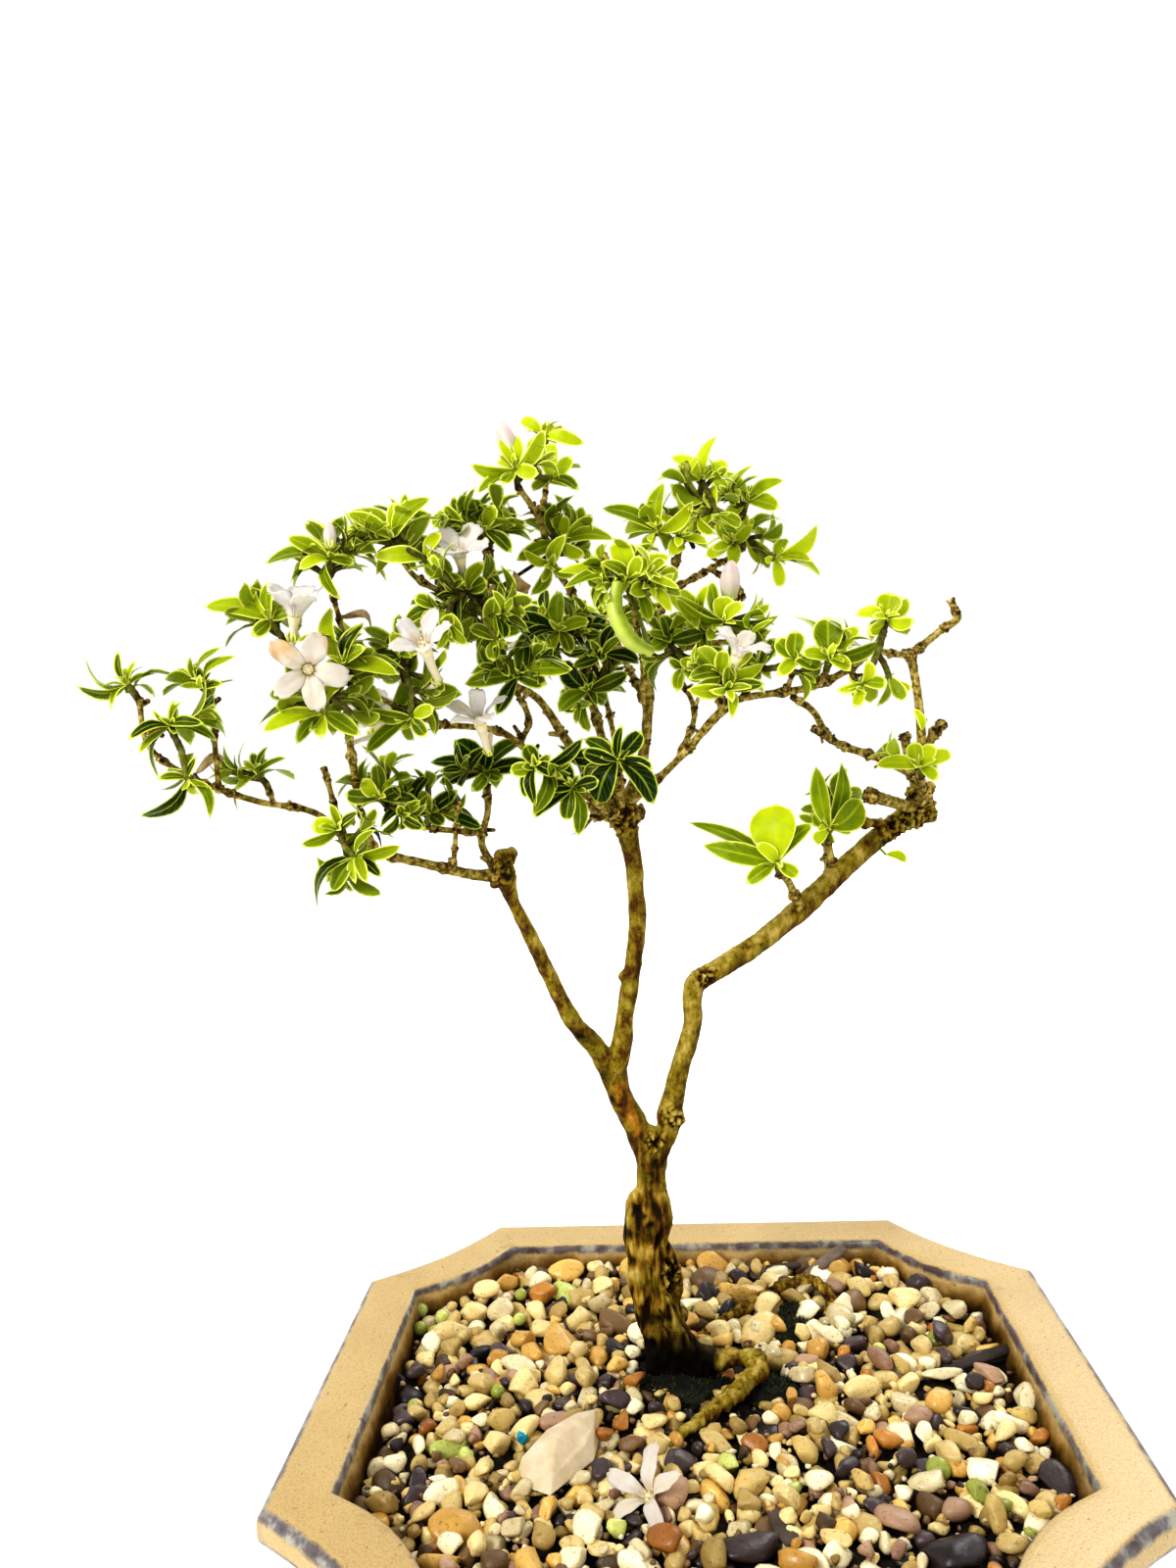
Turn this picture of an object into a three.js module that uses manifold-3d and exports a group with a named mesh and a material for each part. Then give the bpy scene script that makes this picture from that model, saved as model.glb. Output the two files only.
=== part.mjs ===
// Serissa bonsai in a glazed cut-corner pot.
// Millimetres, +Z up. The origin lies under the middle of the whole plant and pot, level with the feet.
// The sizes and routes below are laid in the pot's own frame, whose middle is the middle of the pot.

import * as THREE from 'three';
import { mergeVertices } from 'three/addons/utils/BufferGeometryUtils.js';
import Module from 'manifold-3d';

const wasm = await Module();
wasm.setup();

// ---------------------------------------------------------------- driving sizes

const gap = 0.3;                 // free space kept between touching pieces

// pot
const rimHalfWidth = 76;
const rimHalfDepth = 66;
const cornerCut = 27;            // leg of the cut corner, measured along each side
const cornerSag = 1.6;           // how far the cut corner bows inwards
const potHeight = 52;
const footHeight = 6;
const floorTop = 12;
const rimWidth = 12.5;           // flat top of the rim, lip to opening
const lipDepth = 6.5;            // height of the outer lip
const wallInsetTop = 6;          // outer wall under the lip, measured in from the lip
const wallInsetFoot = 13;
const footLength = 28;
const footWidth = 12;
const footX = 44;                // middles of the feet
const footY = 34;
const drainRadius = 6;
const drainX = 26;
const netSide = 18;              // square of netting over each drain hole
const netThickness = 0.8;

// filling
const soilTop = 41.5;
const gravelTop = 44;
const pebbleCount = 46;
const pebbleSize = 6.6;          // half length of an average pebble
const pebbleReachX = 60;         // how far the pebbles spread from the middle
const pebbleReachY = 51;

// foliage
const bladeThickness = 0.75;
const firstRing = 0.34;          // where a blade's first and last cross-sections lie along it
const lastRing = 0.74;
const smallLeaf = 7.1;           // shorter leaves have one cross-section, broader ones three
const broadLeaf = 4;
const shootRadius = 0.55;
const knobRadius = 1.15;         // crowded leaf bases at the end of a shoot
const petalCount = 5;

// ---------------------------------------------------------------- seeded random numbers

function makeRandom(seed) {
  let state = seed;
  return (low, high) => {
    state = (state * 1664525 + 1013904223) % 4294967296;
    return low + (high - low) * state / 4294967296;
  };
}

// ---------------------------------------------------------------- solids

function toSolid(geometry) {
  const bare = geometry.clone();
  bare.deleteAttribute('normal');
  bare.deleteAttribute('uv');
  const merged = mergeVertices(bare, 1e-4);
  return new wasm.Manifold(new wasm.Mesh({
    numProp: 3,
    vertProperties: new Float32Array(merged.attributes.position.array),
    triVerts: new Uint32Array(merged.index.array),
  }));
}

function toGeometry(solid) {
  const mesh = solid.getMesh();
  const geometry = new THREE.BufferGeometry();
  const places = new Float32Array(mesh.vertProperties);
  geometry.setAttribute('position', new THREE.BufferAttribute(places, 3));
  geometry.setIndex(new THREE.BufferAttribute(new Uint32Array(mesh.triVerts), 1));
  geometry.computeVertexNormals();
  return geometry;
}

function join(geometries) {
  return geometries.map(toSolid).reduce((sum, solid) => sum.add(solid));
}

// Cutting can leave loose scraps: only the body with the most triangles stays.
function largestBody(geometry) {
  const index = geometry.index.array;
  const parent = Array.from({ length: geometry.attributes.position.count }, (_, i) => i);
  const root = (i) => {
    let top = i;
    while (parent[top] !== top) {
      top = parent[top];
    }
    parent[i] = top;
    return top;
  };
  for (let i = 0; i < index.length; i += 3) {
    parent[root(index[i])] = root(index[i + 1]);
    parent[root(index[i + 1])] = root(index[i + 2]);
  }
  const count = new Map();
  for (let i = 0; i < index.length; i += 3) {
    count.set(root(index[i]), (count.get(root(index[i])) ?? 0) + 1);
  }
  const keep = [...count.entries()].sort((a, b) => b[1] - a[1])[0][0];
  const kept = [];
  for (let i = 0; i < index.length; i += 3) {
    if (root(index[i]) === keep) kept.push(index[i], index[i + 1], index[i + 2]);
  }
  geometry.setIndex(kept);
  return geometry;
}

// ---------------------------------------------------------------- shared shapes

const vector = (point) => new THREE.Vector3(point[0], point[1], point[2]);

// A round limb through points [x, y, z, radius], made by laying a closed cylinder on the route.
function limb(points, sides, extra = 0) {
  const places = points.map(vector);
  const curve = new THREE.CatmullRomCurve3(places, false, 'centripetal');
  const steps = points.length - 1;
  const geometry = new THREE.CylinderGeometry(1, 1, 1, sides, steps);
  const position = geometry.attributes.position;
  let side = new THREE.Vector3(0, 1, 0);
  const frames = places.map((place, i) => {
    const along = curve.getTangent(i / steps);
    side = side.clone().addScaledVector(along, -side.dot(along)).normalize();
    if (side.lengthSq() < 0.5) side = new THREE.Vector3(1, 0, 0);
    return { place, side, across: new THREE.Vector3().crossVectors(along, side) };
  });
  for (let i = 0; i < position.count; i += 1) {
    const row = Math.round((position.getY(i) + 0.5) * steps);
    const frame = frames[row];
    const radius = points[row][3] + extra;
    const point = frame.place.clone()
      .addScaledVector(frame.side, position.getX(i) * radius)
      .addScaledVector(frame.across, -position.getZ(i) * radius);
    position.setXYZ(i, point.x, point.y, point.z);
  }
  return geometry;
}

// A blade from a three-sided ball: sharp edges left and right, a keel beneath, arched along its length.
function blade(base, direction, facing, length, width, options = {}) {
  const { rings = 2, arch = 0.1, extra = 0 } = options;
  const geometry = new THREE.SphereGeometry(1, 3, rings + 1, Math.PI / 6);
  const position = geometry.attributes.position;
  const along = direction.clone().normalize();
  const up = facing.clone().addScaledVector(along, -facing.dot(along)).normalize();
  const across = new THREE.Vector3().crossVectors(along, up);
  for (let i = 0; i < position.count; i += 1) {
    const row = Math.round(Math.acos(THREE.MathUtils.clamp(position.getY(i), -1, 1)) / Math.PI * (rings + 1));
    const inner = row > 0 && row < rings + 1;
    const share = rings > 1 ? (row - 1) / (rings - 1) : 0.5;
    const reach = inner ? firstRing + share * (lastRing - firstRing) : row / (rings + 1);
    const swell = inner ? Math.sin(Math.PI * reach ** 1.15) : 0;
    const turn = inner ? Math.atan2(position.getX(i), position.getZ(i)) : 0;
    const wide = Math.sign(Math.round(Math.sin(turn) * 10)) * swell * (width / 2 + 2 * extra);
    const keel = inner ? (Math.cos(turn) > 0 ? 0.3 : -0.7) * (bladeThickness + 2 * extra) : 0;
    const bend = arch * length * (Math.sin(Math.PI * reach) - 0.5 * reach);
    const point = base.clone()
      .addScaledVector(along, reach * (length + extra))
      .addScaledVector(across, -wide)
      .addScaledVector(up, bend + keel);
    position.setXYZ(i, point.x, point.y, point.z);
  }
  return geometry;
}

// ---------------------------------------------------------------- pot

// Cut-corner rectangle, moved in by `inset`; each cut corner bows inwards a little.
function potOutline(inset) {
  const halfWidth = rimHalfWidth - inset;
  const halfDepth = rimHalfDepth - inset;
  const cut = cornerCut - inset * (2 - Math.SQRT2);
  const corner = [];
  const steps = 3;
  for (let i = 0; i <= steps; i += 1) {
    const t = i / steps;
    const sag = cornerSag * Math.sin(Math.PI * t) / Math.SQRT2;
    corner.push([halfWidth - cut * t - sag, halfDepth - cut * (1 - t) - sag]);
  }
  const left = corner.map(([x, y]) => [-x, y]).reverse();
  const frontLeft = corner.map(([x, y]) => [-x, -y]);
  const frontRight = corner.map(([x, y]) => [x, -y]).reverse();
  return [...corner, ...left, ...frontLeft, ...frontRight];
}

// A closed skin through level outlines, given as [inset, height] from bottom to top.
function stackedOutlines(levels) {
  const count = potOutline(0).length;
  const geometry = new THREE.CylinderGeometry(1, 1, 1, count, levels.length - 1);
  const position = geometry.attributes.position;
  for (let i = 0; i < position.count; i += 1) {
    const level = levels[Math.round((position.getY(i) + 0.5) * (levels.length - 1))];
    const turn = Math.atan2(position.getX(i), position.getZ(i));
    const slot = Math.round(turn / (2 * Math.PI) * count + count) % count;
    const onAxis = Math.hypot(position.getX(i), position.getZ(i)) < 0.5;
    const [x, y] = onAxis ? [0, 0] : potOutline(level[0])[slot];
    position.setXYZ(i, x, y, level[1]);
  }
  return geometry;
}

function innerInset(height) {
  const share = (height - floorTop) / (potHeight - floorTop);
  return rimWidth + 5.5 * (1 - share);
}

function potSolid() {
  const outside = toSolid(stackedOutlines([
    [wallInsetFoot + 2, footHeight - 0.6],
    [wallInsetFoot, footHeight + 1.4],
    [wallInsetFoot - 4, footHeight + 14],
    [wallInsetTop, potHeight - lipDepth - 1],
    [1.2, potHeight - lipDepth],
    [0, potHeight - lipDepth + 1.2],
    [0, potHeight - 1.8],
    [1.8, potHeight],
    [rimWidth - 0.8, potHeight],
  ]));
  const inside = toSolid(stackedOutlines([
    [innerInset(floorTop) + 2, floorTop],
    [innerInset(floorTop + 3), floorTop + 3],
    [innerInset(potHeight - 2), potHeight - 2],
    [rimWidth - 1.2, potHeight - 0.4],
    [rimWidth - 1.2, potHeight + 1],
  ]));
  let pot = outside.subtract(inside);
  for (const x of [-1, 1]) {
    for (const y of [-1, 1]) {
      pot = pot.add(toSolid(foot(x, y)));
    }
  }
  for (const x of [-drainX, drainX]) {
    const hole = new THREE.CylinderGeometry(drainRadius, drainRadius, floorTop * 2, 16);
    hole.rotateX(Math.PI / 2);
    hole.translate(x, 0, floorTop);
    pot = pot.subtract(toSolid(hole));
  }
  return pot;
}

// A low foot under each cut corner, turned square to it.
function foot(x, y) {
  const height = footHeight + 1.5;   // reaches into the floor
  const geometry = new THREE.BoxGeometry(footLength, footWidth, height);
  geometry.rotateZ(-x * y * Math.PI / 4);
  geometry.translate(x * footX, y * footY, height / 2);
  return geometry;
}

function drainMesh() {
  const pitch = 6;
  const eye = 4;
  let sheet = toSolid(new THREE.BoxGeometry(netSide, netSide, netThickness));
  for (const x of [-pitch / 2, pitch / 2]) {
    for (const y of [-pitch / 2, pitch / 2]) {
      const hole = new THREE.BoxGeometry(eye, eye, 2 * netThickness);
      hole.translate(x, y, 0);
      sheet = sheet.subtract(toSolid(hole));
    }
  }
  return toGeometry(sheet);
}

// ---------------------------------------------------------------- soil and gravel

function soilSolid(trunkHole) {
  let soil = toSolid(stackedOutlines([
    [innerInset(floorTop) + 2 + gap, floorTop + gap],
    [innerInset(floorTop + 3) + gap, floorTop + 3 + gap],
    [innerInset(soilTop) + gap, soilTop],
  ]));
  for (const x of [-drainX, drainX]) {
    const pocket = new THREE.BoxGeometry(netSide + 2 * gap, netSide + 2 * gap, 3);
    pocket.translate(x, 0, floorTop);
    soil = soil.subtract(toSolid(pocket));
  }
  return soil.subtract(trunkHole);
}

function pebble(random, x, y, z, size) {
  const geometry = new THREE.IcosahedronGeometry(1, 0);
  geometry.scale(size * random(0.85, 1.15), size * random(0.75, 0.9), size * random(0.4, 0.5));
  geometry.rotateX(random(-0.35, 0.35));
  geometry.rotateY(random(-0.35, 0.35));
  geometry.rotateZ(random(0, Math.PI));
  geometry.translate(x, y, z);
  return geometry;
}

// Where the ground lies: level at the walls, heaped a little towards the trunk.
function groundHeight(x, y) {
  const away = Math.hypot(x + 5, y - 10);
  return gravelTop + 2.2 * Math.exp(-(away * away) / 500);
}

// Pebbles stand on a sunflower spiral, each moved a little at random.
function gravelSolid(clearance) {
  const random = makeRandom(11);
  const pieces = [stackedOutlines([
    [innerInset(soilTop) + gap, soilTop + gap],
    [innerInset(gravelTop) + gap, gravelTop],
  ])];
  const golden = Math.PI * (3 - Math.sqrt(5));
  for (let i = 0; i < pebbleCount; i += 1) {
    const away = Math.sqrt((i + 0.5) / pebbleCount);
    const x = (away * pebbleReachX + random(-1.5, 1.5)) * Math.cos(i * golden);
    const y = (away * pebbleReachY + random(-1.5, 1.5)) * Math.sin(i * golden);
    pieces.push(pebble(random, x, y, groundHeight(x, y), pebbleSize * random(0.8, 1.15)));
  }
  for (const [x, y, length, turn] of largeStones) {
    const stone = new THREE.IcosahedronGeometry(1, 0);
    stone.scale(length / 2, length / 3.4, 2.6);
    stone.rotateZ(turn);
    stone.translate(x, y, groundHeight(x, y) + 0.8);
    pieces.push(stone);
  }
  const room = toSolid(stackedOutlines([
    [innerInset(soilTop) + gap, soilTop + gap],
    [innerInset(potHeight - 4) + gap, potHeight - 3],
  ]));
  return join(pieces).intersect(room).subtract(clearance);
}

// larger stones and bark chips in the dressing: x, y, length, turn
const largeStones = [
  [6, -39, 10, 0.2],
  [40, -40, 14, 0.1],
  [57, -25, 10, 1.2],
  [-5, -19, 8, 0.9],
  [-42, -35, 10, 0.1],
  [30, 45, 11, -0.3],
];

function quartzShard(extra) {
  const shape = new THREE.Shape();
  shape.moveTo(-6, 5);
  shape.lineTo(-7.5, 0);
  shape.lineTo(-1, -6);
  shape.lineTo(6.5, 0.5);
  shape.lineTo(5, 6);
  const geometry = new THREE.ExtrudeGeometry(shape, {
    depth: 1.2,
    bevelEnabled: true,
    bevelSize: 0.8 + extra,
    bevelThickness: 0.8 + extra,
    bevelSegments: 1,
  });
  geometry.rotateX(0.12);
  geometry.translate(-27, -17, 47);
  return geometry;
}

// ---------------------------------------------------------------- wood
// Each limb is a hand-laid route of [x, y, z, radius]; it starts inside the limb that carries it.

const trunkRoute = [
  [-5, 9, 33, 3], [-5, 9, 41, 6.4], [-6, 9, 47, 5.4], [-7, 9, 52, 4.7], [-9, 9, 61, 5.2],
  [-10, 9, 70, 4.5], [-10, 8, 79, 4.6], [-9, 8, 87, 3.6], [-8, 8, 95, 3.9], [-8, 8, 98, 2.6],
];

const stemRoutes = [
  // left stem from the low fork, then on to the crown
  [[-8, 8, 92, 3], [-10, 8, 96, 2.9], [-11, 9, 100.5, 2.8], [-14, 7, 106, 2.4], [-15, 7, 112, 2.9]],
  [[-15, 7, 110, 2.5], [-13, 5, 116, 2.1], [-12, 5, 122, 1.8], [-9, 5, 138, 1.7], [-9, 5, 152, 1.7],
    [-10, 5, 159, 2.2], [-11, 5, 163, 3.6], [-11, 5, 165, 2]],
  // low left branch
  [[-15, 7, 110, 2.4], [-18, 5, 116, 2], [-22, 1.5, 122.5, 1.7], [-28.5, -2, 139, 1.4], [-31.5, -4, 147, 1.3],
    [-33, -5.5, 153, 2.2], [-33, -7.5, 157, 1.3]],
  // right branch
  [[-7, 8, 92, 3], [-5, 9, 96.5, 2.9], [-4, 9, 100.5, 2.8], [-2, 9, 109.5, 2.1], [1, 9, 118, 1.9],
    [2, 9, 127, 2], [5, 10.5, 128.5, 2.1], [15, 14, 133.5, 2.1], [23.5, 18, 139, 2.3], [39.5, 25, 151, 2.2],
    [45.5, 27, 155, 2.2], [51, 28.5, 158, 3.2], [52.5, 30.5, 160, 2]],
  // surface roots
  [[-5, 8, 48, 2.6], [-2, 7, 51, 1.9], [8, 6, 52, 1.7], [10.5, 2, 51.5, 1.6], [9, -2, 50.5, 1.5],
    [4, -6, 49, 1.5], [-1, -10, 47, 1.5], [-6, -14, 44, 1.2]],
  [[-5, 14, 43, 2.6], [0, 22, 45, 1.3], [12, 33, 46.5, 1.1], [22, 38, 47, 1], [28, 37, 46, 1],
    [29, 33, 43, 0.9]],
];

const twigRoutes = [
  // long left branch and its twigs
  [[-33, -5.5, 153, 1.7], [-37, -7.5, 153, 1.2], [-46.5, -11, 156, 0.95], [-57, -16.5, 160.5, 0.8],
    [-63.5, -20, 167, 0.65], [-72, -25.5, 170, 0.6], [-81, -31, 175, 0.55], [-86, -34.5, 180.5, 0.5],
    [-87, -34.5, 188, 0.5]],
  [[-86, -34.5, 182.5, 0.5], [-84, -33.5, 183.5, 0.45]],
  [[-34, -5.5, 153, 0.9], [-37, -4, 158.5, 0.8], [-35.5, -4, 164.5, 0.7], [-35.5, -4, 169.5, 0.65]],
  [[-54.5, -15.5, 159.5, 0.7], [-56, -18, 167, 0.55], [-56, -21, 175.5, 0.8], [-56, -23.5, 184, 0.5]],
  [[-59, -18, 162.5, 0.6], [-61, -16.5, 168, 0.55], [-63, -14.5, 174.5, 0.5]],
  [[-36.5, -4, 160.5, 0.7], [-42, -7.5, 161.5, 0.65], [-46.5, -11, 163, 0.6], [-51.5, -15.5, 167, 0.6]],
  [[-42, -9, 154, 0.7], [-40.5, -13, 159, 0.5], [-39, -16.5, 167, 0.45]],
  [[-77, -29, 172, 0.55], [-77, -29, 177, 0.5], [-78, -27, 187, 0.45]],
  [[-69.5, -23.5, 169, 0.55], [-71.5, -21, 172.5, 0.5]],
  // crown: front, left and middle stems
  [[-11, 7, 162, 2.2], [-7, 9, 170, 1.3], [-5, 10.5, 181, 1.15], [-5, 10.5, 185, 1.8], [-5, 10.5, 192, 0.85]],
  [[-12, 3.5, 162, 1.8], [-17, 0, 171, 1.1], [-20.5, -5.5, 178, 1], [-24.5, -9, 185, 0.8],
    [-29.5, -14.5, 189, 0.8], [-33, -11, 199.5, 0.9], [-32, -9, 212, 0.75]],
  [[-11, 9, 162, 1.7], [-13, 16, 169.5, 1.1], [-15.5, 19.5, 180, 1], [-17.5, 19.5, 189, 1.05],
    [-18.5, 19.5, 203.5, 0.85], [-22, 7, 211, 0.75], [-23.5, -2, 218.5, 0.7], [-26.5, -5.5, 223.5, 0.6]],
  [[-11, 10.5, 162, 1.3], [-11.5, 23, 168.5, 0.8], [-13.5, 32, 181, 0.65], [-16.5, 37.5, 194.5, 0.6]],
  [[-12, 1.5, 162.5, 1.4], [-16.5, -5.5, 166.5, 0.85], [-25, -13, 174.5, 0.75], [-30.5, -16.5, 179.5, 0.65],
    [-41.5, -22, 182, 0.6], [-50.5, -25.5, 187, 0.55], [-55, -27, 189.5, 0.55], [-61, -29, 193.5, 0.5],
    [-64, -29, 196.5, 0.45]],
  [[-54, -27, 189, 0.5], [-55, -25.5, 197, 0.5], [-57.5, -23.5, 206.5, 0.45]],
  [[-55, -27, 189.5, 0.5], [-57, -30, 187, 0.45]],
  [[-44, -22.5, 182.5, 0.5], [-46, -22, 190, 0.45]],
  [[-28, -14.5, 177, 0.65], [-26, -12, 181, 0.55], [-28, -13, 187, 0.5]],
  [[-33, -11, 200.5, 0.7], [-39, -18, 204, 0.6], [-43.5, -20, 207, 0.5], [-46, -22, 211, 0.45]],
  [[-39, -18, 204, 0.55], [-41.5, -13, 210.5, 0.45]],
  [[-23.5, -2, 217.5, 0.6], [-22.5, 5, 224, 0.5], [-22, 9, 232, 0.45]],
  [[-17, 19.5, 188, 0.7], [-17.5, 18, 193, 0.55], [-20, 17, 195.5, 0.5]],
  // crown: right side
  [[-5, 10.5, 190, 0.85], [-2, 16, 200, 0.8], [0, 18, 205.5, 0.8], [4, 18, 216.5, 0.7], [7, 16, 223, 0.6]],
  [[3.5, 18, 215.5, 0.6], [10.5, 22.5, 219, 0.6], [16.5, 27, 220.5, 0.5]],
  [[0, 18, 205, 0.75], [10.5, 30.5, 211, 0.6], [17, 37.5, 215, 0.5]],
  [[9.5, 29.5, 210, 0.6], [14.5, 27, 206.5, 0.55], [15.5, 25, 203.5, 0.5]],
  [[-2, 16, 199, 0.7], [3, 9, 198, 0.6], [9.5, 1.5, 198, 0.5]],
  [[-5, 10.5, 191, 0.8], [-6, 1.5, 196, 0.7], [-7, -9, 203, 0.55]],
  [[-5, 10.5, 187, 0.85], [-1, 7, 192, 0.6], [13, 5, 194.5, 0.5]],
  // long branch over the right side
  [[-11, 5, 163, 1.5], [-8, 3.5, 165, 0.9], [1, -2, 173, 0.75], [8.5, -5.5, 181, 1], [11.5, -5.5, 183, 0.75],
    [25, -11, 185, 0.75], [32.5, -14.5, 189, 0.65], [36, -16.5, 193, 0.5]],
  [[0.5, -2, 172.5, 0.7], [4, 5, 181, 0.55], [1.5, 9, 188, 0.5]],
  [[8.5, -5.5, 181, 0.7], [8.5, -8.5, 185.5, 0.5]],
  [[12, -5.5, 183, 0.6], [15, -4, 186.5, 0.5]],
  [[20, -9, 184, 0.6], [21, -12, 187.5, 0.45]],
  [[25.5, -11, 185, 0.6], [26.5, -14.5, 187.5, 0.45]],
  [[30.5, -13.5, 187.5, 0.55], [32, -16.5, 184.5, 0.45], [31, -17.5, 183.5, 0.4]],
  // short twigs of the crown node
  [[-11, 5, 162, 1.7], [-16, 3.5, 162, 1.1]],
  [[-11, 5, 162, 1.7], [-7, 7, 162, 1.3]],
  [[-11, 3.5, 163, 1.2], [-11, -2, 167.5, 0.85], [-11, -6.5, 171, 0.65]],
  [[-15, 1.5, 163, 0.9], [-18.5, -10, 166.5, 0.6]],
  // end of the right branch
  [[51, 28.5, 158, 1.8], [46.5, 24, 159.5, 1.4], [38.5, 16, 162.5, 1.5]],
  [[51, 28.5, 158, 2.2], [51, 30.5, 164, 1.6], [52.5, 32, 172.5, 1.15], [51.5, 32, 186, 1],
    [50.5, 32, 191, 1.15]],
  [[50.5, 32, 190, 0.95], [58, 34, 195.5, 0.9], [61, 34, 197.5, 0.95], [60, 34, 201, 0.65]],
  [[51.5, 32, 190, 0.85], [44.5, 27, 191, 0.75], [40.5, 23, 192, 0.65]],
  [[52, 32, 167, 1.1], [54.5, 34, 171.5, 1.2], [58, 36, 175.5, 1.15]],
  [[51, 30.5, 163, 1.4], [49, 28.5, 169.5, 1.25], [48, 27, 173.5, 1.05]],
  [[51, 30.5, 165, 1.2], [41.5, 23, 169.5, 0.9], [31.5, 18, 174, 0.9], [27.5, 14, 180, 0.75],
    [23.5, 12.5, 183, 0.6]],
  [[33, 18.5, 173, 0.8], [27.5, 12.5, 176.5, 0.6]],
  [[51, 27, 159, 1.1], [49, 16, 164, 0.65], [47.5, 9.5, 166, 0.5]],
  [[24.5, 18, 139, 1.2], [21, 9, 147, 0.85], [19, 4.5, 149, 0.65]],
  [[32, 21.5, 145, 1.2], [31, 23, 152.5, 0.7]],
  // stems of the far side
  [[-5.5, 10.5, 184, 0.9], [-9.5, 26, 192, 0.75], [-13.5, 38, 200.5, 0.6]],
  [[31, 21, 144.5, 1.2], [32, 32, 151, 0.8], [35.5, 42, 156, 0.6]],
];

const trunkSides = 7;
const stemSides = 5;
const twigSides = 4;

// The place on the middle line of the wood that lies nearest to a point.
function nearestWood(point) {
  const target = vector(point);
  const near = new THREE.Vector3();
  let best = new THREE.Vector3();
  let distance = Infinity;
  for (const route of [...stemRoutes, ...twigRoutes]) {
    for (let i = 1; i < route.length; i += 1) {
      new THREE.Line3(vector(route[i - 1]), vector(route[i])).closestPointToPoint(target, true, near);
      if (near.distanceTo(target) < distance) {
        distance = near.distanceTo(target);
        best = near.clone();
      }
    }
  }
  return best.toArray();
}

// A stalk from the wood to a point; the wood's own room is cut from it later.
function stalk(point, radius, extra) {
  return limb([[...nearestWood(point), radius], [...point, radius]], 4, extra);
}

function woodSolid(extra) {
  return join([
    limb(trunkRoute, trunkSides, extra),
    ...stemRoutes.map((route) => limb(route, stemSides, extra)),
    ...twigRoutes.map((route) => limb(route, twigSides, extra)),
  ]);
}

// ---------------------------------------------------------------- leafy sprays
// A shoot runs through the points of `at`; its leaves spread from its end.
// Each leaf is [direction seen from the front in degrees, length, width, lean towards the front in degrees].

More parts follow.
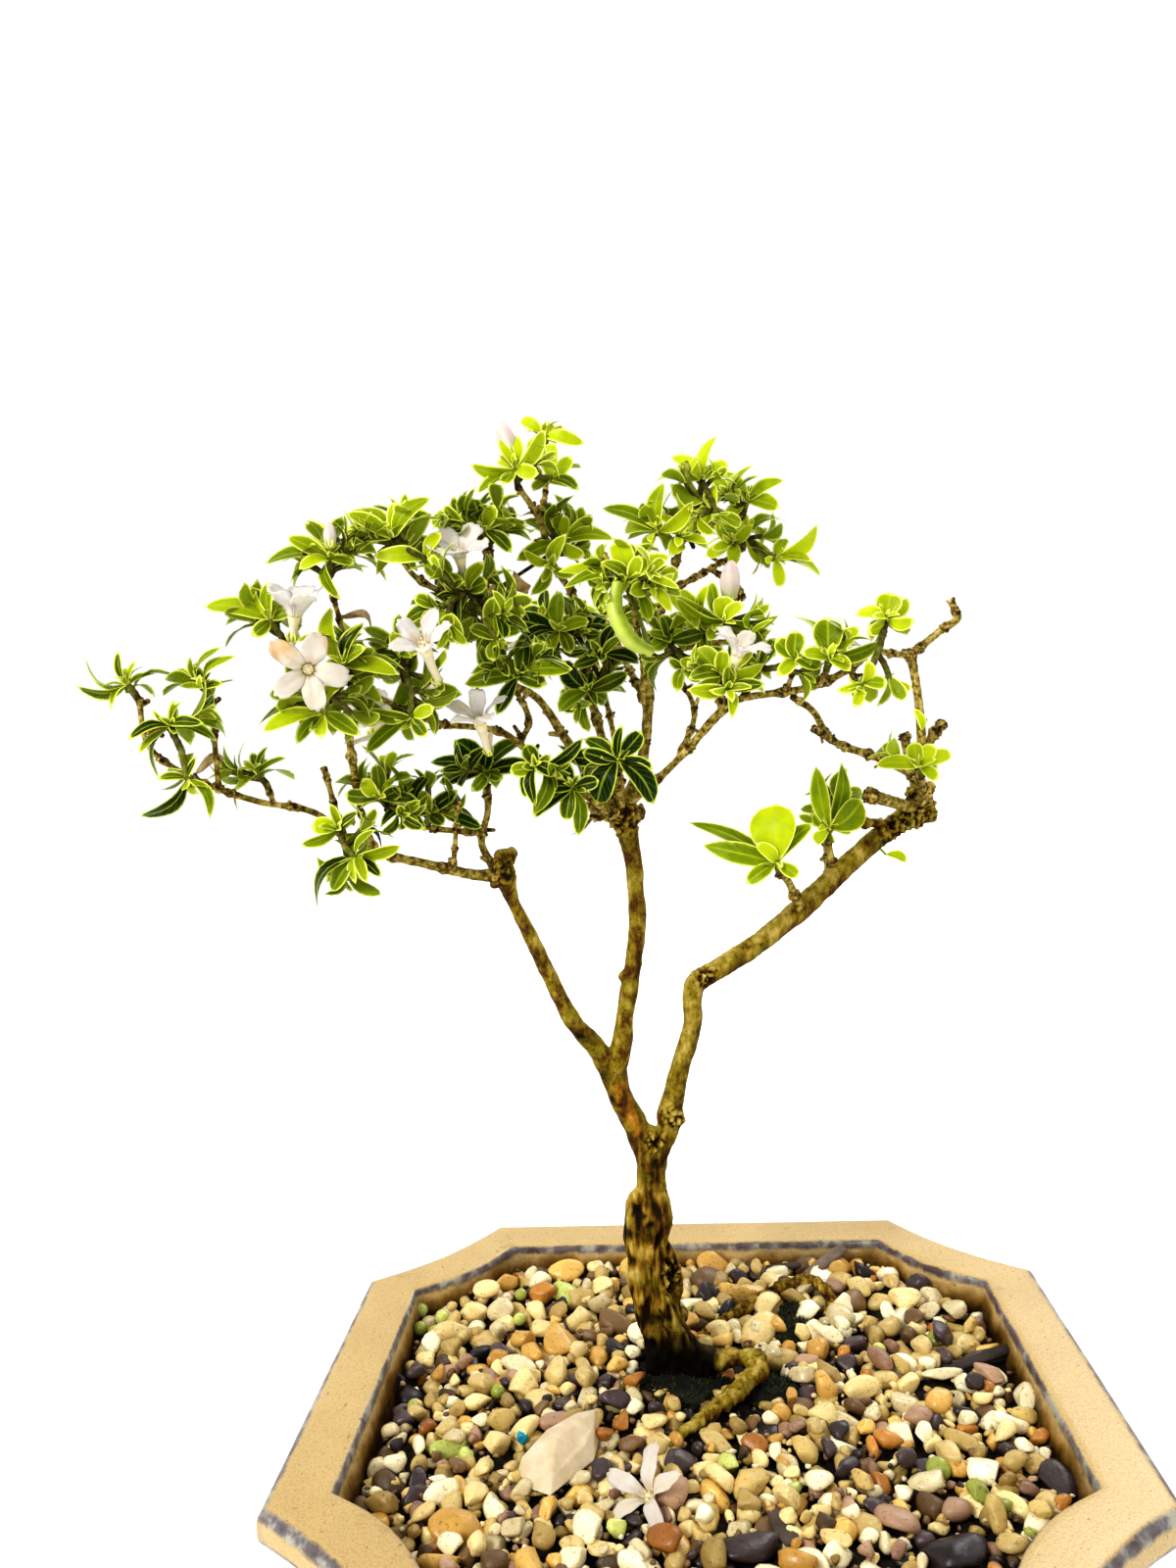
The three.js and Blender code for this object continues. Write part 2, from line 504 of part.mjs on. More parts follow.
const sprays = {
  tip_left: [
    { at: [[-87.5, -35, 188.5], [-88, -36, 190.5]], leaves: [
      [156, 9, 2.2, 10], [188, 7.5, 2.4, 25], [105, 5.5, 2.5, 5], [60, 4.5, 2.2, 20], [130, 5.5, 2.2, -40],
      [30, 4.5, 2.2, -30], [230, 4.5, 2, 30]] },
  ],
  low_left: [
    { at: [[-83.5, -34, 183.5], [-81.5, -36, 183.5]], leaves: [
      [65, 4.5, 2.2, 5], [7, 6, 2.5, 20], [-16, 7.5, 2.4, -10], [188, 6.5, 2, 35], [222, 6.5, 2.2, 30],
      [248, 8.5, 2.5, 15], [120, 4, 2, 40]] },
    { at: [[-81.5, -36, 183.5], [-79, -38, 179], [-78.5, -38, 175]], leaves: [
      [225, 9.5, 2.5, 10], [62, 4, 2, 10], [-51, 7, 2.2, 5], [170, 4.5, 2, 30]] },
  ],
  up_left: [
    { at: [[-78, -27, 188], [-78, -29, 189.5]], leaves: [
      [115, 4.5, 2, -10], [50, 7.5, 2.4, 15], [170, 4, 2, 20], [10, 4.5, 2.2, 35], [85, 3.5, 1.8, 60]] },
  ],
  mid_left: [
    { at: [[-72, -20.5, 173.5], [-72.5, -22.5, 174.5]], leaves: [
      [67, 5, 2.3, 5], [27, 6, 2.4, 10], [215, 4.5, 2.1, 25], [172, 10.5, 2.3, -5], [110, 4.5, 2.3, -30]] },
  ],
  far_left: [
    { at: [[-64.5, -29.5, 197.5], [-65.5, -31, 200]], leaves: [
      [161, 11, 2.6, 5], [132, 6.5, 3.3, -15], [90, 6, 2.6, 10], [230, 4, 2.2, 40], [60, 4.5, 2.2, -20],
      [20, 4, 2, 10]] },
  ],
  high_left: [
    { at: [[-57, -24, 207.5], [-56.5, -25.5, 210]], leaves: [
      [148, 7.5, 2.6, 20], [176, 11, 1.9, 5], [196, 5.5, 2.2, 40], [206, 9.5, 2.2, -10], [62, 4, 2, -40],
      [-12, 4.5, 2, 15], [-82, 7.5, 2, 30], [130, 4.5, 2.8, -35]] },
  ],
  fill_left: [
    { at: [[-55, -29, 190], [-53.5, -32.5, 192]], leaves: [
      [107, 10, 3.3, -5], [65, 7.5, 2.6, 10], [35, 5.5, 2.4, 30], [-8, 9, 2.7, 5], [205, 3.5, 2.9, 50]] },
    { at: [[-53.5, -32.5, 192], [-55.5, -34.5, 188], [-57, -33.5, 184.5]], leaves: [
      [178, 11, 2.7, 0], [192, 10, 2.6, 30], [-31, 7, 2.6, 10], [52, 8, 2.2, 15], [225, 6.5, 2.2, 15],
      [270, 4.5, 2.2, 30]] },
  ],
  sprig_left: [
    { at: [[-46, -22, 191], [-46, -23.5, 193]], leaves: [
      [100, 4.5, 2.6, 5], [165, 4.5, 2.4, 25], [30, 4.5, 2.4, 15], [220, 3.5, 2.2, 45]] },
    { at: [[-46, -23.5, 193], [-44, -27, 188], [-44, -27, 183]], leaves: [
      [170, 7, 2.4, 10], [213, 9.5, 2.6, 10], [20, 4.5, 2.2, 20], [-50, 4.5, 2.2, 30]] },
  ],
  shoulder_left: [
    { at: [[-46.5, -22, 212], [-46, -23.5, 213]], leaves: [
      [146, 8.5, 2.6, 20], [178, 8, 3, 0], [120, 4.5, 2.4, -30], [139, 10, 2.1, -10], [83, 6, 2.4, 5],
      [50, 9, 3.4, 10]] },
    { at: [[-46, -23.5, 213], [-43, -24.5, 210.5], [-41, -22, 209.5]], leaves: [
      [174, 8.5, 2.8, 30], [60, 5, 2.3, 10], [10, 4, 2.1, 30], [-60, 4, 2.1, 15]] },
  ],
  crown_left: [
    { at: [[-32, -10, 213], [-32, -13, 215]], leaves: [
      [158, 10, 2.5, 5], [32, 5.5, 3.3, -5], [-38, 6, 2.5, 10], [95, 5, 2.3, -20], [200, 5, 2.3, 30],
      [60, 5, 2.5, 30]] },
  ],
  inner_left: [
    { at: [[-34.5, -16, 203], [-34.5, -19, 204]], leaves: [
      [146, 5, 2.5, 10], [62, 5.5, 2.5, 15], [20, 4.5, 2.8, 35], [240, 4.5, 2.3, 20]] },
    { at: [[-34.5, -19, 204], [-36.5, -22.5, 202.5], [-39, -23.5, 201]], leaves: [
      [-60, 6.5, 3.4, 10], [197, 6.5, 2.4, 10], [150, 4.5, 2.2, 25], [230, 4.5, 2.2, 35]] },
    { at: [[-34.5, -19, 204], [-31.5, -21, 199], [-30, -20, 195.5]], leaves: [
      [88, 7.5, 3.4, 20], [150, 5, 2.5, 20], [20, 4.5, 2.3, 10], [260, 4, 2.5, 30]] },
  ],
  top_a: [
    { at: [[-26.5, -6.5, 224.5], [-26.5, -8.5, 226]], leaves: [
      [100, 6.5, 4.1, 0], [178, 8, 2.1, 5], [209, 8, 2.1, 15], [235, 4.5, 2.3, 40], [45, 8.5, 2.3, 5],
      [-20, 5, 2.5, 35], [140, 5, 2.3, -35]] },
    { at: [[-26.5, -8.5, 226], [-23.5, -4, 225.5], [-21, 0, 225.5]], leaves: [
      [85, 6.5, 3.9, 10], [41, 5.5, 2.4, 5], [215, 4.5, 2.6, 35], [-20, 6, 2.4, 25]] },
  ],
  top_b: [
    { at: [[-22, 9, 233.5], [-22.5, 9, 235]], leaves: [
      [135, 7, 2.8, 0], [-10, 7.5, 2.6, 10], [60, 4, 2, -20], [200, 5, 2.4, -30], [30, 5, 2.2, -30]] },
  ],
  top_d: [
    { at: [[-21, 5.5, 212], [-19.5, 2.5, 214]], leaves: [
      [80, 5, 2.8, 15], [41, 7, 2.4, 0], [7, 9.5, 2.8, 5], [198, 9.5, 2.8, 25], [230, 5, 2.6, 40],
      [-40, 5, 2.6, 25]] },
  ],
  centre: [
    { at: [[-7, -11, 203.5], [-7, -14, 205]], leaves: [
      [104, 7, 3.8, 5], [168, 12.5, 2.7, 0], [178, 11.5, 2.5, 20], [30, 8, 2.9, 5], [140, 6, 2.3, 35],
      [60, 5, 2.3, 40], [230, 4.5, 2.5, 40]] },
  ],
  right_top: [
    { at: [[2, 17, 213], [-1.5, 9.5, 216]], leaves: [
      [150, 11.5, 2.8, 5], [86, 9.5, 3.4, 0], [30, 8.5, 2.8, 15], [165, 7.5, 3, -20], [8, 7, 3.2, -35],
      [230, 5, 2.6, -35], [-50, 5, 2.6, -40]] },
  ],
  crest: [
    { at: [[7.5, 15.5, 224], [7.5, 14, 226]], leaves: [
      [74, 9, 2.8, 0], [134, 7.5, 2.8, 5], [95, 6, 2.6, -30], [170, 5.5, 2.8, -25], [30, 6, 2.8, 10],
      [60, 6, 2.6, -40]] },
    { at: [[7.5, 14, 226], [9, 11.5, 222], [10, 11.5, 219]], leaves: [
      [99, 7, 3, -25], [-20, 6, 2.6, -25], [210, 5, 2.6, -30]] },
  ],
  fan_right: [
    { at: [[17, 25.5, 221.5], [17, 24.5, 223]], leaves: [
      [125, 8.5, 3.1, 0], [32, 8.5, 2.9, 5], [75, 4.5, 2.3, -30], [-12, 6.5, 3.3, 15], [215, 6, 2.9, -25],
      [60, 6, 2.7, -40]] },
  ],
  fan_low: [
    { at: [[17.5, 36.5, 215.5], [17, 31.5, 217]], leaves: [
      [105, 5, 3.3, 10], [160, 9, 2.7, 0], [30, 9, 2.9, -5], [-48, 8, 3.6, -20]] },
    { at: [[17, 31.5, 217], [20, 29.5, 213.5], [22.5, 27.5, 211.5]], leaves: [
      [28, 11, 3.3, 5], [-2, 7.5, 2.7, 15], [-16, 10.5, 2.3, -5], [-80, 6, 2.5, 10], [60, 6, 2.7, -30]] },
  ],
  side_right: [
    { at: [[9.5, 0, 198], [10, -3, 199]], leaves: [
      [92, 5.5, 4.5, 20], [154, 11, 2.4, 0], [162, 10, 2.4, 25], [-4, 10, 2.7, 5], [105, 8, 2.4, -15],
      [230, 5, 2.4, 30], [40, 5, 2.5, 30]] },
  ],
  under_leaf: [
    { at: [[-1, 5, 192.5], [-0.5, -1, 194.5]], leaves: [
      [60, 5.5, 2.4, 10], [10, 8, 2.8, 15], [95, 5, 2.8, 20], [200, 4.5, 2.6, 45]] },
    { at: [[-0.5, -1, 194.5], [1.5, -3, 191.5], [2, -4, 189.5]], leaves: [
      [-15, 6, 2.5, 20], [23, 8, 2.5, 10], [-45, 4.5, 2.3, 30], [250, 4.5, 2.3, 20]] },
  ],
  branch_a: [
    { at: [[8.5, -9, 186.5], [8.5, -12, 187.5]], leaves: [
      [129, 6.5, 3.8, 5], [174, 6, 2.7, 30], [39, 7.5, 2.5, 0], [7, 7.5, 2.5, 15], [207, 6, 2.1, 15],
      [85, 5, 2.5, 30]] },
  ],
  branch_b: [
    { at: [[15.5, -5, 187.5], [15.5, -8, 188.5]], leaves: [
      [60, 6, 2.5, 5], [96, 8, 2.1, -5], [150, 5, 2.5, 35]] },
    { at: [[15.5, -8, 188.5], [18, -13.5, 188.5], [21, -15.5, 189.5]], leaves: [
      [87, 5, 3.1, 10], [-17, 5, 2.5, 30], [130, 5, 2.9, 15], [215, 4.5, 2.3, 40]] },
  ],
  branch_c: [
    { at: [[26.5, -16, 188], [26.5, -18, 189.5]], leaves: [
      [90, 7, 4.7, 0], [116, 9.5, 2.5, -15], [46, 7.5, 2.8, -5], [12, 9, 2.7, 10], [165, 5, 2.5, 25],
      [-30, 4.5, 2.5, 40]] },
  ],
  branch_end: [
    { at: [[36, -17.5, 194], [36, -19.5, 195.5]], leaves: [
      [80, 4.5, 4, 5], [160, 5, 2.3, 10], [38, 5, 2.5, 0], [-14, 4.5, 2.3, 25], [215, 4.5, 2.3, 35]] },
    { at: [[36, -19.5, 195.5], [33.5, -23.5, 189.5], [31, -23.5, 185]], leaves: [
      [70, 4, 2.4, 25], [250, 4, 2.2, 10], [0, 4, 2.2, 20]] },
  ],
  heart_left: [
    { at: [[-20, 15.5, 196.5], [-21, 3.5, 197.5]], leaves: [
      [163, 11, 4.2, 5], [90, 7.5, 4, 5], [193, 9.5, 2.2, 20], [20, 6, 2.8, 15], [300, 5, 2.6, 30],
      [240, 5, 2.6, 35]] },
  ],
  heart_low: [
    { at: [[-28, -14, 188], [-27, -17.5, 189]], leaves: [
      [75, 6.5, 3.8, 0], [183, 9, 2.8, 15], [9, 9.5, 2.7, 5], [-14, 5.5, 2.8, 30], [239, 7.5, 2.5, 15],
      [130, 5, 2.7, 20]] },
  ],
  heart_mid: [
    { at: [[-15.5, 29, 184], [-16, 16, 185.5], [-16.5, 10.5, 186]], leaves: [
      [132, 7.5, 4.2, 5], [20, 8.5, 3, 5], [207, 7, 3.4, 15], [2, 8.5, 2.6, -25], [-35, 5, 2.4, -30],
      [90, 5, 2.6, -40]] },
    { at: [[-16, 16, 185.5], [-13, 11.5, 190], [-13, 9.5, 193]], leaves: [
      [-12, 8, 3, -25], [95, 5, 2.6, -20], [70, 6, 2.8, 10], [185, 6, 2.6, -30]] },
  ],
  node_front: [
    { at: [[-10.5, -8.5, 172], [-10.5, -11, 173.5]], leaves: [
      [46, 6.5, 3.1, 5], [143, 7, 2.7, 0], [165, 6.5, 2.7, 25], [176, 9.5, 2.9, -10], [238, 8.5, 4.8, 15],
      [-16, 6.5, 2.7, 15], [-46, 10, 4.2, 10], [82, 6.5, 1.9, 20]] },
  ],
  node_left: [
    { at: [[-18.5, -11.5, 167.5], [-18.5, -14.5, 169]], leaves: [
      [114, 6, 2.7, 0], [210, 8.5, 2.7, 10], [255, 6, 2.7, 25], [170, 5, 2.5, 30], [15, 5, 2.5, 20],
      [-82, 8.5, 2.5, 5]] },
  ],
  window: [
    { at: [[-35, -4.5, 170.5], [-35, -8, 172]], leaves: [
      [125, 8, 3.9, 5], [75, 5.5, 3.3, 30], [43, 9.5, 2.9, 0], [161, 10, 2.1, 15], [187, 8.5, 2.5, 10],
      [11, 9, 2.9, 15], [-15, 4.5, 2.3, 40], [240, 4.5, 2.3, 45]] },
  ],
  window_left: [
    { at: [[-52, -17, 167.5], [-52, -19.5, 169]], leaves: [
      [92, 6, 2.6, 0], [125, 4.5, 2.6, 20], [172, 6, 2.6, 10], [22, 4.5, 2.5, 20], [-2, 6.5, 2.1, 0]] },
  ],
  knot_left: [
    { at: [[-44.5, -12, 164], [-44.5, -14.5, 165.5]], leaves: [
      [104, 4.5, 2.7, 20], [38, 6.5, 2.5, 5], [160, 4.5, 2.3, 25], [-30, 4.5, 2.3, 40]] },
  ],
  low_cluster: [
    { at: [[-59, -20, 163], [-58.5, -23.5, 164.5]], leaves: [
      [168, 4.5, 3.4, 20], [40, 4.5, 2.4, 10], [204, 7, 2.4, 10], [100, 4.5, 2.4, 15]] },
    { at: [[-58.5, -23.5, 164.5], [-56.5, -27, 161.5], [-55, -27, 160]], leaves: [
      [233, 7, 3.2, 15], [-34, 6, 2.4, 20], [221, 12, 2.6, 0], [-55, 5.5, 2.4, 40], [9, 8, 2.6, 5],
      [55, 6, 2.4, 15], [268, 4.5, 2.4, 30]] },
  ],
  fork_right: [
    { at: [[18.5, 3, 150], [18, 0, 152]], leaves: [
      [90, 11, 8.3, 0], [163, 14, 3.9, 5], [150, 18, 2.6, -5], [207, 7, 2.8, 25], [50, 10, 2.4, 5],
      [125, 6, 2.6, 35], [-30, 5, 2.6, 30]] },
  ],
  fork_mid: [
    { at: [[31, 23, 153.5], [31, 20, 155.5]], leaves: [
      [101, 13, 3.5, -5], [72, 14, 3.9, -10], [38, 8.5, 5.9, 10], [135, 5, 2.5, -20], [0, 5.5, 2.7, -20],
      [222, 4.5, 2.5, -20], [270, 4.5, 2.5, -40]] },
  ],
  fork_end: [
    { at: [[47, 8.5, 166.5], [46.5, 6.5, 168.5]], leaves: [
      [171, 8, 2.8, 0], [25, 6.5, 2.8, 5], [105, 5, 3, 10], [62, 5, 2.8, 20], [-40, 4.5, 2.4, 40]] },
  ],
  hang: [
    { at: [[-25, -15, 173.5], [-24.5, -18, 173.5]], leaves: [
      [243, 6, 2.3, 5], [262, 7, 2.1, 25], [110, 4.5, 2.7, 30], [190, 4.5, 2.5, 20], [-20, 4.5, 2.3, 40]] },
  ],
  far_side: [
    { at: [[-13.7, 39.4, 200.9], [-14.5, 42, 202.5]], leaves: [
      [100, 7.5, 3.2, -20], [165, 7.5, 3.2, -40], [20, 7.5, 3.2, -40], [215, 6.5, 3, -35],
      [80, 6.5, 3, -70]] },
    { at: [[-14.5, 42, 202.5], [-8.5, 46, 204.5], [-3.5, 48, 207.5]], leaves: [
      [90, 7.5, 3.3, -30], [150, 6.5, 3.1, -20], [10, 9, 3.3, -30], [-40, 6.5, 3.1, -40]] },
    { at: [[-14.5, 42, 202.5], [-21.5, 45, 201.5], [-27, 46, 203.5]], leaves: [
      [100, 7.5, 3.3, -35], [170, 8.5, 3.3, -30], [30, 6.5, 3.1, -25], [220, 6.5, 3.1, -40]] },
  ],
  far_right: [
    { at: [[35.8, 43.3, 156.6], [36.5, 46, 158]], leaves: [
      [80, 8.5, 3.3, -10], [140, 7.5, 3.3, -30], [20, 8.5, 3.3, -30], [-40, 6.5, 3.1, -40],
      [60, 6.5, 3.1, -65]] },
  ],
};

function leafDirection(turn, lean) {
  const a = THREE.MathUtils.degToRad(turn);
  const b = THREE.MathUtils.degToRad(lean);
  return new THREE.Vector3(Math.cos(a) * Math.cos(b), -Math.sin(b), Math.sin(a) * Math.cos(b));
}

// The upper face of a leaf looks up and a little to the front.
function leafFacing(direction) {
  const face = new THREE.Vector3(-direction.x * 0.5, -1, 0.9 - direction.z * 0.6);
  return face.addScaledVector(direction, -face.dot(direction)).normalize();
}

// The crowded leaf bases at the end of a shoot.
function knob(place, radius) {
  const geometry = new THREE.OctahedronGeometry(radius, 0);
  geometry.translate(place.x, place.y, place.z);
  return geometry;
}

function sprayPieces(shoots, extra) {
  const pieces = [];
  for (const shoot of shoots) {
    const end = vector(shoot.at.at(-1));
    const start = shoot === shoots[0] ? nearestWood(shoot.at[0]) : shoot.at[0];
    pieces.push(limb([start, ...shoot.at.slice(1)].map((point) => [...point, shootRadius]), 4, extra));
    pieces.push(knob(end, knobRadius + extra));
    shoot.leaves.forEach(([turn, length, width, lean]) => {
      const direction = leafDirection(turn, lean);
      const rings = width > broadLeaf ? 3 : length < smallLeaf ? 1 : 2;
      const base = end.clone().addScaledVector(direction, 0.1);
      pieces.push(blade(base, direction, leafFacing(direction), length, width, { rings, extra }));
    });
  }
  return pieces;
}

// ---------------------------------------------------------------- flowers and buds

// A trumpet with five spread lobes; `heart` is the throat, `heel` the narrow end of the tube.
const blooms = {
  bloom_left: { heart: [-58, -37, 191.5], heel: [-60, -32, 192.5], radius: 7.2, turn: 8 },
  bloom_left_high: { heart: [-60.5, -33.5, 203.5], heel: [-62.5, -32.5, 198.5], radius: 5.4, turn: 40 },
  bloom_inner: { heart: [-40, -33.5, 195], heel: [-39.5, -25.5, 188.5], radius: 5.6, turn: 20 },
  bloom_crown: { heart: [-35.5, -21, 211], heel: [-35.5, -17.5, 206.5], radius: 6, turn: 0 },
  bloom_right: { heart: [11.5, -17.5, 192.5], heel: [10, -13.5, 189], radius: 5.6, turn: 15 },
  bloom_window: { heart: [-33.5, -24.5, 182.5], heel: [-33.5, -14.5, 177.5], radius: 6.4, turn: 30 },
  bloom_back: { heart: [-30, 17, 195.5], heel: [-27.5, 17, 191], radius: 5.8, turn: 5 },
  bloom_low: { heart: [-54.5, -11, 184], heel: [-53, -18, 180], radius: 5, turn: 25 },
};

function flower({ heart, heel, radius, turn, stem }, extra) {
  const throat = vector(heart);
  const foot = vector(heel);
  const axis = throat.clone().sub(foot).normalize();
  const side = new THREE.Vector3(1, 0, 0).addScaledVector(axis, -axis.x).normalize();
  const across = new THREE.Vector3().crossVectors(axis, side);
  // cross-sections from the heel to the throat: [radius, height above the throat, 1 where it is lobed]
  const rows = [[0.5, 0, 0], [1.3, -1.5, 0], [radius, 0.5, 1], [0.8, -0.5, 0]];
  const sides = petalCount * 3;
  const geometry = new THREE.CylinderGeometry(1, 1, 1, sides, rows.length - 1);
  const position = geometry.attributes.position;
  for (let i = 0; i < position.count; i += 1) {
    const row = Math.round((position.getY(i) + 0.5) * (rows.length - 1));
    const [reach, rise, lobed] = rows[row];
    const angle = Math.atan2(position.getX(i), position.getZ(i));
    const slot = Math.round(angle / (2 * Math.PI) * sides + sides) % 3;
    const notch = lobed && slot === 0 ? 0.4 : 1;
    const onAxis = Math.hypot(position.getX(i), position.getZ(i)) < 0.5;
    const wide = onAxis ? 0 : reach * notch + extra * (1 + lobed);
    const swing = angle + THREE.MathUtils.degToRad(turn);
    const point = (row === 0 ? vector(stem ?? heel) : throat.clone())
      .addScaledVector(axis, rise + (row === 3 ? extra : -extra * (1 - lobed)))
      .addScaledVector(side, wide * Math.sin(swing))
      .addScaledVector(across, -wide * Math.cos(swing));
    position.setXYZ(i, point.x, point.y, point.z);
  }
  return geometry;
}

function bloomPieces(bloom, extra) {
  return [flower({ ...bloom, stem: nearestWood(bloom.heel) }, extra)];
}

const buds = {
  bud_left: { from: [-56, -26.5, 211.5], to: [-56, -26, 216], radius: 1.1 },
  bud_top: { from: [-27, -8.5, 228.5], to: [-29, -6.5, 235], radius: 1.6 },
  bud_right: { from: [11, 1, 201.5], to: [12, 1.5, 209], radius: 1.8 },
};

function budPieces({ from, to, radius }, extra) {
  const axis = vector(to).sub(vector(from));
  const geometry = new THREE.SphereGeometry(1, 7, 5);
  geometry.scale(radius + extra, axis.length() / 2 + extra, radius + extra);
  geometry.applyQuaternion(new THREE.Quaternion().setFromUnitVectors(
    new THREE.Vector3(0, 1, 0), axis.clone().normalize()));
  const middle = vector(from).addScaledVector(axis, 0.5);
  geometry.translate(middle.x, middle.y, middle.z);
  const seat = vector(from).addScaledVector(axis, 0.25).toArray();
  return [geometry, stalk(seat, 0.5, extra)];
}

// The fallen flower lies face up on the stones.
const fallenFlower = { heart: [-10.5, -30, 46.7], heel: [-10.2, -30.3, 44.7], radius: 6.8, turn: 20 };

// A thick leaf rolled into a tube hangs in the crown.
const rolledLeaf = [
  [-9, -19, 203.5, 0.9], [-9.5, -20, 200, 1.5], [-8.5, -21, 197, 1.7], [-7, -20, 194, 1.7],
  [-4.5, -18, 192.5, 1.2],
];

function rolledPieces(extra) {
  return [limb(rolledLeaf, 7, extra), stalk(rolledLeaf.at(-1).slice(0, 3), 0.5, extra)];
}

// ---------------------------------------------------------------- materials

function material(color, roughness) {
  return new THREE.MeshStandardMaterial({ color, roughness, metalness: 0, flatShading: true });
}

const glazeMaterial = material(0xcfa86c, 0.3);
const netMaterial = material(0x202422, 0.7);
const soilMaterial = material(0x2a211a, 0.95);
const gravelMaterial = material(0xcdbfa2, 0.6);
const quartzMaterial = material(0xe9eee6, 0.1);
const barkMaterial = material(0x7b6c3c, 0.85);
const leafMaterial = material(0x6a9c1c, 0.5);
const petalMaterial = material(0xf4efe6, 0.6);
const budMaterial = material(0xe8c9b8, 0.6);
const rolledMaterial = material(0x7fae2c, 0.5);

// ---------------------------------------------------------------- assembly

const bonsai = new THREE.Group();

function addPiece(name, geometry, look) {
  const mesh = new THREE.Mesh(geometry, look);
  mesh.name = name;
  bonsai.add(mesh);
  return mesh;
}

const wood = woodSolid(0);
const woodRoom = woodSolid(gap);

addPiece('pot', toGeometry(potSolid()), glazeMaterial);
const netHeight = floorTop + gap + netThickness / 2;
addPiece('drain_mesh_left', drainMesh(), netMaterial).position.set(-drainX, 0, netHeight);
addPiece('drain_mesh_right', drainMesh(), netMaterial).position.set(drainX, 0, netHeight);
addPiece('soil', largestBody(toGeometry(soilSolid(woodRoom))), soilMaterial);

const restingRoom = join([quartzShard(gap), flower(fallenFlower, gap), flower(fallenFlower, 0)]);
addPiece('gravel', largestBody(toGeometry(gravelSolid(woodRoom.add(restingRoom)))), gravelMaterial);
addPiece('quartz_shard', quartzShard(0), quartzMaterial);
addPiece('fallen_flower', flower(fallenFlower, 0), petalMaterial);
addPiece('wood', toGeometry(wood), barkMaterial);

// Each later piece is cut clear of the wood and of the pieces before it that lie near.
const placed = [];

function addGrown(name, pieces, roomPieces, look) {
  let solid = join(pieces).subtract(woodRoom);
  const reach = new THREE.Box3().setFromBufferAttribute(toGeometry(solid).attributes.position);
  for (const earlier of placed) {
    if (earlier.reach.intersectsBox(reach)) solid = solid.subtract(earlier.room);
  }
  addPiece(name, largestBody(toGeometry(solid)), look);
  placed.push({ room: join(roomPieces).add(solid), reach: reach.expandByScalar(3 * gap) });
}

addGrown('rolled_leaf', rolledPieces(0), rolledPieces(gap), rolledMaterial);
for (const [name, bloom] of Object.entries(blooms)) {
  addGrown(name, bloomPieces(bloom, 0), bloomPieces(bloom, gap), petalMaterial);
}
for (const [name, bud] of Object.entries(buds)) {
  addGrown(name, budPieces(bud, 0), budPieces(bud, gap), budMaterial);
}
for (const [name, shoots] of Object.entries(sprays)) {
  addGrown(`spray_${name}`, sprayPieces(shoots, 0), sprayPieces(shoots, gap), leafMaterial);
}

// Stand the whole thing over the origin.
bonsai.updateMatrixWorld(true);
const box = new THREE.Box3().setFromObject(bonsai, true);
bonsai.position.set(-(box.min.x + box.max.x) / 2, -(box.min.y + box.max.y) / 2, -box.min.z);

export default bonsai;
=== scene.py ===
import math
import random

import bmesh
import bpy
import numpy as np
from mathutils import Matrix, Vector, noise


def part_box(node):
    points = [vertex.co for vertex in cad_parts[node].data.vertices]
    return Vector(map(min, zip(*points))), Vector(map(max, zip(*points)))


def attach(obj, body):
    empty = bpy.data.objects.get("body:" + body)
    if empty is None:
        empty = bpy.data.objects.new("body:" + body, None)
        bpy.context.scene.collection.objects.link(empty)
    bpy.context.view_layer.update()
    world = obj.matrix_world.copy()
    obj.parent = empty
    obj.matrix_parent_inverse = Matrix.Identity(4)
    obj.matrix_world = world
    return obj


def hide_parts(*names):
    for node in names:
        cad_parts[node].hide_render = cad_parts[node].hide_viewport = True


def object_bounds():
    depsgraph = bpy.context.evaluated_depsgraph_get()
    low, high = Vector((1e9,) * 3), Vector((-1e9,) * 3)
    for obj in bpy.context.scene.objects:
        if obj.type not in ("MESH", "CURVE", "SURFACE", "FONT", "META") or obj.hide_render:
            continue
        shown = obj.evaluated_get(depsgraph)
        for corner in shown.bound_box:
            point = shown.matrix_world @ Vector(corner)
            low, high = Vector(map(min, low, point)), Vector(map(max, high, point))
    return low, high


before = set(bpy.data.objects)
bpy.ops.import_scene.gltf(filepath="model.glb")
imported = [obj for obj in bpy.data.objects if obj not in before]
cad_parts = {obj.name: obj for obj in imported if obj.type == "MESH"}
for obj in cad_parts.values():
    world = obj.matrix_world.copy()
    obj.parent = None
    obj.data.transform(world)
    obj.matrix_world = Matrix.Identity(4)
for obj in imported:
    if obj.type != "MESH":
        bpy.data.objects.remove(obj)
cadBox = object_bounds()

# Lengths below are millimetres in the pot's own frame: its middle at x 0, y 0, its feet at z 0.
mm = 0.001
potLow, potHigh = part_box("pot")
potMiddle = ((potLow.x + potHigh.x) / 2, (potLow.y + potHigh.y) / 2, potLow.z)

boxLow, boxHigh = ((np.array(corner) - np.array(potMiddle)) / mm for corner in cadBox)


def insideBox(place, margin=0.4):
    return bool(np.all(place > boxLow + margin) and np.all(place < boxHigh - margin))


print("frame loaded")


# small helpers for meshes

def newSkin():
    return {"points": [], "faces": [], "paint": [], "kinds": [], "count": 0}


def addPart(skin, points, faces, paint, kind=0):
    points = np.asarray(points, float)
    start = skin["count"]
    skin["points"].append(points)
    skin["faces"].extend(tuple(start + corner for corner in face) for face in faces)
    skin["paint"].append(np.broadcast_to(np.asarray(paint, float), (len(points), 4)))
    skin["kinds"].extend([kind] * len(faces))
    skin["count"] += len(points)


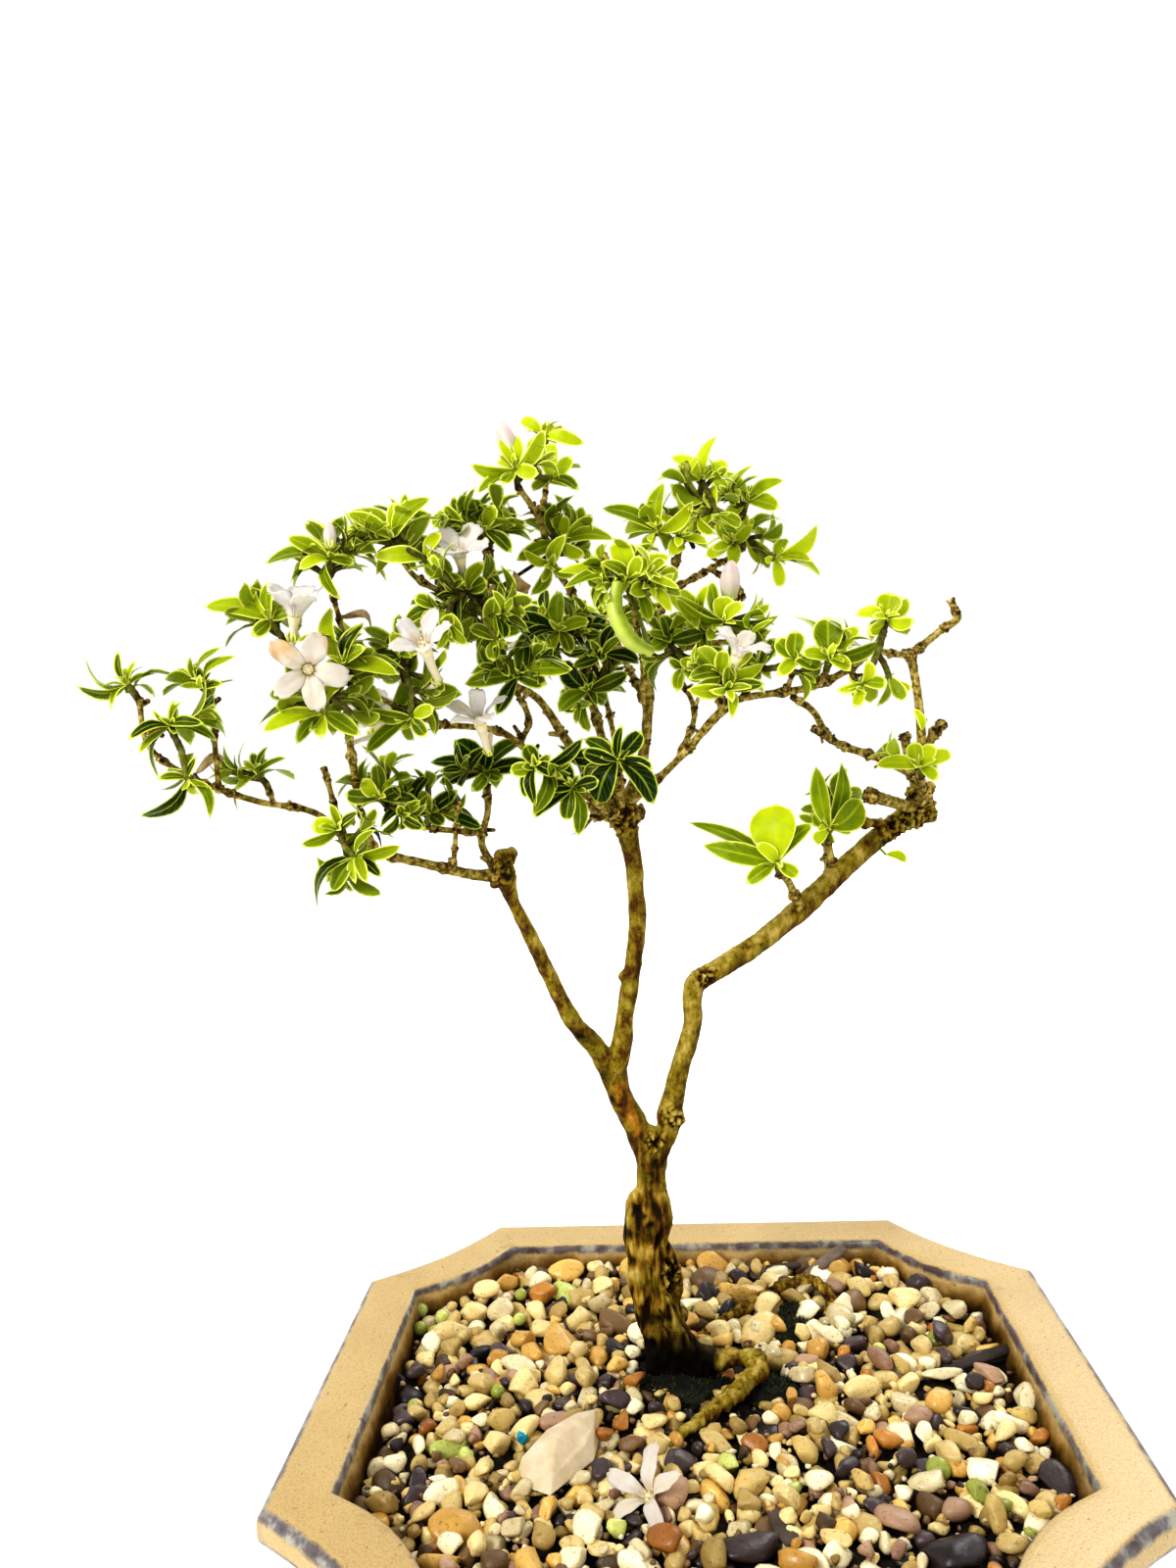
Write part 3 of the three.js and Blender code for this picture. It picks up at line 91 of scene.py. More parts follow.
# The walls between rings of points laid one after another.
def ringFaces(rings, sides):
    faces = []
    for i in range(rings - 1):
        for k in range(sides):
            a, b = i * sides + k, i * sides + (k + 1) % sides
            faces.append((a, b, b + sides, a + sides))
    return faces


# A tube of rings whose two tips stand last among the points.
def tubeFaces(rings, sides):
    faces = ringFaces(rings, sides)
    firstTip, lastTip, lastRing = rings * sides, rings * sides + 1, (rings - 1) * sides
    for k in range(sides):
        after = (k + 1) % sides
        faces += [(firstTip, after, k), (lastTip, lastRing + k, lastRing + after)]
    return faces


# A drum of rings with a flat face at each end.
def drumFaces(rings, sides):
    ends = [tuple(reversed(range(sides))), tuple(range((rings - 1) * sides, rings * sides))]
    return ringFaces(rings, sides) + ends


def paintMesh(mesh, paint):
    colours = mesh.attributes.new("paint", "FLOAT_COLOR", "POINT")
    colours.data.foreach_set("color", paint.astype(np.float32).ravel())
    mesh.polygons.foreach_set("use_smooth", [True] * len(mesh.polygons))
    mesh.update()


def toMesh(name, skin):
    mesh = bpy.data.meshes.new(name)
    points = np.concatenate(skin["points"]) * mm + np.array(potMiddle)
    mesh.from_pydata(points.tolist(), [], skin["faces"])
    mesh.polygons.foreach_set("material_index", skin["kinds"])
    paintMesh(mesh, np.concatenate(skin["paint"]))
    return mesh


def addObject(name, data):
    thing = bpy.data.objects.new(name, data)
    bpy.context.collection.objects.link(thing)
    return thing


def placePiece(name, mesh, finishes, nodes):
    for finish in finishes:
        mesh.materials.append(finish)
    piece = addObject(name, mesh)
    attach(piece, "root")
    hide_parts(*nodes)


def placeSkin(name, skin, finishes, nodes):
    placePiece(name, toMesh(name, skin), finishes, nodes)


def addModifier(piece, kind, **settings):
    modifier = piece.modifiers.new(kind.lower(), kind)
    for key, value in settings.items():
        setattr(modifier, key, value)


def applyModifiers(piece):
    evaluated = piece.evaluated_get(bpy.context.evaluated_depsgraph_get())
    mesh = bpy.data.meshes.new_from_object(evaluated)
    bpy.data.objects.remove(piece)
    return mesh


def unit(v):
    v = np.asarray(v, float)
    return v / max(np.linalg.norm(v), 1e-9)


def squareTo(v, axis):
    return unit(v - axis * np.dot(v, axis))


# The direction at a turn round an axis, from two directions square to it.
def around(side, across, turn):
    return side * math.cos(turn) + across * math.sin(turn)


def anyWay(chance):
    return [chance.gauss(0, 1) for _ in range(3)]


def smoothStep(low, high, value):
    t = np.clip((value - low) / (high - low), 0, 1)
    return t * t * (3 - 2 * t)


def wobble(point, scale, seed=0.0):
    return noise.noise(Vector(point) / scale + Vector((seed, seed * 1.7, -seed)))


# A smooth curve through [x, y, z, radius] points, in steps of about stepLength.
def smoothRoute(route, stepLength):
    points = [np.array(p, float) for p in route]
    points = [2 * points[0] - points[1]] + points + [2 * points[-1] - points[-2]]
    out = []
    for i in range(1, len(points) - 2):
        p0, p1, p2, p3 = points[i - 1:i + 3]
        t1 = np.linalg.norm((p1 - p0)[:3]) ** 0.5
        t2 = t1 + np.linalg.norm((p2 - p1)[:3]) ** 0.5
        t3 = t2 + np.linalg.norm((p3 - p2)[:3]) ** 0.5
        steps = max(1, int(round(np.linalg.norm((p2 - p1)[:3]) / stepLength)))
        for k in range(steps):
            t = t1 + (t2 - t1) * k / steps
            a1 = p0 * (t1 - t) / t1 + p1 * t / t1
            a2 = p1 * (t2 - t) / (t2 - t1) + p2 * (t - t1) / (t2 - t1)
            a3 = p2 * (t3 - t) / (t3 - t2) + p3 * (t - t2) / (t3 - t2)
            b1 = a1 * (t2 - t) / t2 + a2 * t / t2
            b2 = a2 * (t3 - t) / (t3 - t1) + a3 * (t - t1) / (t3 - t1)
            place = b1 * (t2 - t) / (t2 - t1) + b2 * (t - t1) / (t2 - t1)
            place[3] = p1[3] + (p2[3] - p1[3]) * smoothStep(0, 1, k / steps)
            out.append(place)
    out.append(points[-2])
    return np.array(out)


tipBulge = 0.6  # how far the ends of a limb stand out, in radii


# A round limb with domed ends; swell(place, turn, share) scales the radius.
def addLimb(skin, path, sides, paint, swell=None, kind=0):
    places = path[:, :3]
    along = np.gradient(places, axis=0)
    side = squareTo(np.array([0.3, 1.0, 0.1]), unit(along[0]))
    rings = []
    for i, place in enumerate(places):
        ahead = unit(along[i])
        side = squareTo(side, ahead)
        across = np.cross(ahead, side)
        for k in range(sides):
            turn = 2 * math.pi * k / sides
            outward = around(side, across, turn)
            radius = path[i][3]
            if swell:
                radius *= swell(place + outward * radius, turn, i / (len(places) - 1))
            rings.append(place + outward * radius)
    startTip = places[0] - unit(along[0]) * path[0][3] * tipBulge
    endTip = places[-1] + unit(along[-1]) * path[-1][3] * tipBulge
    addPart(skin, np.array(rings + [startTip, endTip]), tubeFaces(len(places), sides), paint, kind)


# The paint of a limb, row by row, with the first and last values again for its two tips.
def withTips(paint):
    return np.array(paint + paint[:1] + paint[-1:])


# The two faces and the rim of a thin sheet, from its grid of (steps + 1) rows laid twice.
def sheetFaces(steps, across, flip=False):
    row, sheet = across + 1, (steps + 1) * (across + 1)
    faces = []
    for i in range(steps):
        for j in range(across):
            a = i * row + j
            faces.append((a, a + row, a + row + 1, a + 1))
            faces.append((sheet + a, sheet + a + 1, sheet + a + row + 1, sheet + a + row))
    border = list(range(row)) + [i * row + across for i in range(1, steps + 1)]
    border += [steps * row + j for j in range(across - 1, -1, -1)]
    border += [i * row for i in range(steps - 1, 0, -1)]
    for k, a in enumerate(border):
        b = border[(k + 1) % len(border)]
        faces.append((a, b, sheet + b, sheet + a))
    return [face[::-1] for face in faces] if flip else faces


# A short limb by way of its middle: a stalk, stamen or spur.
def addStalk(skin, start, end, radii, sides, paint, kind=0, swell=None, stepLength=None):
    start, end = np.array(start, float), np.array(end, float)
    path = np.array([[*start, radii[0]], [*((start + end) / 2), radii[1]], [*end, radii[2]]])
    if stepLength:
        path = smoothRoute(path, stepLength)
    addLimb(skin, path, sides, paint, swell, kind)


# small helpers for finishes; they all work on the finish that newFinish started last

tree = {}


def newFinish(name, roughness=0.5, specular=0.5):
    finish = bpy.data.materials.new(name)
    finish.use_nodes = True
    tree["nodes"], tree["links"] = finish.node_tree.nodes, finish.node_tree.links
    shader = tree["nodes"]["Principled BSDF"]
    shader.inputs["Roughness"].default_value = roughness
    shader.inputs["Specular IOR Level"].default_value = specular
    return finish, shader


def setGlow(shader, weight, depth, spread=(1, 0.2, 0.1)):
    shader.inputs["Subsurface Weight"].default_value = weight
    shader.inputs["Subsurface Radius"].default_value = spread
    shader.inputs["Subsurface Scale"].default_value = depth * mm


def addNode(kind, **settings):
    node = tree["nodes"].new(kind)
    for key, value in settings.items():
        if key in node.inputs.keys():
            node.inputs[key].default_value = value
        else:
            setattr(node, key, value)
    return node


def feed(socket, value):
    if isinstance(value, bpy.types.NodeSocket):
        tree["links"].new(value, socket)
    else:
        socket.default_value = (*value, 1) if isinstance(value, tuple) else value


def noiseOf(scale, detail=4.0, stretch=(1, 1, 1), rough=0.55):
    place = addNode("ShaderNodeTexCoord")
    mapping = addNode("ShaderNodeMapping", Scale=stretch)
    texture = addNode("ShaderNodeTexNoise", Scale=scale, Detail=detail, Roughness=rough)
    feed(mapping.inputs["Vector"], place.outputs["Object"])
    feed(texture.inputs["Vector"], mapping.outputs["Vector"])
    return texture.outputs["Fac"]


def rampOf(value, stops):
    ramp = addNode("ShaderNodeValToRGB")
    while len(ramp.color_ramp.elements) < len(stops):
        ramp.color_ramp.elements.new(0.5)
    for element, (place, colour) in zip(ramp.color_ramp.elements, stops):
        element.position = place
        element.color = (*colour, 1)
    feed(ramp.inputs["Fac"], value)
    return ramp.outputs["Color"]


def shadesOf(value, dark, light):
    return rampOf(value, [(0.3, dark), (0.7, light)])


# Black on the empty side and white on the full side, whichever of the two is higher.
def maskOf(value, empty, full, most=1):
    return rampOf(value, sorted([(empty, (0, 0, 0)), (full, (most, most, most))]))


def mixOf(share, first, second, blend="MIX"):
    mix = addNode("ShaderNodeMix", data_type="RGBA", blend_type=blend)
    for socket, value in ((0, share), (6, first), (7, second)):
        feed(mix.inputs[socket], value)
    return mix.outputs[2]


def mathOf(operation, first, second):
    node = addNode("ShaderNodeMath", operation=operation)
    feed(node.inputs[0], first)
    feed(node.inputs[1], second)
    return node.outputs[0]


def plus(first, second):
    return mathOf("ADD", first, second)


def times(first, second):
    return mathOf("MULTIPLY", first, second)


# The value pushed up and down by a texture.
def ruffled(value, texture, amount):
    return plus(value, times(plus(texture, -0.5), amount))


def bumpOf(shader, height, strength, depth):
    bump = addNode("ShaderNodeBump", Strength=strength, Distance=depth * mm)
    feed(bump.inputs["Height"], height)
    feed(shader.inputs["Normal"], bump.outputs["Normal"])


def setColour(shader, value):
    feed(shader.inputs["Base Color"], value)


# The four values painted on each corner of a mesh.
def paintOf():
    attribute = addNode("ShaderNodeAttribute", attribute_name="paint")
    parts = addNode("ShaderNodeSeparateColor")
    feed(parts.inputs["Color"], attribute.outputs["Color"])
    return parts.outputs["Red"], parts.outputs["Green"], parts.outputs["Blue"], attribute.outputs["Alpha"]


# camera, floor and light

# place and lens in millimetres, turns in degrees, clip in metres
cameraSettings = {"place": (-2.63, -221.9, 185.9), "yaw": 3.64, "pitch": -4.49, "roll": -2.75,
                  "lens": 27.05, "sensor": 36, "clip": (0.01, 50)}


def setCamera():
    yaw, pitch, roll = (math.radians(cameraSettings[key]) for key in ("yaw", "pitch", "roll"))
    ahead = Vector((-math.sin(yaw) * math.cos(pitch), math.cos(yaw) * math.cos(pitch), math.sin(pitch)))
    level = ahead.cross(Vector((0, 0, 1))).normalized()
    upright = level.cross(ahead)
    right, up = around(level, upright, roll), around(upright, -level, roll)
    lensData = bpy.data.cameras.new("camera")
    lensData.lens = cameraSettings["lens"]
    lensData.sensor_width = cameraSettings["sensor"]
    lensData.clip_start, lensData.clip_end = cameraSettings["clip"]
    camera = addObject("camera", lensData)
    place = Vector(cameraSettings["place"]) * mm + Vector(potMiddle)
    turn = Matrix((right, up, -ahead)).transposed()
    camera.matrix_world = Matrix.Translation(place) @ turn.to_4x4()
    bpy.context.scene.camera = camera


# lengths in metres; each lamp is a disk with place, width and power
studio = {
    "floorRadius": 12.0, "floorSides": 96, "floorColour": (1, 1, 1), "sky": (1, 1, 1), "skyStrength": 0.7,
    "look": "High Contrast", "aim": (0, 0, 0.12),
    "lamps": {"keyLamp": ((-0.75, -0.9, 0.95), 0.5, 10), "backLamp": ((0.6, 0.9, 1.0), 0.7, 5)},
}


def addLamp(name, place, size, power):
    data = bpy.data.lights.new(name, "AREA")
    data.shape = "DISK"
    data.size = size
    data.energy = power
    lamp = addObject(name, data)
    lamp.location = place
    lamp.rotation_euler = (Vector(studio["aim"]) - Vector(place)).to_track_quat("-Z", "Y").to_euler()


def setStudio():
    floorFinish, floorShader = newFinish("paleFloor", 0.9)
    floorShader.inputs["Base Color"].default_value = (*studio["floorColour"], 1)
    radius, sides = studio["floorRadius"], studio["floorSides"]
    turns = [2 * math.pi * k / sides for k in range(sides)]
    rim = [(radius * math.cos(turn), radius * math.sin(turn), 0) for turn in turns]
    mesh = bpy.data.meshes.new("floor")
    mesh.from_pydata(rim, [], [tuple(range(sides))])
    mesh.materials.append(floorFinish)
    floor = addObject("floor", mesh)

    world = bpy.data.worlds.new("softSky")
    world.use_nodes = True
    sky = world.node_tree.nodes["Background"]
    sky.inputs["Color"].default_value = (*studio["sky"], 1)
    sky.inputs["Strength"].default_value = studio["skyStrength"]
    bpy.context.scene.world = world
    bpy.context.scene.view_settings.view_transform = "Standard"
    bpy.context.scene.view_settings.look = studio["look"]
    for name, (place, size, power) in studio["lamps"].items():
        addLamp(name, place, size, power)


setCamera()
setStudio()
print("camera and studio set")


# pot

potSize = {
    "halfWidth": 76, "halfDepth": 66, "cornerCut": 27, "cornerSag": 2.4, "height": 52, "footHeight": 6,
    "floorTop": 12, "rimWidth": 12.5, "lipDepth": 6.5, "wallInsetTop": 6, "wallInsetFoot": 13,
    "drainRadius": 6, "drainX": 26, "footX": 44, "footY": 34, "footLength": 28, "footWidth": 12,
    "footSoftness": 1.2, "footOverlap": 1.5, "uneven": 0.12,
    "shrink": 0.998,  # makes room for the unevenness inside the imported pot
}

glaze = {
    "dark": (0.515, 0.365, 0.152), "light": (0.585, 0.435, 0.205), "speck": (0.30, 0.185, 0.08),
    "break": (0.06, 0.038, 0.055), "breakGrey": (0.14, 0.13, 0.15), "breakPale": (0.38, 0.37, 0.31),
    # the two stain colours are painted shade on the inner wall, darkest at the dressing
    "stain": (0.44, 0.34, 0.15), "wallShadeDeep": (0.10, 0.07, 0.03),
    "mottle": [(0.36, (0.62, 0.50, 0.36)), (0.5, (1, 1, 1)), (0.66, (1.18, 1.16, 1.08))],
    "shine": (0.28, 0.42),  # roughness, from the smoothest to the roughest cloud of glaze
    "damp": (52.2, 45),  # heights between which the inner wall is painted darker, as painted shade
}


# Cut-corner rectangle, moved in by inset; each cut corner bows inwards a little.
def potOutline(inset, cornerSteps=10, sideSteps=6):
    halfWidth, halfDepth = potSize["halfWidth"] - inset, potSize["halfDepth"] - inset
    cut = potSize["cornerCut"] - inset * (2 - math.sqrt(2))
    corner = []
    for i in range(cornerSteps + 1):
        t = i / cornerSteps
        sag = potSize["cornerSag"] * math.sin(math.pi * t) / math.sqrt(2)
        corner.append((halfWidth - cut * t - sag, halfDepth - cut * (1 - t) - sag))
    quarters = [corner, [(-x, y) for x, y in reversed(corner)],
                [(-x, -y) for x, y in corner], [(x, -y) for x, y in reversed(corner)]]
    outline = []
    for i, quarter in enumerate(quarters):
        outline += quarter
        start, end = np.array(quarter[-1]), np.array(quarters[(i + 1) % 4][0])
        outline += [tuple(start + (end - start) * k / sideSteps) for k in range(1, sideSteps)]
    return outline


def innerInset(height):
    share = (height - potSize["floorTop"]) / (potSize["height"] - potSize["floorTop"])
    return potSize["rimWidth"] + 5.5 * (1 - share)


# Side profile as [inset, height, how much the glaze breaks there], from the middle of the base
# over the lip and down to the middle of the floor.
def potProfile():
    top, lip = potSize["height"], potSize["lipDepth"]
    foot, inset = potSize["footHeight"], potSize["wallInsetFoot"]
    profile = [(inset + 26, foot - 0.6, 0), (inset + 4, foot - 0.6, 0), (inset + 2, foot - 0.5, 0.4),
               (inset + 0.6, foot + 0.3, 0.8), (inset, foot + 1.4, 0.5), (inset - 1.3, foot + 5, 0),
               (inset - 4, foot + 14, 0)]
    wallFoot, wallTop = foot + 14, top - lip - 1
    for k in range(1, 8):
        t = k / 8
        profile.append((inset - 4 + (potSize["wallInsetTop"] - inset + 4) * t - 0.7 * math.sin(math.pi * t),
                        wallFoot + (wallTop - wallFoot) * t, 0))
    profile += [(potSize["wallInsetTop"] - 0.1, wallTop - 0.6, 0.1),
                (potSize["wallInsetTop"] - 0.5, wallTop + 0.3, 0.5),
                (4, top - lip - 0.2, 0.3), (1.4, top - lip + 0.05, 0.9), (0.5, top - lip + 0.4, 1),
                (0.1, top - lip + 1.1, 0.8), (0, top - lip + 2, 0.1), (0, top - 3, 0.1),
                (0.05, top - 2, 0.5), (0.3, top - 1.2, 0.9), (0.8, top - 0.55, 1), (1.5, top - 0.15, 0.6),
                (2.4, top, 0.12), (4.5, top, 0), (8, top, 0)]
    rim = potSize["rimWidth"]
    profile += [(rim - 2.2, top, 0), (rim - 1.3, top - 0.08, 0.15), (rim - 0.8, top - 0.3, 0.6),
                (rim - 0.45, top - 0.75, 0.95), (rim - 0.3, top - 1.5, 0.85), (rim - 0.1, top - 2.6, 0.3)]
    for height in (top - 6, top - 14, 28, 20, potSize["floorTop"] + 3):
        profile.append((innerInset(height), height, 0))
    profile += [(innerInset(potSize["floorTop"] + 1) + 0.6, potSize["floorTop"] + 0.8, 0),
                (innerInset(potSize["floorTop"]) + 2, potSize["floorTop"], 0),
                (inset + 26, potSize["floorTop"], 0)]
    return profile


def makeGlaze():
    finish, shader = newFinish("speckledGlaze", 0.32)
    breakHere, damp, _, _ = paintOf()
    cloud = noiseOf(45, 3)
    body = shadesOf(cloud, glaze["dark"], glaze["light"])
    mottle = rampOf(noiseOf(2600, 2), glaze["mottle"])
    body = mixOf(0.4, body, mottle, "MULTIPLY")
    body = mixOf(maskOf(noiseOf(900, 2), 0.31, 0.27), body, glaze["speck"])
    # along the edges the glaze breaks to a dark line
    broken = maskOf(ruffled(breakHere, noiseOf(240, 5, rough=0.7), 1.2), 0.42, 0.80, 0.92)
    edgeTints = [(0.36, glaze["break"]), (0.5, glaze["breakGrey"]), (0.62, glaze["breakPale"])]
    streak = rampOf(noiseOf(260, 5), edgeTints)
    body = mixOf(broken, body, streak)
    # painted shade: the inner wall darkens to brown down towards the dressing, in the recess under the rim
    wallShadeTints = [(0.22, (1, 1, 1)), (0.6, glaze["stain"]), (0.95, glaze["wallShadeDeep"])]
    stain = rampOf(ruffled(damp, noiseOf(130, 5), 1.6), wallShadeTints)
    setColour(shader, mixOf(1.0, body, stain, "MULTIPLY"))
    smooth, rough = glaze["shine"]
    feed(shader.inputs["Roughness"], shadesOf(cloud, (smooth,) * 3, (rough,) * 3))
    bumpOf(shader, noiseOf(1500, 2), 0.25, 0.25)
    return finish


# A block with rounded edges, turned about its upright axis.
def addBlock(skin, middle, size, turn, softness):
    half = np.array(size) / 2
    points = []
    rows = [(-1, 1), (-1, 0), (1, 0), (1, 1)]  # lower or upper end, and 1 where the row is drawn in
    for end, inner in rows:
        for cornerX, cornerY in ((1, 1), (-1, 1), (-1, -1), (1, -1)):
            for k in range(4):
                angle = math.atan2(cornerY, cornerX) - math.pi / 4 + math.pi / 2 * k / 3
                cut = softness * (1 - inner * 0.6)
                x = cornerX * (half[0] - softness) + cut * math.cos(angle)
                y = cornerY * (half[1] - softness) + cut * math.sin(angle)
                z = end * (half[2] - (0 if inner else softness * 0.7))
                points.append((x, y, z))
    spin = Matrix.Rotation(turn, 3, "Z")
    points = [np.array(middle) + np.array(spin @ Vector(p)) for p in points]
    addPart(skin, points, drumFaces(len(rows), 16), (0.3, 0, 0, 1))


def makePot():
    profile = potProfile()
    skin = newSkin()
    count = len(potOutline(0))
    points, paint = [], []
    rimNumber = max(i for i, row in enumerate(profile) if row[1] == potSize["height"])
    for number, (inset, height, glazeBreak) in enumerate(profile):
        for x, y in potOutline(inset):
            uneven = potSize["uneven"] * noise.noise(Vector((x, y, height)) / 22)
            rise = 0.25 * uneven if height > 40 else 0
            points.append((x * potSize["shrink"] + uneven, y * potSize["shrink"] + uneven, height + rise))
            # painted shade down the inner wall, below the rim
            damp = float(smoothStep(*glaze["damp"], height)) if number > rimNumber else 0
            paint.append((glazeBreak, damp, 0, 1))
    points += [(0, 0, profile[0][1]), (0, 0, profile[-1][1])]
    paint += [(0, 0, 0, 1)] * 2
    addPart(skin, points, tubeFaces(len(profile), count), np.array(paint))
    shell = addObject("potShell", toMesh("potShell", skin))

    # feet and drain holes
    feet = newSkin()
    footTop = potSize["footHeight"] + potSize["footOverlap"]
    footBlock = (potSize["footLength"], potSize["footWidth"], footTop)
    for right in (-1, 1):
        for back in (-1, 1):
            middle = (right * potSize["footX"], back * potSize["footY"], footTop / 2)
            addBlock(feet, middle, footBlock, -right * back * math.pi / 4, potSize["footSoftness"])
    footObject = addObject("potFeet", toMesh("potFeet", feet))
    holes = newSkin()
    for x in (-potSize["drainX"], potSize["drainX"]):
        radius = potSize["drainRadius"]
        path = np.array([(x, 0, z, radius) for z in (-4, 5, 10, 24)], float)
        addLimb(holes, path, 32, (0.5, 0, 0, 1))
    holeObject = addObject("potHoles", toMesh("potHoles", holes))
    for tool, operation in ((footObject, "UNION"), (holeObject, "DIFFERENCE")):
        addModifier(shell, "BOOLEAN", object=tool, operation=operation, solver="EXACT")
    mesh = applyModifiers(shell)
    for tool in (footObject, holeObject):
        bpy.data.objects.remove(tool)
    mesh.materials.clear()
    placePiece("glazedPot", mesh, [makeGlaze()], ["pot"])


makePot()
print("pot glazed")


# netting over the drain holes and the compost keep their solids and get finishes

def dressSolid(node, finish):
    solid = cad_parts[node]
    solid.data.materials.clear()
    solid.data.materials.append(finish)


nettingColours = {"dark": (0.008, 0.01, 0.009), "light": (0.03, 0.034, 0.03)}


def makeNetting():
    finish, shader = newFinish("blackNetting", 0.6)
    setColour(shader, shadesOf(noiseOf(900), nettingColours["dark"], nettingColours["light"]))
    return finish


soilColours = {"deep": (0.006, 0.004, 0.003), "damp": (0.022, 0.014, 0.008), "fibre": (0.09, 0.05, 0.02)}


def makeCompost():
    finish, shader = newFinish("dampCompost", 0.75)
    crumb = noiseOf(700, 6, rough=0.7)
    tints = [(0.3, soilColours["deep"]), (0.55, soilColours["damp"]), (0.72, soilColours["fibre"])]
    setColour(shader, rampOf(crumb, tints))
    bumpOf(shader, crumb, 0.9, 0.8)
    return finish


netting, compost = makeNetting(), makeCompost()
for node in ("drain_mesh_left", "drain_mesh_right"):
    dressSolid(node, netting)
dressSolid("soil", compost)


# pebble dressing

# the dressing's surface: heaped round the trunk, rising between two depths towards the back
ground = {"level": 44.8, "heap": 2.2, "heapPlace": (-5, 10), "heapSpread": 500, "backRise": 2.0,
          "riseFrom": (26, 48), "underside": 41.85, "highest": 50.4}

stoneKinds = {
    # kind: share, dark and light colour, roughness, inner glow
    "cream": (0.28, (0.44, 0.31, 0.10), (0.90, 0.73, 0.36), 0.36, 0.15),
    "milky": (0.21, (0.54, 0.44, 0.24), (0.96, 0.87, 0.60), 0.22, 0.3),
    "buff": (0.17, (0.26, 0.17, 0.045), (0.64, 0.47, 0.17), 0.45, 0.05),
    "honey": (0.09, (0.46, 0.25, 0.05), (0.84, 0.56, 0.17), 0.3, 0.15),
    "orange": (0.018, (0.26, 0.095, 0.016), (0.60, 0.29, 0.06), 0.35, 0.08),
    "rosy": (0.06, (0.22, 0.12, 0.07), (0.56, 0.37, 0.24), 0.45, 0.03),
    "brown": (0.08, (0.05, 0.027, 0.010), (0.23, 0.135, 0.055), 0.45, 0.0),
    "slate": (0.085, (0.010, 0.007, 0.007), (0.105, 0.072, 0.070), 0.36, 0.0),
    "leek": (0.010, (0.26, 0.29, 0.04), (0.60, 0.64, 0.20), 0.25, 0.25),
}

placedStones = {
    # kind: [x, y, length, width, height, turn, lift], laid one by one
    "slate": [(6.9, -40.2, 12, 8, 4, 0.5, 1.2), (38.7, -41.4, 15, 9, 4.5, 0.1, 1.4),
              (60, -24, 10, 7, 4, 1.2, 1.2), (-5, -19, 7.2, 5.2, 3.6, 0.3, 1.5),
              (28.1, -30.5, 7, 5, 3.4, 1.0, 1.2), (-47, 18, 7, 5, 4, 0.9, 0.6), (-64, 9, 8, 7, 4, 0.2, 0),
              (-60, 4, 6.5, 6, 4, 0.7, 0.4), (33, 20, 6.5, 5, 4, 0.4, 1.0),
              (57.8, 13.1, 15, 3.4, 2.2, 0.35, 1.6), (30, 12, 5.5, 4.5, 3.4, 1.0, 1.2),
              (-52, -22, 5, 4, 3, 2, 1)],
    "rosy": [(31.5, -34, 8, 6, 4, 2.4, 1.6), (41, -31, 6, 5, 4, 0.8, 1.6), (22, 13, 7, 4.4, 3.6, 0.3, 1.2)],
    "honey": [(-42, -35, 10, 7, 4.4, 0.1, 1.2), (4.2, 50.5, 8, 7, 5.2, 0.2, 1.4),
              (33.5, 47, 8, 7, 5.4, 0.5, 1.6), (-31, 47.5, 8.6, 6, 4.6, 0.5, 1.4),
              (-44.5, 44.5, 6.5, 4.4, 4.4, 0.5, 1.2), (24.9, 16.1, 6.4, 5.2, 5, 1.3, 2)],
    "orange": [(29.8, 14.9, 3.8, 3.6, 3.2, 0, 1.8), (9.0, -14.5, 5, 4, 3.4, 0.4, 1.4),
               (-15.5, -8.5, 5.6, 4, 3.6, 1.2, 1.2), (-53, -8, 4.4, 3.6, 3.6, 1.3, 1.4),
               (33, -13, 5.6, 3.8, 3.2, 2.8, 1.4), (61, -12, 4.6, 4.2, 3.4, 0.6, 1.4)],
    "buff": [(-27.6, -37.9, 6.4, 4.6, 5, 1.9, 1.8), (18, -17, 7, 5.6, 4.6, 1.7, 1.6),
             (-52.5, -19.5, 5.4, 3.4, 4, 1.5, 1.2), (47, -13, 6.5, 4.4, 4, 2.4, 1.2)],
    "milky": [(-22, -43, 6.5, 4.4, 4.4, 0.8, 2), (61.9, -1.3, 7.2, 6.4, 5, 0.3, 2),
              (48.3, -21.8, 8, 5.2, 4.2, 2.9, 2), (38.8, -25.5, 8.2, 5, 4, 0.15, 2.2),
              (47, 6, 9.5, 2.4, 2.2, -0.1, 2.2), (38, -1, 7, 5.4, 4.4, 2.4, 1.6),
              (57, -8, 7.6, 4.6, 4, 0.1, 1.4), (-53.5, -14, 2.8, 6, 3, 0.2, 1.6)],
    "cream": [(-39, -14, 7.4, 6.8, 4.8, 0.9, 1.8), (-29, -19.5, 5.6, 5, 3.6, 0.3, 1.2),
              (-50, 33, 6.2, 5.4, 4.6, 0.2, 1.4), (31, 2, 8, 5, 4.6, 0.2, 1.8),
              (41, 5, 6, 5.4, 4, 1.2, 1.6)],
    "leek": [(-63, 33.5, 3.6, 3.6, 3.5, 0, 1.8), (-57.4, 30.6, 3.6, 3.6, 3.5, 0, 1.9),
             (-61.4, 26.4, 3.2, 3.2, 3.2, 0, 2), (-58, 24.9, 3.2, 3.2, 3.1, 0, 1.9),
             (-40.4, 38.6, 3, 3, 2.9, 0, 1.8), (-39.7, 29.3, 3, 3, 2.9, 0, 1.9),
             (-40.8, 2.1, 3.1, 3.1, 3, 0, 2), (-57.3, -1.6, 2.6, 2.6, 2.5, 0, 1.5),
             (3.8, -20.0, 4.4, 6, 4, 0.3, 1.6), (37, 15.5, 3.4, 3, 3, 0, 2),
             (40.5, -21.5, 5, 4, 3.6, 0.2, 1.4), (-15.5, -36.5, 4, 3.6, 3.4, 0.3, 1.8)],
}

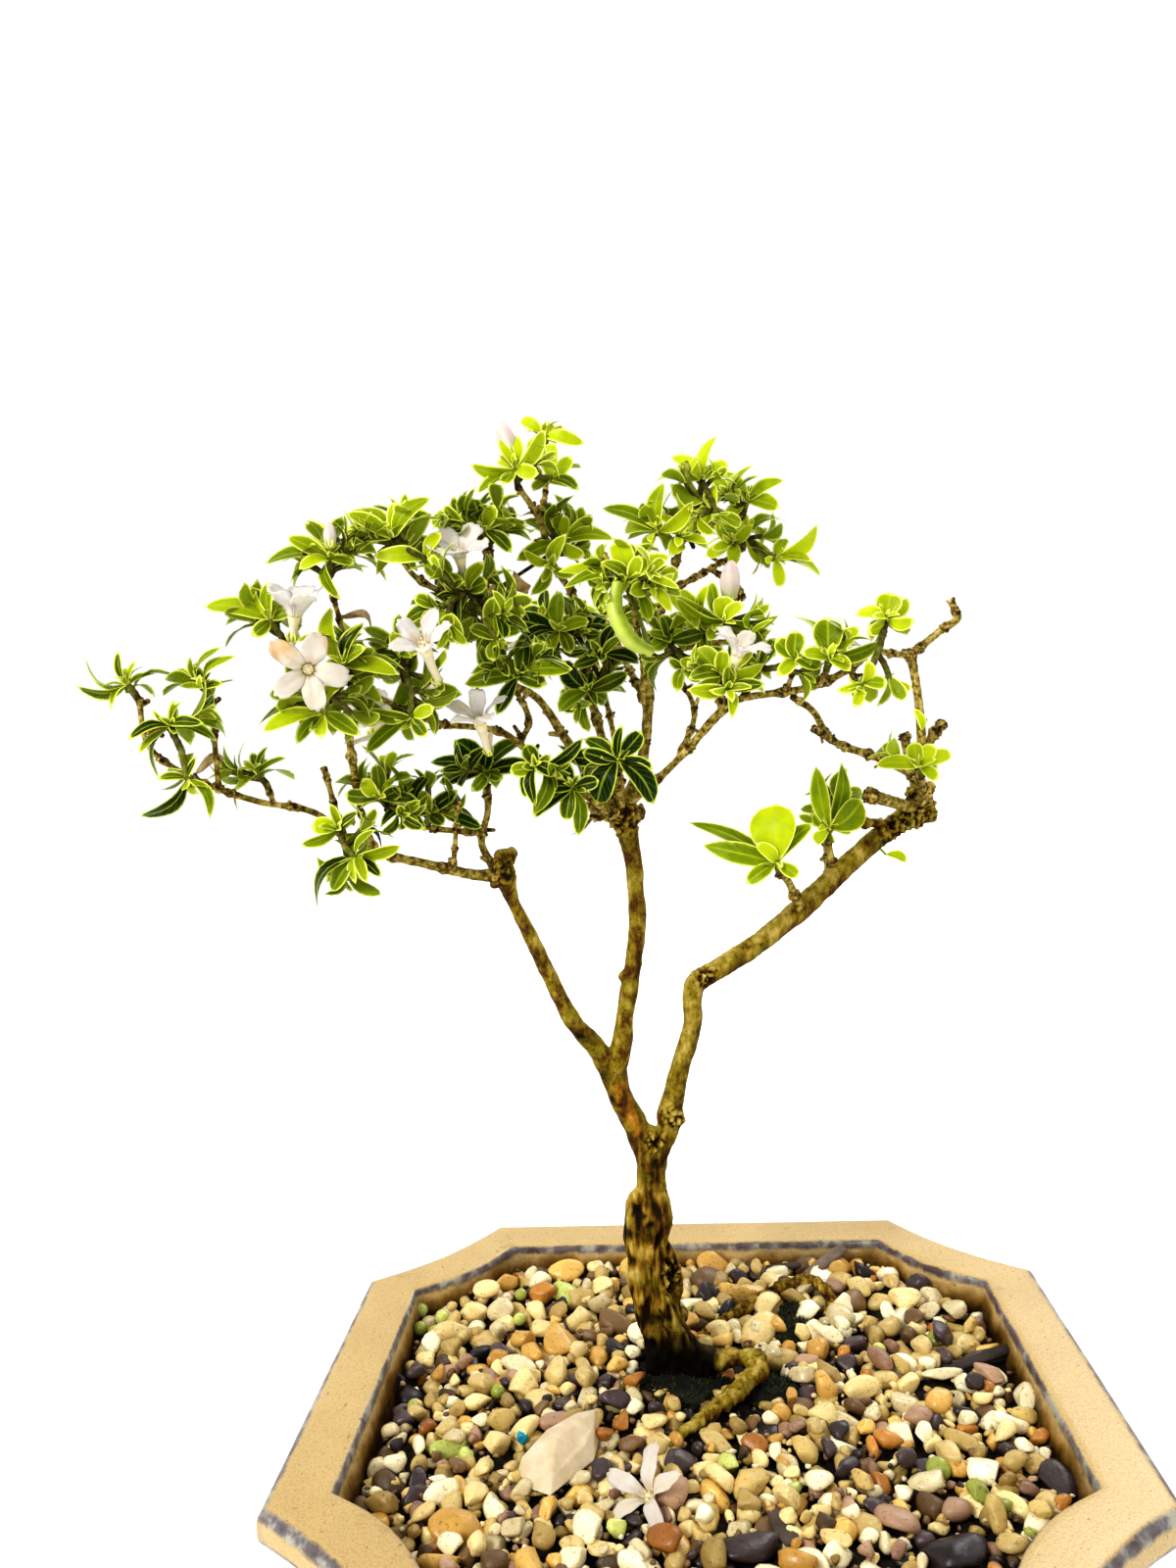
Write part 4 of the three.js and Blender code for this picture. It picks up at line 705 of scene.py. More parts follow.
# half lengths of the smallest and largest loose pebble, laid in a lower and an upper layer
pebbleRule = {
    "seed": 21, "spread": (66, 56), "smallest": 1.0, "largest": 3.1, "backGrowth": 0.36,
    "layers": ({"tries": 13000, "squeeze": 0.74, "lift": 0, "skip": 0},
               {"tries": 5200, "squeeze": 0.86, "lift": 1.9, "skip": 0.35}),
    "grit": 1500, "gritSize": (0.5, 0.95), "gritSpread": (64, 54),
    "gritKinds": ("cream", "buff", "brown", "brown", "slate", "rosy", "milky"),
}

# spots left free of pebbles, as x, y and radius
keepClear = [
    (-5, 9, 7), (-27, -20, 3.6), (-24, -14, 2.5), (-11, -31, 1.6), (7.5, 4, 2.4), (9, -1, 2.4), (4.5, -6, 2),
    (1, -8, 1.6), (-3, -11.6, 1.2), (-1.5, 3, 5), (-9, 6, 3), (12.5, 4.5, 4.4), (8.5, 14, 4),
]


def groundHeight(x, y):
    away = math.hypot(x - ground["heapPlace"][0], y - ground["heapPlace"][1])
    rise = ground["backRise"] * float(smoothStep(*ground["riseFrom"], y))
    return ground["level"] + rise + ground["heap"] * math.exp(-away * away / ground["heapSpread"])


def roomInside(x, y, inset):
    halfWidth, halfDepth = potSize["halfWidth"] - inset, potSize["halfDepth"] - inset
    cut = potSize["cornerCut"] - inset * (2 - math.sqrt(2))
    x, y = abs(x), abs(y)
    return min(halfWidth - x, halfDepth - y, (halfWidth + halfDepth - cut - x - y) / math.sqrt(2) - 1)


def roundShape(rings, sides):
    points = [(0, 0, 1)]
    for i in range(1, rings):
        tilt = math.pi * i / rings
        for k in range(sides):
            turn = 2 * math.pi * (k + 0.5 * (i % 2)) / sides
            points.append((math.sin(tilt) * math.cos(turn), math.sin(tilt) * math.sin(turn), math.cos(tilt)))
    points.append((0, 0, -1))
    faces = [(0, 1 + k, 1 + (k + 1) % sides) for k in range(sides)]
    for i in range(rings - 2):
        for k in range(sides):
            a, b = 1 + i * sides + k, 1 + i * sides + (k + 1) % sides
            if i % 2:
                faces += [(a, a + sides, b), (b, a + sides, b + sides)]
            else:
                faces += [(a, a + sides, b + sides), (a, b + sides, b)]
    last = len(points) - 1
    faces += [(last, last - sides + (k + 1) % sides, last - sides + k) for k in range(sides)]
    return np.array(points), faces


pebbleShapes = {"large": roundShape(9, 16), "small": roundShape(7, 11), "grit": roundShape(5, 7)}


# A tumbled stone: a ball with a few worn flats.
def addStone(skin, chance, middle, size, turn, wear=1.0):
    points, faces = pebbleShapes["large" if size[0] > 4.4 else "small" if size[0] > 2 else "grit"]
    for _ in range(chance.randint(6, 12)):
        face = unit(anyWay(chance))
        reach = chance.uniform(0.48, 0.84)
        over = np.maximum(points @ face - reach, 0)
        points = points - np.outer(over * 0.9 * wear, face)
    bend = unit(anyWay(chance))
    points = points * (1 + 0.20 * wear * np.sin(2.2 * (points @ bend) + chance.uniform(0, 6)))[:, None]
    points = points * (np.array(size) / 2)
    tilt = Matrix.Rotation(turn, 3, "Z") @ Matrix.Rotation(chance.uniform(-0.4, 0.4) * wear, 3, "X")
    tilt = tilt @ Matrix.Rotation(chance.uniform(-0.35, 0.35) * wear, 3, "Y")
    points = points @ np.array(tilt).T + np.array(middle)
    addPart(skin, points, faces, (chance.random(), chance.random(), chance.random(), 1))


def touching(x, y, spot, half, squeeze=1):
    otherX, otherY, reach = spot
    return (x - otherX) ** 2 + (y - otherY) ** 2 < (squeeze * (half + reach)) ** 2


def layPebbles():
    chance = random.Random(pebbleRule["seed"])
    skins = {kind: newSkin() for kind in stoneKinds}
    taken = []
    for kind, stones in placedStones.items():
        for x, y, length, width, height, turn, lift in stones:
            wear = 0.15 if kind == "leek" and length < 3.7 else 1.0  # the green beads stay round
            place, size = (x, y, groundHeight(x, y) + lift), (length, width, height)
            addStone(skins[kind], chance, place, size, turn, wear)
            taken.append((x, y, (length + width) / 4))
    kinds, weights = zip(*[(kind, values[0]) for kind, values in stoneKinds.items()])
    smallest, largest = pebbleRule["smallest"], pebbleRule["largest"]
    reachX, reachY = pebbleRule["spread"]
    for upper, layer in enumerate(pebbleRule["layers"]):
        spots = list(taken)
        for i in range(layer["tries"]):
            half = smallest + (largest - smallest) * ((1 - i / layer["tries"]) * chance.uniform(0.35, 1))
            x, y = chance.uniform(-reachX, reachX), chance.uniform(-reachY, reachY)
            half *= 1 + pebbleRule["backGrowth"] * float(smoothStep(-8, 26, y))  # larger stones at the back
            if roomInside(x, y, innerInset(ground["level"]) + half * 0.9 + upper) < 0:
                continue
            if any(touching(x, y, spot, half) for spot in keepClear):
                continue
            if any(touching(x, y, spot, half, layer["squeeze"]) for spot in spots):
                continue
            if wobble((x, y, 3), 9, 4.2) < -0.36 and chance.random() < 0.55:  # thin patches
                continue
            if layer["skip"] and chance.random() < layer["skip"]:
                continue
            spots.append((x, y, half))
            kind = chance.choices(kinds, weights)[0]
            shares = ((0.92, 1.4), (0.75, 1.0), (0.62, 0.9))  # length, width and height
            size = tuple(2 * half * chance.uniform(*share) for share in shares)
            lift = layer["lift"] * min(1.0, half / 2.2)
            z = groundHeight(x, y) + lift + size[2] * 0.12 + chance.uniform(-0.3, 0.3)
            place = (x, y, min(z, ground["highest"] - size[2] / 2))
            addStone(skins[kind], chance, place, size, chance.uniform(0, math.pi))
    reachX, reachY = pebbleRule["gritSpread"]
    for _ in range(pebbleRule["grit"]):
        half = chance.uniform(*pebbleRule["gritSize"])
        x, y = chance.uniform(-reachX, reachX), chance.uniform(-reachY, reachY)
        if roomInside(x, y, innerInset(ground["level"]) + 1) < 0 or math.hypot(x + 5, y - 9) < 7:
            continue
        kind = chance.choice(pebbleRule["gritKinds"])
        size = (2 * half, 1.6 * half, 1.5 * half)
        addStone(skins[kind], chance, (x, y, groundHeight(x, y) + chance.uniform(-0.3, 1.6)), size, 0)
    return skins


def makeStoneFinish(kind, dark, light, roughness, glow):
    finish, shader = newFinish(kind + "Stone", roughness)
    tone, _, _, _ = paintOf()
    body = rampOf(plus(times(tone, 0.62), times(noiseOf(260, 6, (1, 1, 2.2), 0.65), 0.5)),
                  [(0.18, dark), (0.82, light)])
    pit = rampOf(noiseOf(1500, 3), [(0.30, (0.42, 0.36, 0.30)), (0.42, (1, 1, 1))])
    setColour(shader, mixOf(0.7, body, pit, "MULTIPLY"))
    if glow:
        setGlow(shader, glow, 1.2, (1, 0.8, 0.5))
    bumpOf(shader, noiseOf(1100, 4), 0.35, 0.3)
    return finish


def makeBed():
    skin = newSkin()
    inset = innerInset(ground["level"]) + 0.05
    rings, outline = 46, potOutline(inset, 12, 14)
    count = len(outline)
    points = [(0, 0, groundHeight(0, 0) - 1)]
    for i in range(1, rings + 1):
        for x, y in outline:
            x, y = x * i / rings, y * i / rings
            crumb = 0.9 * wobble((x, y, 0), 2.2) + 0.6 * wobble((x, y, 5), 0.9)
            points.append((x, y, groundHeight(x, y) - 0.9 + crumb))
    faces = [(0, 1 + k, 1 + (k + 1) % count) for k in range(count)]
    for i in range(rings - 1):
        for k in range(count):
            a, b = 1 + i * count + k, 1 + i * count + (k + 1) % count
            faces.append((a, a + count, b + count, b))
    skirt = len(points)
    points += [(x, y, ground["underside"]) for x, y in outline]
    last = skirt - count
    faces += [(last + k, skirt + k, skirt + (k + 1) % count, last + (k + 1) % count) for k in range(count)]
    faces.append(tuple(reversed(range(skirt, skirt + count))))
    addPart(skin, points, faces, (0, 0, 0, 1))
    placeSkin("compostSurface", skin, [compost], ["gravel"])


makeBed()
for kind, skin in layPebbles().items():
    finish = makeStoneFinish(kind, *stoneKinds[kind][1:])
    placeSkin(kind + "Pebbles", skin, [finish], ["gravel"])
print("pebbles laid")


# quartz shard, bead and chips on the dressing

shard = {
    # corners of the stone as x, y, height over its seat
    "corners": [(-21.5, -7.2, 0.6), (-20.4, -8.6, 3.2), (-19.4, -12.4, 0.4), (-20.4, -13.0, 3.0),
                (-20.2, -19.2, 0), (-22.0, -18.4, 2.6), (-24.6, -25.0, 0), (-27.4, -29.0, 0.2),
                (-27.2, -26.6, 1.9), (-30.8, -27.0, 0), (-34.0, -22.6, 0), (-33.2, -21.4, 2.2),
                (-33.6, -18.6, 0.3), (-31.0, -14.6, 0.2), (-29.0, -16.0, 4.0), (-27.0, -19.5, 4.5),
                (-25.4, -10.4, 0.3), (-23.8, -11.0, 4.0), (-24.0, -15.4, 4.3)],
    "seat": 46.9, "wear": 0.28,
    "tints": [(0.32, (0.70, 0.55, 0.34)), (0.5, (0.84, 0.70, 0.48)), (0.66, (0.90, 0.82, 0.66))],
}


def makeShard():
    rough = bmesh.new()
    for x, y, rise in shard["corners"]:
        rough.verts.new((x, y, shard["seat"] + rise))
    bmesh.ops.convex_hull(rough, input=rough.verts)
    bmesh.ops.delete(rough, geom=[v for v in rough.verts if not v.link_faces], context="VERTS")
    bmesh.ops.dissolve_limit(rough, angle_limit=0.12, verts=rough.verts, edges=rough.edges)
    for v in rough.verts:
        v.co = Vector(v.co) * mm + Vector(potMiddle)
    mesh = bpy.data.meshes.new("quartzDraft")
    rough.to_mesh(mesh)
    rough.free()
    draft = addObject("quartzDraft", mesh)
    addModifier(draft, "BEVEL", width=shard["wear"] * mm, segments=2, limit_method="ANGLE", angle_limit=0.2)
    mesh = applyModifiers(draft)
    finish, shader = newFinish("clearQuartzFinish", 0.14)
    setColour(shader, rampOf(noiseOf(130, 6, rough=0.65), shard["tints"]))
    shader.inputs["Transmission Weight"].default_value = 0.2
    setGlow(shader, 0.25, 2)
    bumpOf(shader, noiseOf(300, 3), 0.35, 0.5)
    placePiece("clearQuartz", mesh, [finish], ["quartz_shard"])


# a glass bead with its six sides ground flat
bead = {"place": (-34, -13), "lift": 2.6, "radius": 1.25, "flat": 0.8,
        "dark": (0.0, 0.20, 0.34), "light": (0.01, 0.40, 0.55)}


def makeBead():
    skin = newSkin()
    ball, faces = roundShape(12, 20)
    flats = np.where(np.abs(ball) > bead["flat"], np.sign(ball) * bead["flat"], ball)
    middle = np.array((*bead["place"], groundHeight(*bead["place"]) + bead["lift"]))
    addPart(skin, flats * bead["radius"] + middle, faces, (0, 0, 0, 1))
    finish, shader = newFinish("turquoiseFinish", 0.25)
    setColour(shader, shadesOf(noiseOf(900), bead["dark"], bead["light"]))
    placeSkin("turquoiseBead", skin, [finish], ["gravel"])


chips = [
    # middle, length, width, thickness, turn, tilt, grey share
    ((30.5, 47.2, 50.1), 12, 3.6, 1.3, 0.55, 0.32, 0.8), ((22.5, 48, 48.8), 11, 2.2, 1.0, 0.1, 0.05, 0.2),
    ((57.5, 12.5, 46.8), 16, 3.0, 1.2, 0.36, 0.10, 0.0), ((12, -36, 46.6), 7.5, 3.4, 0.8, 1.9, 0.1, 0.3),
]

chipColours = {"dark": ((0.012, 0.008, 0.006), (0.06, 0.04, 0.03)),
               "grey": ((0.11, 0.075, 0.05), (0.34, 0.26, 0.19))}


def makeChips():
    skin = newSkin()
    for middle, length, width, thickness, turn, tilt, grey in chips:
        points, steps, across = [], 14, 5
        for side in (1, -1):
            for i in range(steps + 1):
                for j in range(across + 1):
                    u, v = i / steps - 0.5, j / across - 0.5
                    taper = 1 - 0.35 * abs(2 * u) ** 3
                    ragged = 0.5 * wobble((v * 20, middle[0], side), 3) if i in (0, steps) else 0
                    ridge = 0.22 * wobble((v * 30, u * 4, side * 3 + middle[1]), 2)
                    edge = 1 if 0 < j < across else 0.35
                    points.append((length * u + ragged * 3, width * v * taper,
                                   side * thickness / 2 * edge + ridge))
        spin = Matrix.Rotation(turn, 3, "Z") @ Matrix.Rotation(-tilt, 3, "Y")
        points = [np.array(middle) + np.array(spin @ Vector(p)) for p in points]
        addPart(skin, points, sheetFaces(steps, across), (grey, 0, 0, 1))
    finish, shader = newFinish("barkChipFinish", 0.8)
    grey, _, _, _ = paintOf()
    fibre = noiseOf(500, 5, (0.3, 0.3, 1))
    setColour(shader, mixOf(grey, *(shadesOf(fibre, *shades) for shades in chipColours.values())))
    bumpOf(shader, fibre, 0.8, 0.4)
    placeSkin("barkChips", skin, [finish], ["gravel"])


makeShard()
makeBead()
makeChips()
print("shard, bead and chips laid")


# wood: listed routes of [x, y, z, radius], each starting inside the limb that carries it

trunkRoute = [
    [-5, 9, 33, 3], [-5, 9, 41, 6.4], [-6, 9, 47, 5.4], [-7, 9, 52, 4.7], [-9, 9, 61, 5.2],
    [-10, 9, 70, 4.5], [-10, 8, 79, 4.6], [-9, 8, 87, 3.6], [-8, 8, 95, 3.9], [-8, 8, 98, 2.6],
]

stemRoutes = [
    # left stem from the low fork, then on to the crown
    [[-8.4, 8, 91, 2.6], [-9.6, 8, 95.5, 2.8], [-11.3, 8.4, 99.5, 2.6], [-14, 7, 106, 2.4],
     [-15, 7, 112, 2.9]],
    [[-15, 7, 110, 2.5], [-13, 5, 116, 2.1], [-12, 5, 122, 1.8], [-9, 5, 138, 1.7], [-9, 5, 152, 1.7],
     [-10, 5, 159, 2.2], [-11, 5, 163, 3.6], [-11, 5, 165, 2]],
    # low left branch
    [[-15, 7, 110, 2.4], [-18, 5, 116, 2], [-22, 1.5, 122.5, 1.7], [-28.5, -2, 139, 1.4],
     [-31.5, -4, 147, 1.3], [-33, -5.5, 153, 2.2], [-33, -7.5, 157, 1.3]],
    # right branch
    [[-6.6, 8.4, 89, 1.3], [-5.8, 8.7, 94, 1.6], [-4.5, 9, 97.5, 2.2], [-4, 9, 100.5, 2.6],
     [-2.8, 9, 105.5, 2.1], [-1.6, 9, 110, 2], [1, 9, 118, 1.9], [2, 9, 127, 2], [5, 10.5, 128.5, 2.1],
     [15, 14, 133.5, 2.1], [23.5, 18, 139, 2.3], [39.5, 25, 151, 2.2], [45.5, 27, 155, 2.2],
     [51, 28.5, 158, 3.2], [52.5, 30.5, 160, 2]],
]

surfaceRoots = [
    [[-4, 8, 50.5, 2.8], [0, 7, 50.8, 2.4], [3.5, 6.2, 50.8, 2.0], [8, 6, 51.2, 1.7], [11, 5.4, 51.4, 2.0],
     [11.5, 2.9, 50.6, 2.1], [8.8, 0.6, 49.8, 1.8], [5.9, -2.6, 49.2, 1.9], [1.3, -7.3, 48.4, 1.5],
     [-3, -11.4, 47.5, 1.15], [-7.4, -15.8, 46.4, 0.7]],
    [[-5, 13, 45, 2.6], [2, 23, 46.5, 1.6], [11.2, 31, 48.2, 1.4], [19.9, 36.6, 49.9, 1.3],
     [26.4, 38.4, 50.2, 1.3], [29.4, 34, 48.6, 1.3], [28.6, 29, 45, 1.1]],
]

twigRoutes = [
    # long left branch and its twigs
    [[-33, -5.5, 153, 1.7], [-37, -7.5, 153, 1.2], [-46.5, -11, 156, 0.95], [-57, -16.5, 160.5, 0.8],
     [-63.5, -20, 167, 0.65], [-72, -25.5, 170, 0.6], [-81, -31, 175, 0.55], [-86, -34.5, 180.5, 0.5],
     [-87, -34.5, 188, 0.5]],
    [[-86, -34.5, 182.5, 0.5], [-84, -33.5, 183.5, 0.45]],
    [[-34, -5.5, 153, 0.9], [-37, -4, 158.5, 0.8], [-35.5, -4, 164.5, 0.7], [-35.5, -4, 169.5, 0.65]],
    [[-54.5, -15.5, 159.5, 0.7], [-56, -18, 167, 0.55], [-56, -21, 175.5, 0.8], [-56, -23.5, 184, 0.5]],
    [[-59, -18, 162.5, 0.6], [-61, -16.5, 168, 0.55], [-63, -14.5, 174.5, 0.5]],
    [[-36.5, -4, 160.5, 0.7], [-42, -7.5, 161.5, 0.65], [-46.5, -11, 163, 0.6], [-51.5, -15.5, 167, 0.6]],
    [[-42, -9, 154, 0.7], [-40.5, -13, 159, 0.5], [-39, -16.5, 167, 0.45]],
    [[-77, -29, 172, 0.55], [-77, -29, 177, 0.5], [-78, -27, 187, 0.45]],
    [[-69.5, -23.5, 169, 0.55], [-71.5, -21, 172.5, 0.5]],
    # crown: front, left and middle stems
    [[-11, 7, 162, 2.2], [-7, 9, 170, 1.3], [-5, 10.5, 181, 1.15], [-5, 10.5, 185, 1.8],
     [-5, 10.5, 192, 0.85]],
    [[-12, 3.5, 162, 1.8], [-17, 0, 171, 1.1], [-20.5, -5.5, 178, 1], [-24.5, -9, 185, 0.8],
     [-29.5, -14.5, 189, 0.8], [-33, -11, 199.5, 0.9], [-32, -9, 212, 0.75]],
    [[-11, 9, 162, 1.7], [-13, 16, 169.5, 1.1], [-15.5, 19.5, 180, 1], [-17.5, 19.5, 189, 1.05],
     [-18.5, 19.5, 203.5, 0.85], [-22, 7, 211, 0.75], [-23.5, -2, 218.5, 0.7], [-26.5, -5.5, 223.5, 0.6]],
    [[-11, 10.5, 162, 1.3], [-11.5, 23, 168.5, 0.8], [-13.5, 32, 181, 0.65], [-16.5, 37.5, 194.5, 0.6]],
    [[-12, 1.5, 162.5, 1.4], [-16.5, -5.5, 166.5, 0.85], [-25, -13, 174.5, 0.75],
     [-30.5, -16.5, 179.5, 0.65], [-41.5, -22, 182, 0.6], [-50.5, -25.5, 187, 0.55], [-55, -27, 189.5, 0.55],
     [-61, -29, 193.5, 0.5], [-64, -29, 196.5, 0.45]],
    [[-54, -27, 189, 0.5], [-55, -25.5, 197, 0.5], [-57.5, -23.5, 206.5, 0.45]],
    [[-55, -27, 189.5, 0.5], [-57, -30, 187, 0.45]],
    [[-44, -22.5, 182.5, 0.5], [-46, -22, 190, 0.45]],
    [[-28, -14.5, 177, 0.65], [-26, -12, 181, 0.55], [-28, -13, 187, 0.5]],
    [[-33, -11, 200.5, 0.7], [-39, -18, 204, 0.6], [-43.5, -20, 207, 0.5], [-46, -22, 211, 0.45]],
    [[-39, -18, 204, 0.55], [-41.5, -13, 210.5, 0.45]],
    [[-23.5, -2, 217.5, 0.6], [-22.5, 5, 224, 0.5], [-22, 9, 232, 0.45]],
    [[-17, 19.5, 188, 0.7], [-17.5, 18, 193, 0.55], [-20, 17, 195.5, 0.5]],
    # crown: right side
    [[-5, 10.5, 190, 0.85], [-2, 16, 200, 0.8], [0, 18, 205.5, 0.8], [4, 18, 216.5, 0.7], [7, 16, 223, 0.6]],
    [[3.5, 18, 215.5, 0.6], [10.5, 22.5, 219, 0.6], [16.5, 27, 220.5, 0.5]],
    [[0, 18, 205, 0.75], [10.5, 30.5, 211, 0.6], [17, 37.5, 215, 0.5]],
    [[9.5, 29.5, 210, 0.6], [14.5, 27, 206.5, 0.55], [15.5, 25, 203.5, 0.5]],
    [[-2, 16, 199, 0.7], [3, 9, 198, 0.6], [9.5, 1.5, 198, 0.5]],
    [[-5, 10.5, 191, 0.8], [-6, 1.5, 196, 0.7], [-7, -9, 203, 0.55]],
    [[-5, 10.5, 187, 0.85], [-1, 7, 192, 0.6], [13, 5, 194.5, 0.5]],
    # long branch over the right side
    [[-11, 5, 163, 1.5], [-8, 3.5, 165, 0.9], [1, -2, 173, 0.75], [8.5, -5.5, 181, 1],
     [11.5, -5.5, 183, 0.75], [25, -11, 185, 0.75], [32.5, -14.5, 189, 0.65], [36, -16.5, 193, 0.5]],
    [[0.5, -2, 172.5, 0.7], [4, 5, 181, 0.55], [1.5, 9, 188, 0.5]],
    [[8.5, -5.5, 181, 0.7], [8.5, -8.5, 185.5, 0.5]],
    [[12, -5.5, 183, 0.6], [15, -4, 186.5, 0.5]],
    [[20, -9, 184, 0.6], [21, -12, 187.5, 0.45]],
    [[25.5, -11, 185, 0.6], [26.5, -14.5, 187.5, 0.45]],
    [[30.5, -13.5, 187.5, 0.55], [32, -16.5, 184.5, 0.45], [31, -17.5, 183.5, 0.4]],
    # short twigs of the crown node
    [[-11, 5, 162, 1.7], [-16, 3.5, 162, 1.1]],
    [[-11, 5, 162, 1.7], [-7, 7, 162, 1.3]],
    [[-11, 3.5, 163, 1.2], [-11, -2, 167.5, 0.85], [-11, -6.5, 171, 0.65]],
    [[-15, 1.5, 163, 0.9], [-18.5, -10, 166.5, 0.6]],
    # end of the right branch
    [[51, 28.5, 158, 1.8], [46.5, 24, 159.5, 1.4], [38.5, 16, 162.5, 1.5]],
    [[51, 28.5, 158, 2.2], [51, 30.5, 164, 1.6], [52.5, 32, 172.5, 1.15], [51.5, 32, 186, 1],
     [50.5, 32, 191, 1.15]],
    [[50.5, 32, 190, 0.95], [58, 34, 195.5, 0.9], [61, 34, 197.5, 0.95], [60, 34, 201, 0.65]],
    [[51.5, 32, 190, 0.85], [44.5, 27, 191, 0.75], [40.5, 23, 192, 0.65]],
    [[52, 32, 167, 1.1], [54.5, 34, 171.5, 1.2], [58, 36, 175.5, 1.15]],
    [[51, 30.5, 163, 1.4], [49, 28.5, 169.5, 1.25], [48, 27, 173.5, 1.05]],
    [[51, 30.5, 165, 1.2], [41.5, 23, 169.5, 0.9], [31.5, 18, 174, 0.9], [27.5, 14, 180, 0.75],
     [23.5, 12.5, 183, 0.6]],
    [[33, 18.5, 173, 0.8], [27.5, 12.5, 176.5, 0.6]],
    [[51, 27, 159, 1.1], [49, 16, 164, 0.65], [47.5, 9.5, 166, 0.5]],
    [[24.5, 18, 139, 1.2], [21, 9, 147, 0.85], [19, 4.5, 149, 0.65]],
    [[32, 21.5, 145, 1.2], [31, 23, 152.5, 0.7]],
    # stems of the far side
    [[-5.5, 10.5, 184, 0.9], [-9.5, 26, 192, 0.75], [-13.5, 38, 200.5, 0.6]],
    [[31, 21, 144.5, 1.2], [32, 32, 151, 0.8], [35.5, 42, 156, 0.6]],
]

# grain of the joined wood, depth of ridges, lumps and crusted knobs, thickness of the trunk's core,
# heights between which the foot is painted darker, the trunk is old and the bark turns young
barkSize = {"voxel": 0.40, "ridge": 0.55, "knot": 0.60, "crust": 1.1, "core": 0.66,
            "darkFoot": (63, 52), "old": (108, 60), "young": (78, 108), "rootsUnder": 53.5}

barkColours = {
    # the crack colour also paints the shade in hollows and furrows, and pale also paints the highlight on
    # ridges and upper sides
    "crackAndShade": (0.014, 0.007, 0.001), "brown": (0.115, 0.050, 0.005), "olive": (0.27, 0.20, 0.016),
    "pale": (0.66, 0.50, 0.17), "tan": (0.33, 0.20, 0.022), "scar": (0.46, 0.21, 0.018),
    "green": (0.22, 0.205, 0.008), "darkFoot": (0.006, 0.004, 0.002), "scarDark": (0.10, 0.04, 0.008),
    "scarPale": (0.64, 0.40, 0.13), "twigDark": (0.20, 0.155, 0.014), "twigPale": (0.42, 0.33, 0.09),
    "twigGreen": (0.22, 0.30, 0.035), "crustDark": (0.11, 0.065, 0.010), "crustMid": (0.32, 0.22, 0.040),
    "crustPale": (0.66, 0.52, 0.20),
}

# strands that twist into the trunk
trunkStrands = [
    # left side, over the bulge and out into the left stem
    [[-6.8, 9, 44, 4.4], [-7.9, 8.7, 52, 3.3], [-9.6, 8.5, 58, 3.0], [-10.9, 8.2, 64, 2.9],
     [-11.5, 8, 71, 2.7], [-11.7, 8, 77, 2.8], [-11.1, 7.6, 82.3, 2.6], [-8.9, 7.4, 87, 1.8],
     [-8.8, 7.4, 92, 2.1], [-10.2, 7.6, 96.5, 2.3], [-12.4, 7.6, 101.5, 2.2]],
    # smooth strand from the right of the foot up the front
    [[0.6, 7.5, 46, 3.4], [-2.6, 6.6, 52.5, 2.7], [-5.4, 6, 59.5, 2.1], [-7.4, 5.6, 65, 1.7],
     [-7.6, 5.8, 70, 1.7], [-7.8, 6.4, 74.5, 2.0], [-6.8, 7, 80, 2.5], [-6.9, 7.8, 86, 1.5],
     [-6.4, 8.2, 90.5, 1.2], [-5.7, 8.8, 95, 1.4]],
    # rough flap on the right
    [[-3.9, 9, 60, 0.7], [-4.7, 8.8, 63, 1.5], [-4.4, 9, 66.5, 1.6], [-5.2, 9.2, 71, 1.3],
     [-7, 9.6, 76, 1.0]],
    # the back
    [[-5, 14, 44, 4.2], [-7.2, 12.6, 53, 3.4], [-9, 12, 64, 3.1], [-9.6, 11.2, 74, 2.8],
     [-9.4, 10.4, 82, 2.5], [-8, 10, 88, 1.9], [-7.6, 9.8, 94, 2.1]],
]

# dents in the bark, each also painted dark as shade, as (x, y, z), radius, depth
shadedHollows = [
    ((-8.4, 4.7, 87.6), 0.7, 0.9), ((-9.0, 4.4, 85.4), 0.8, 1.3), ((-9.6, 4.1, 83.2), 0.9, 1.6),
    ((-9.9, 4.0, 81), 0.8, 1.4), ((-9.4, 3.8, 78.8), 0.8, 1.3), ((-7.7, 3.6, 76.2), 1.5, 2.2),
    ((-8.6, 4, 79.4), 0.9, 0.9), ((-11.9, 5, 82.4), 1.3, 1.5), ((-15.3, 5.2, 105.2), 0.8, 0.6),
    ((-13.4, 6, 57.5), 1.1, 1.2), ((-6.0, 5, 71.4), 0.8, 1.3), ((-5.8, 5.4, 68.6), 0.8, 1.4),
    ((-6.0, 5.4, 65.6), 0.8, 1.4), ((-5.9, 5.4, 62.8), 0.8, 1.2), ((-10.4, 3.6, 71), 0.9, 0.8),
    ((-9.8, 3.4, 66.5), 0.8, 0.9), ((-11.2, 4.4, 62), 0.8, 0.9), ((-9.6, 3.4, 54), 1.6, 1.3),
    ((-8.6, 12.9, 74), 2.0, 1.4), ((-9.8, 13.6, 60), 2.0, 1.4), ((-7.2, 4.6, 88.4), 0.7, 0.7),
    ((-7.3, 5.6, 95.4), 0.6, 0.9), ((-7.0, 5.4, 92.2), 0.5, 0.8), ((-6.9, 11.5, 95), 0.9, 1.2),
    ((44.6, 24.6, 155.6), 1.1, 1.5), ((49.6, 26.2, 161), 0.7, 1.0), ((46.8, 26, 157), 0.8, 1.0),
    ((52, 26.5, 156.5), 0.7, 0.9), ((51.5, 26.2, 159.5), 0.6, 0.9), ((-9.6, 4.2, 58.5), 0.8, 0.9),
    ((-7.4, 4.6, 60.5), 0.7, 0.8),
]
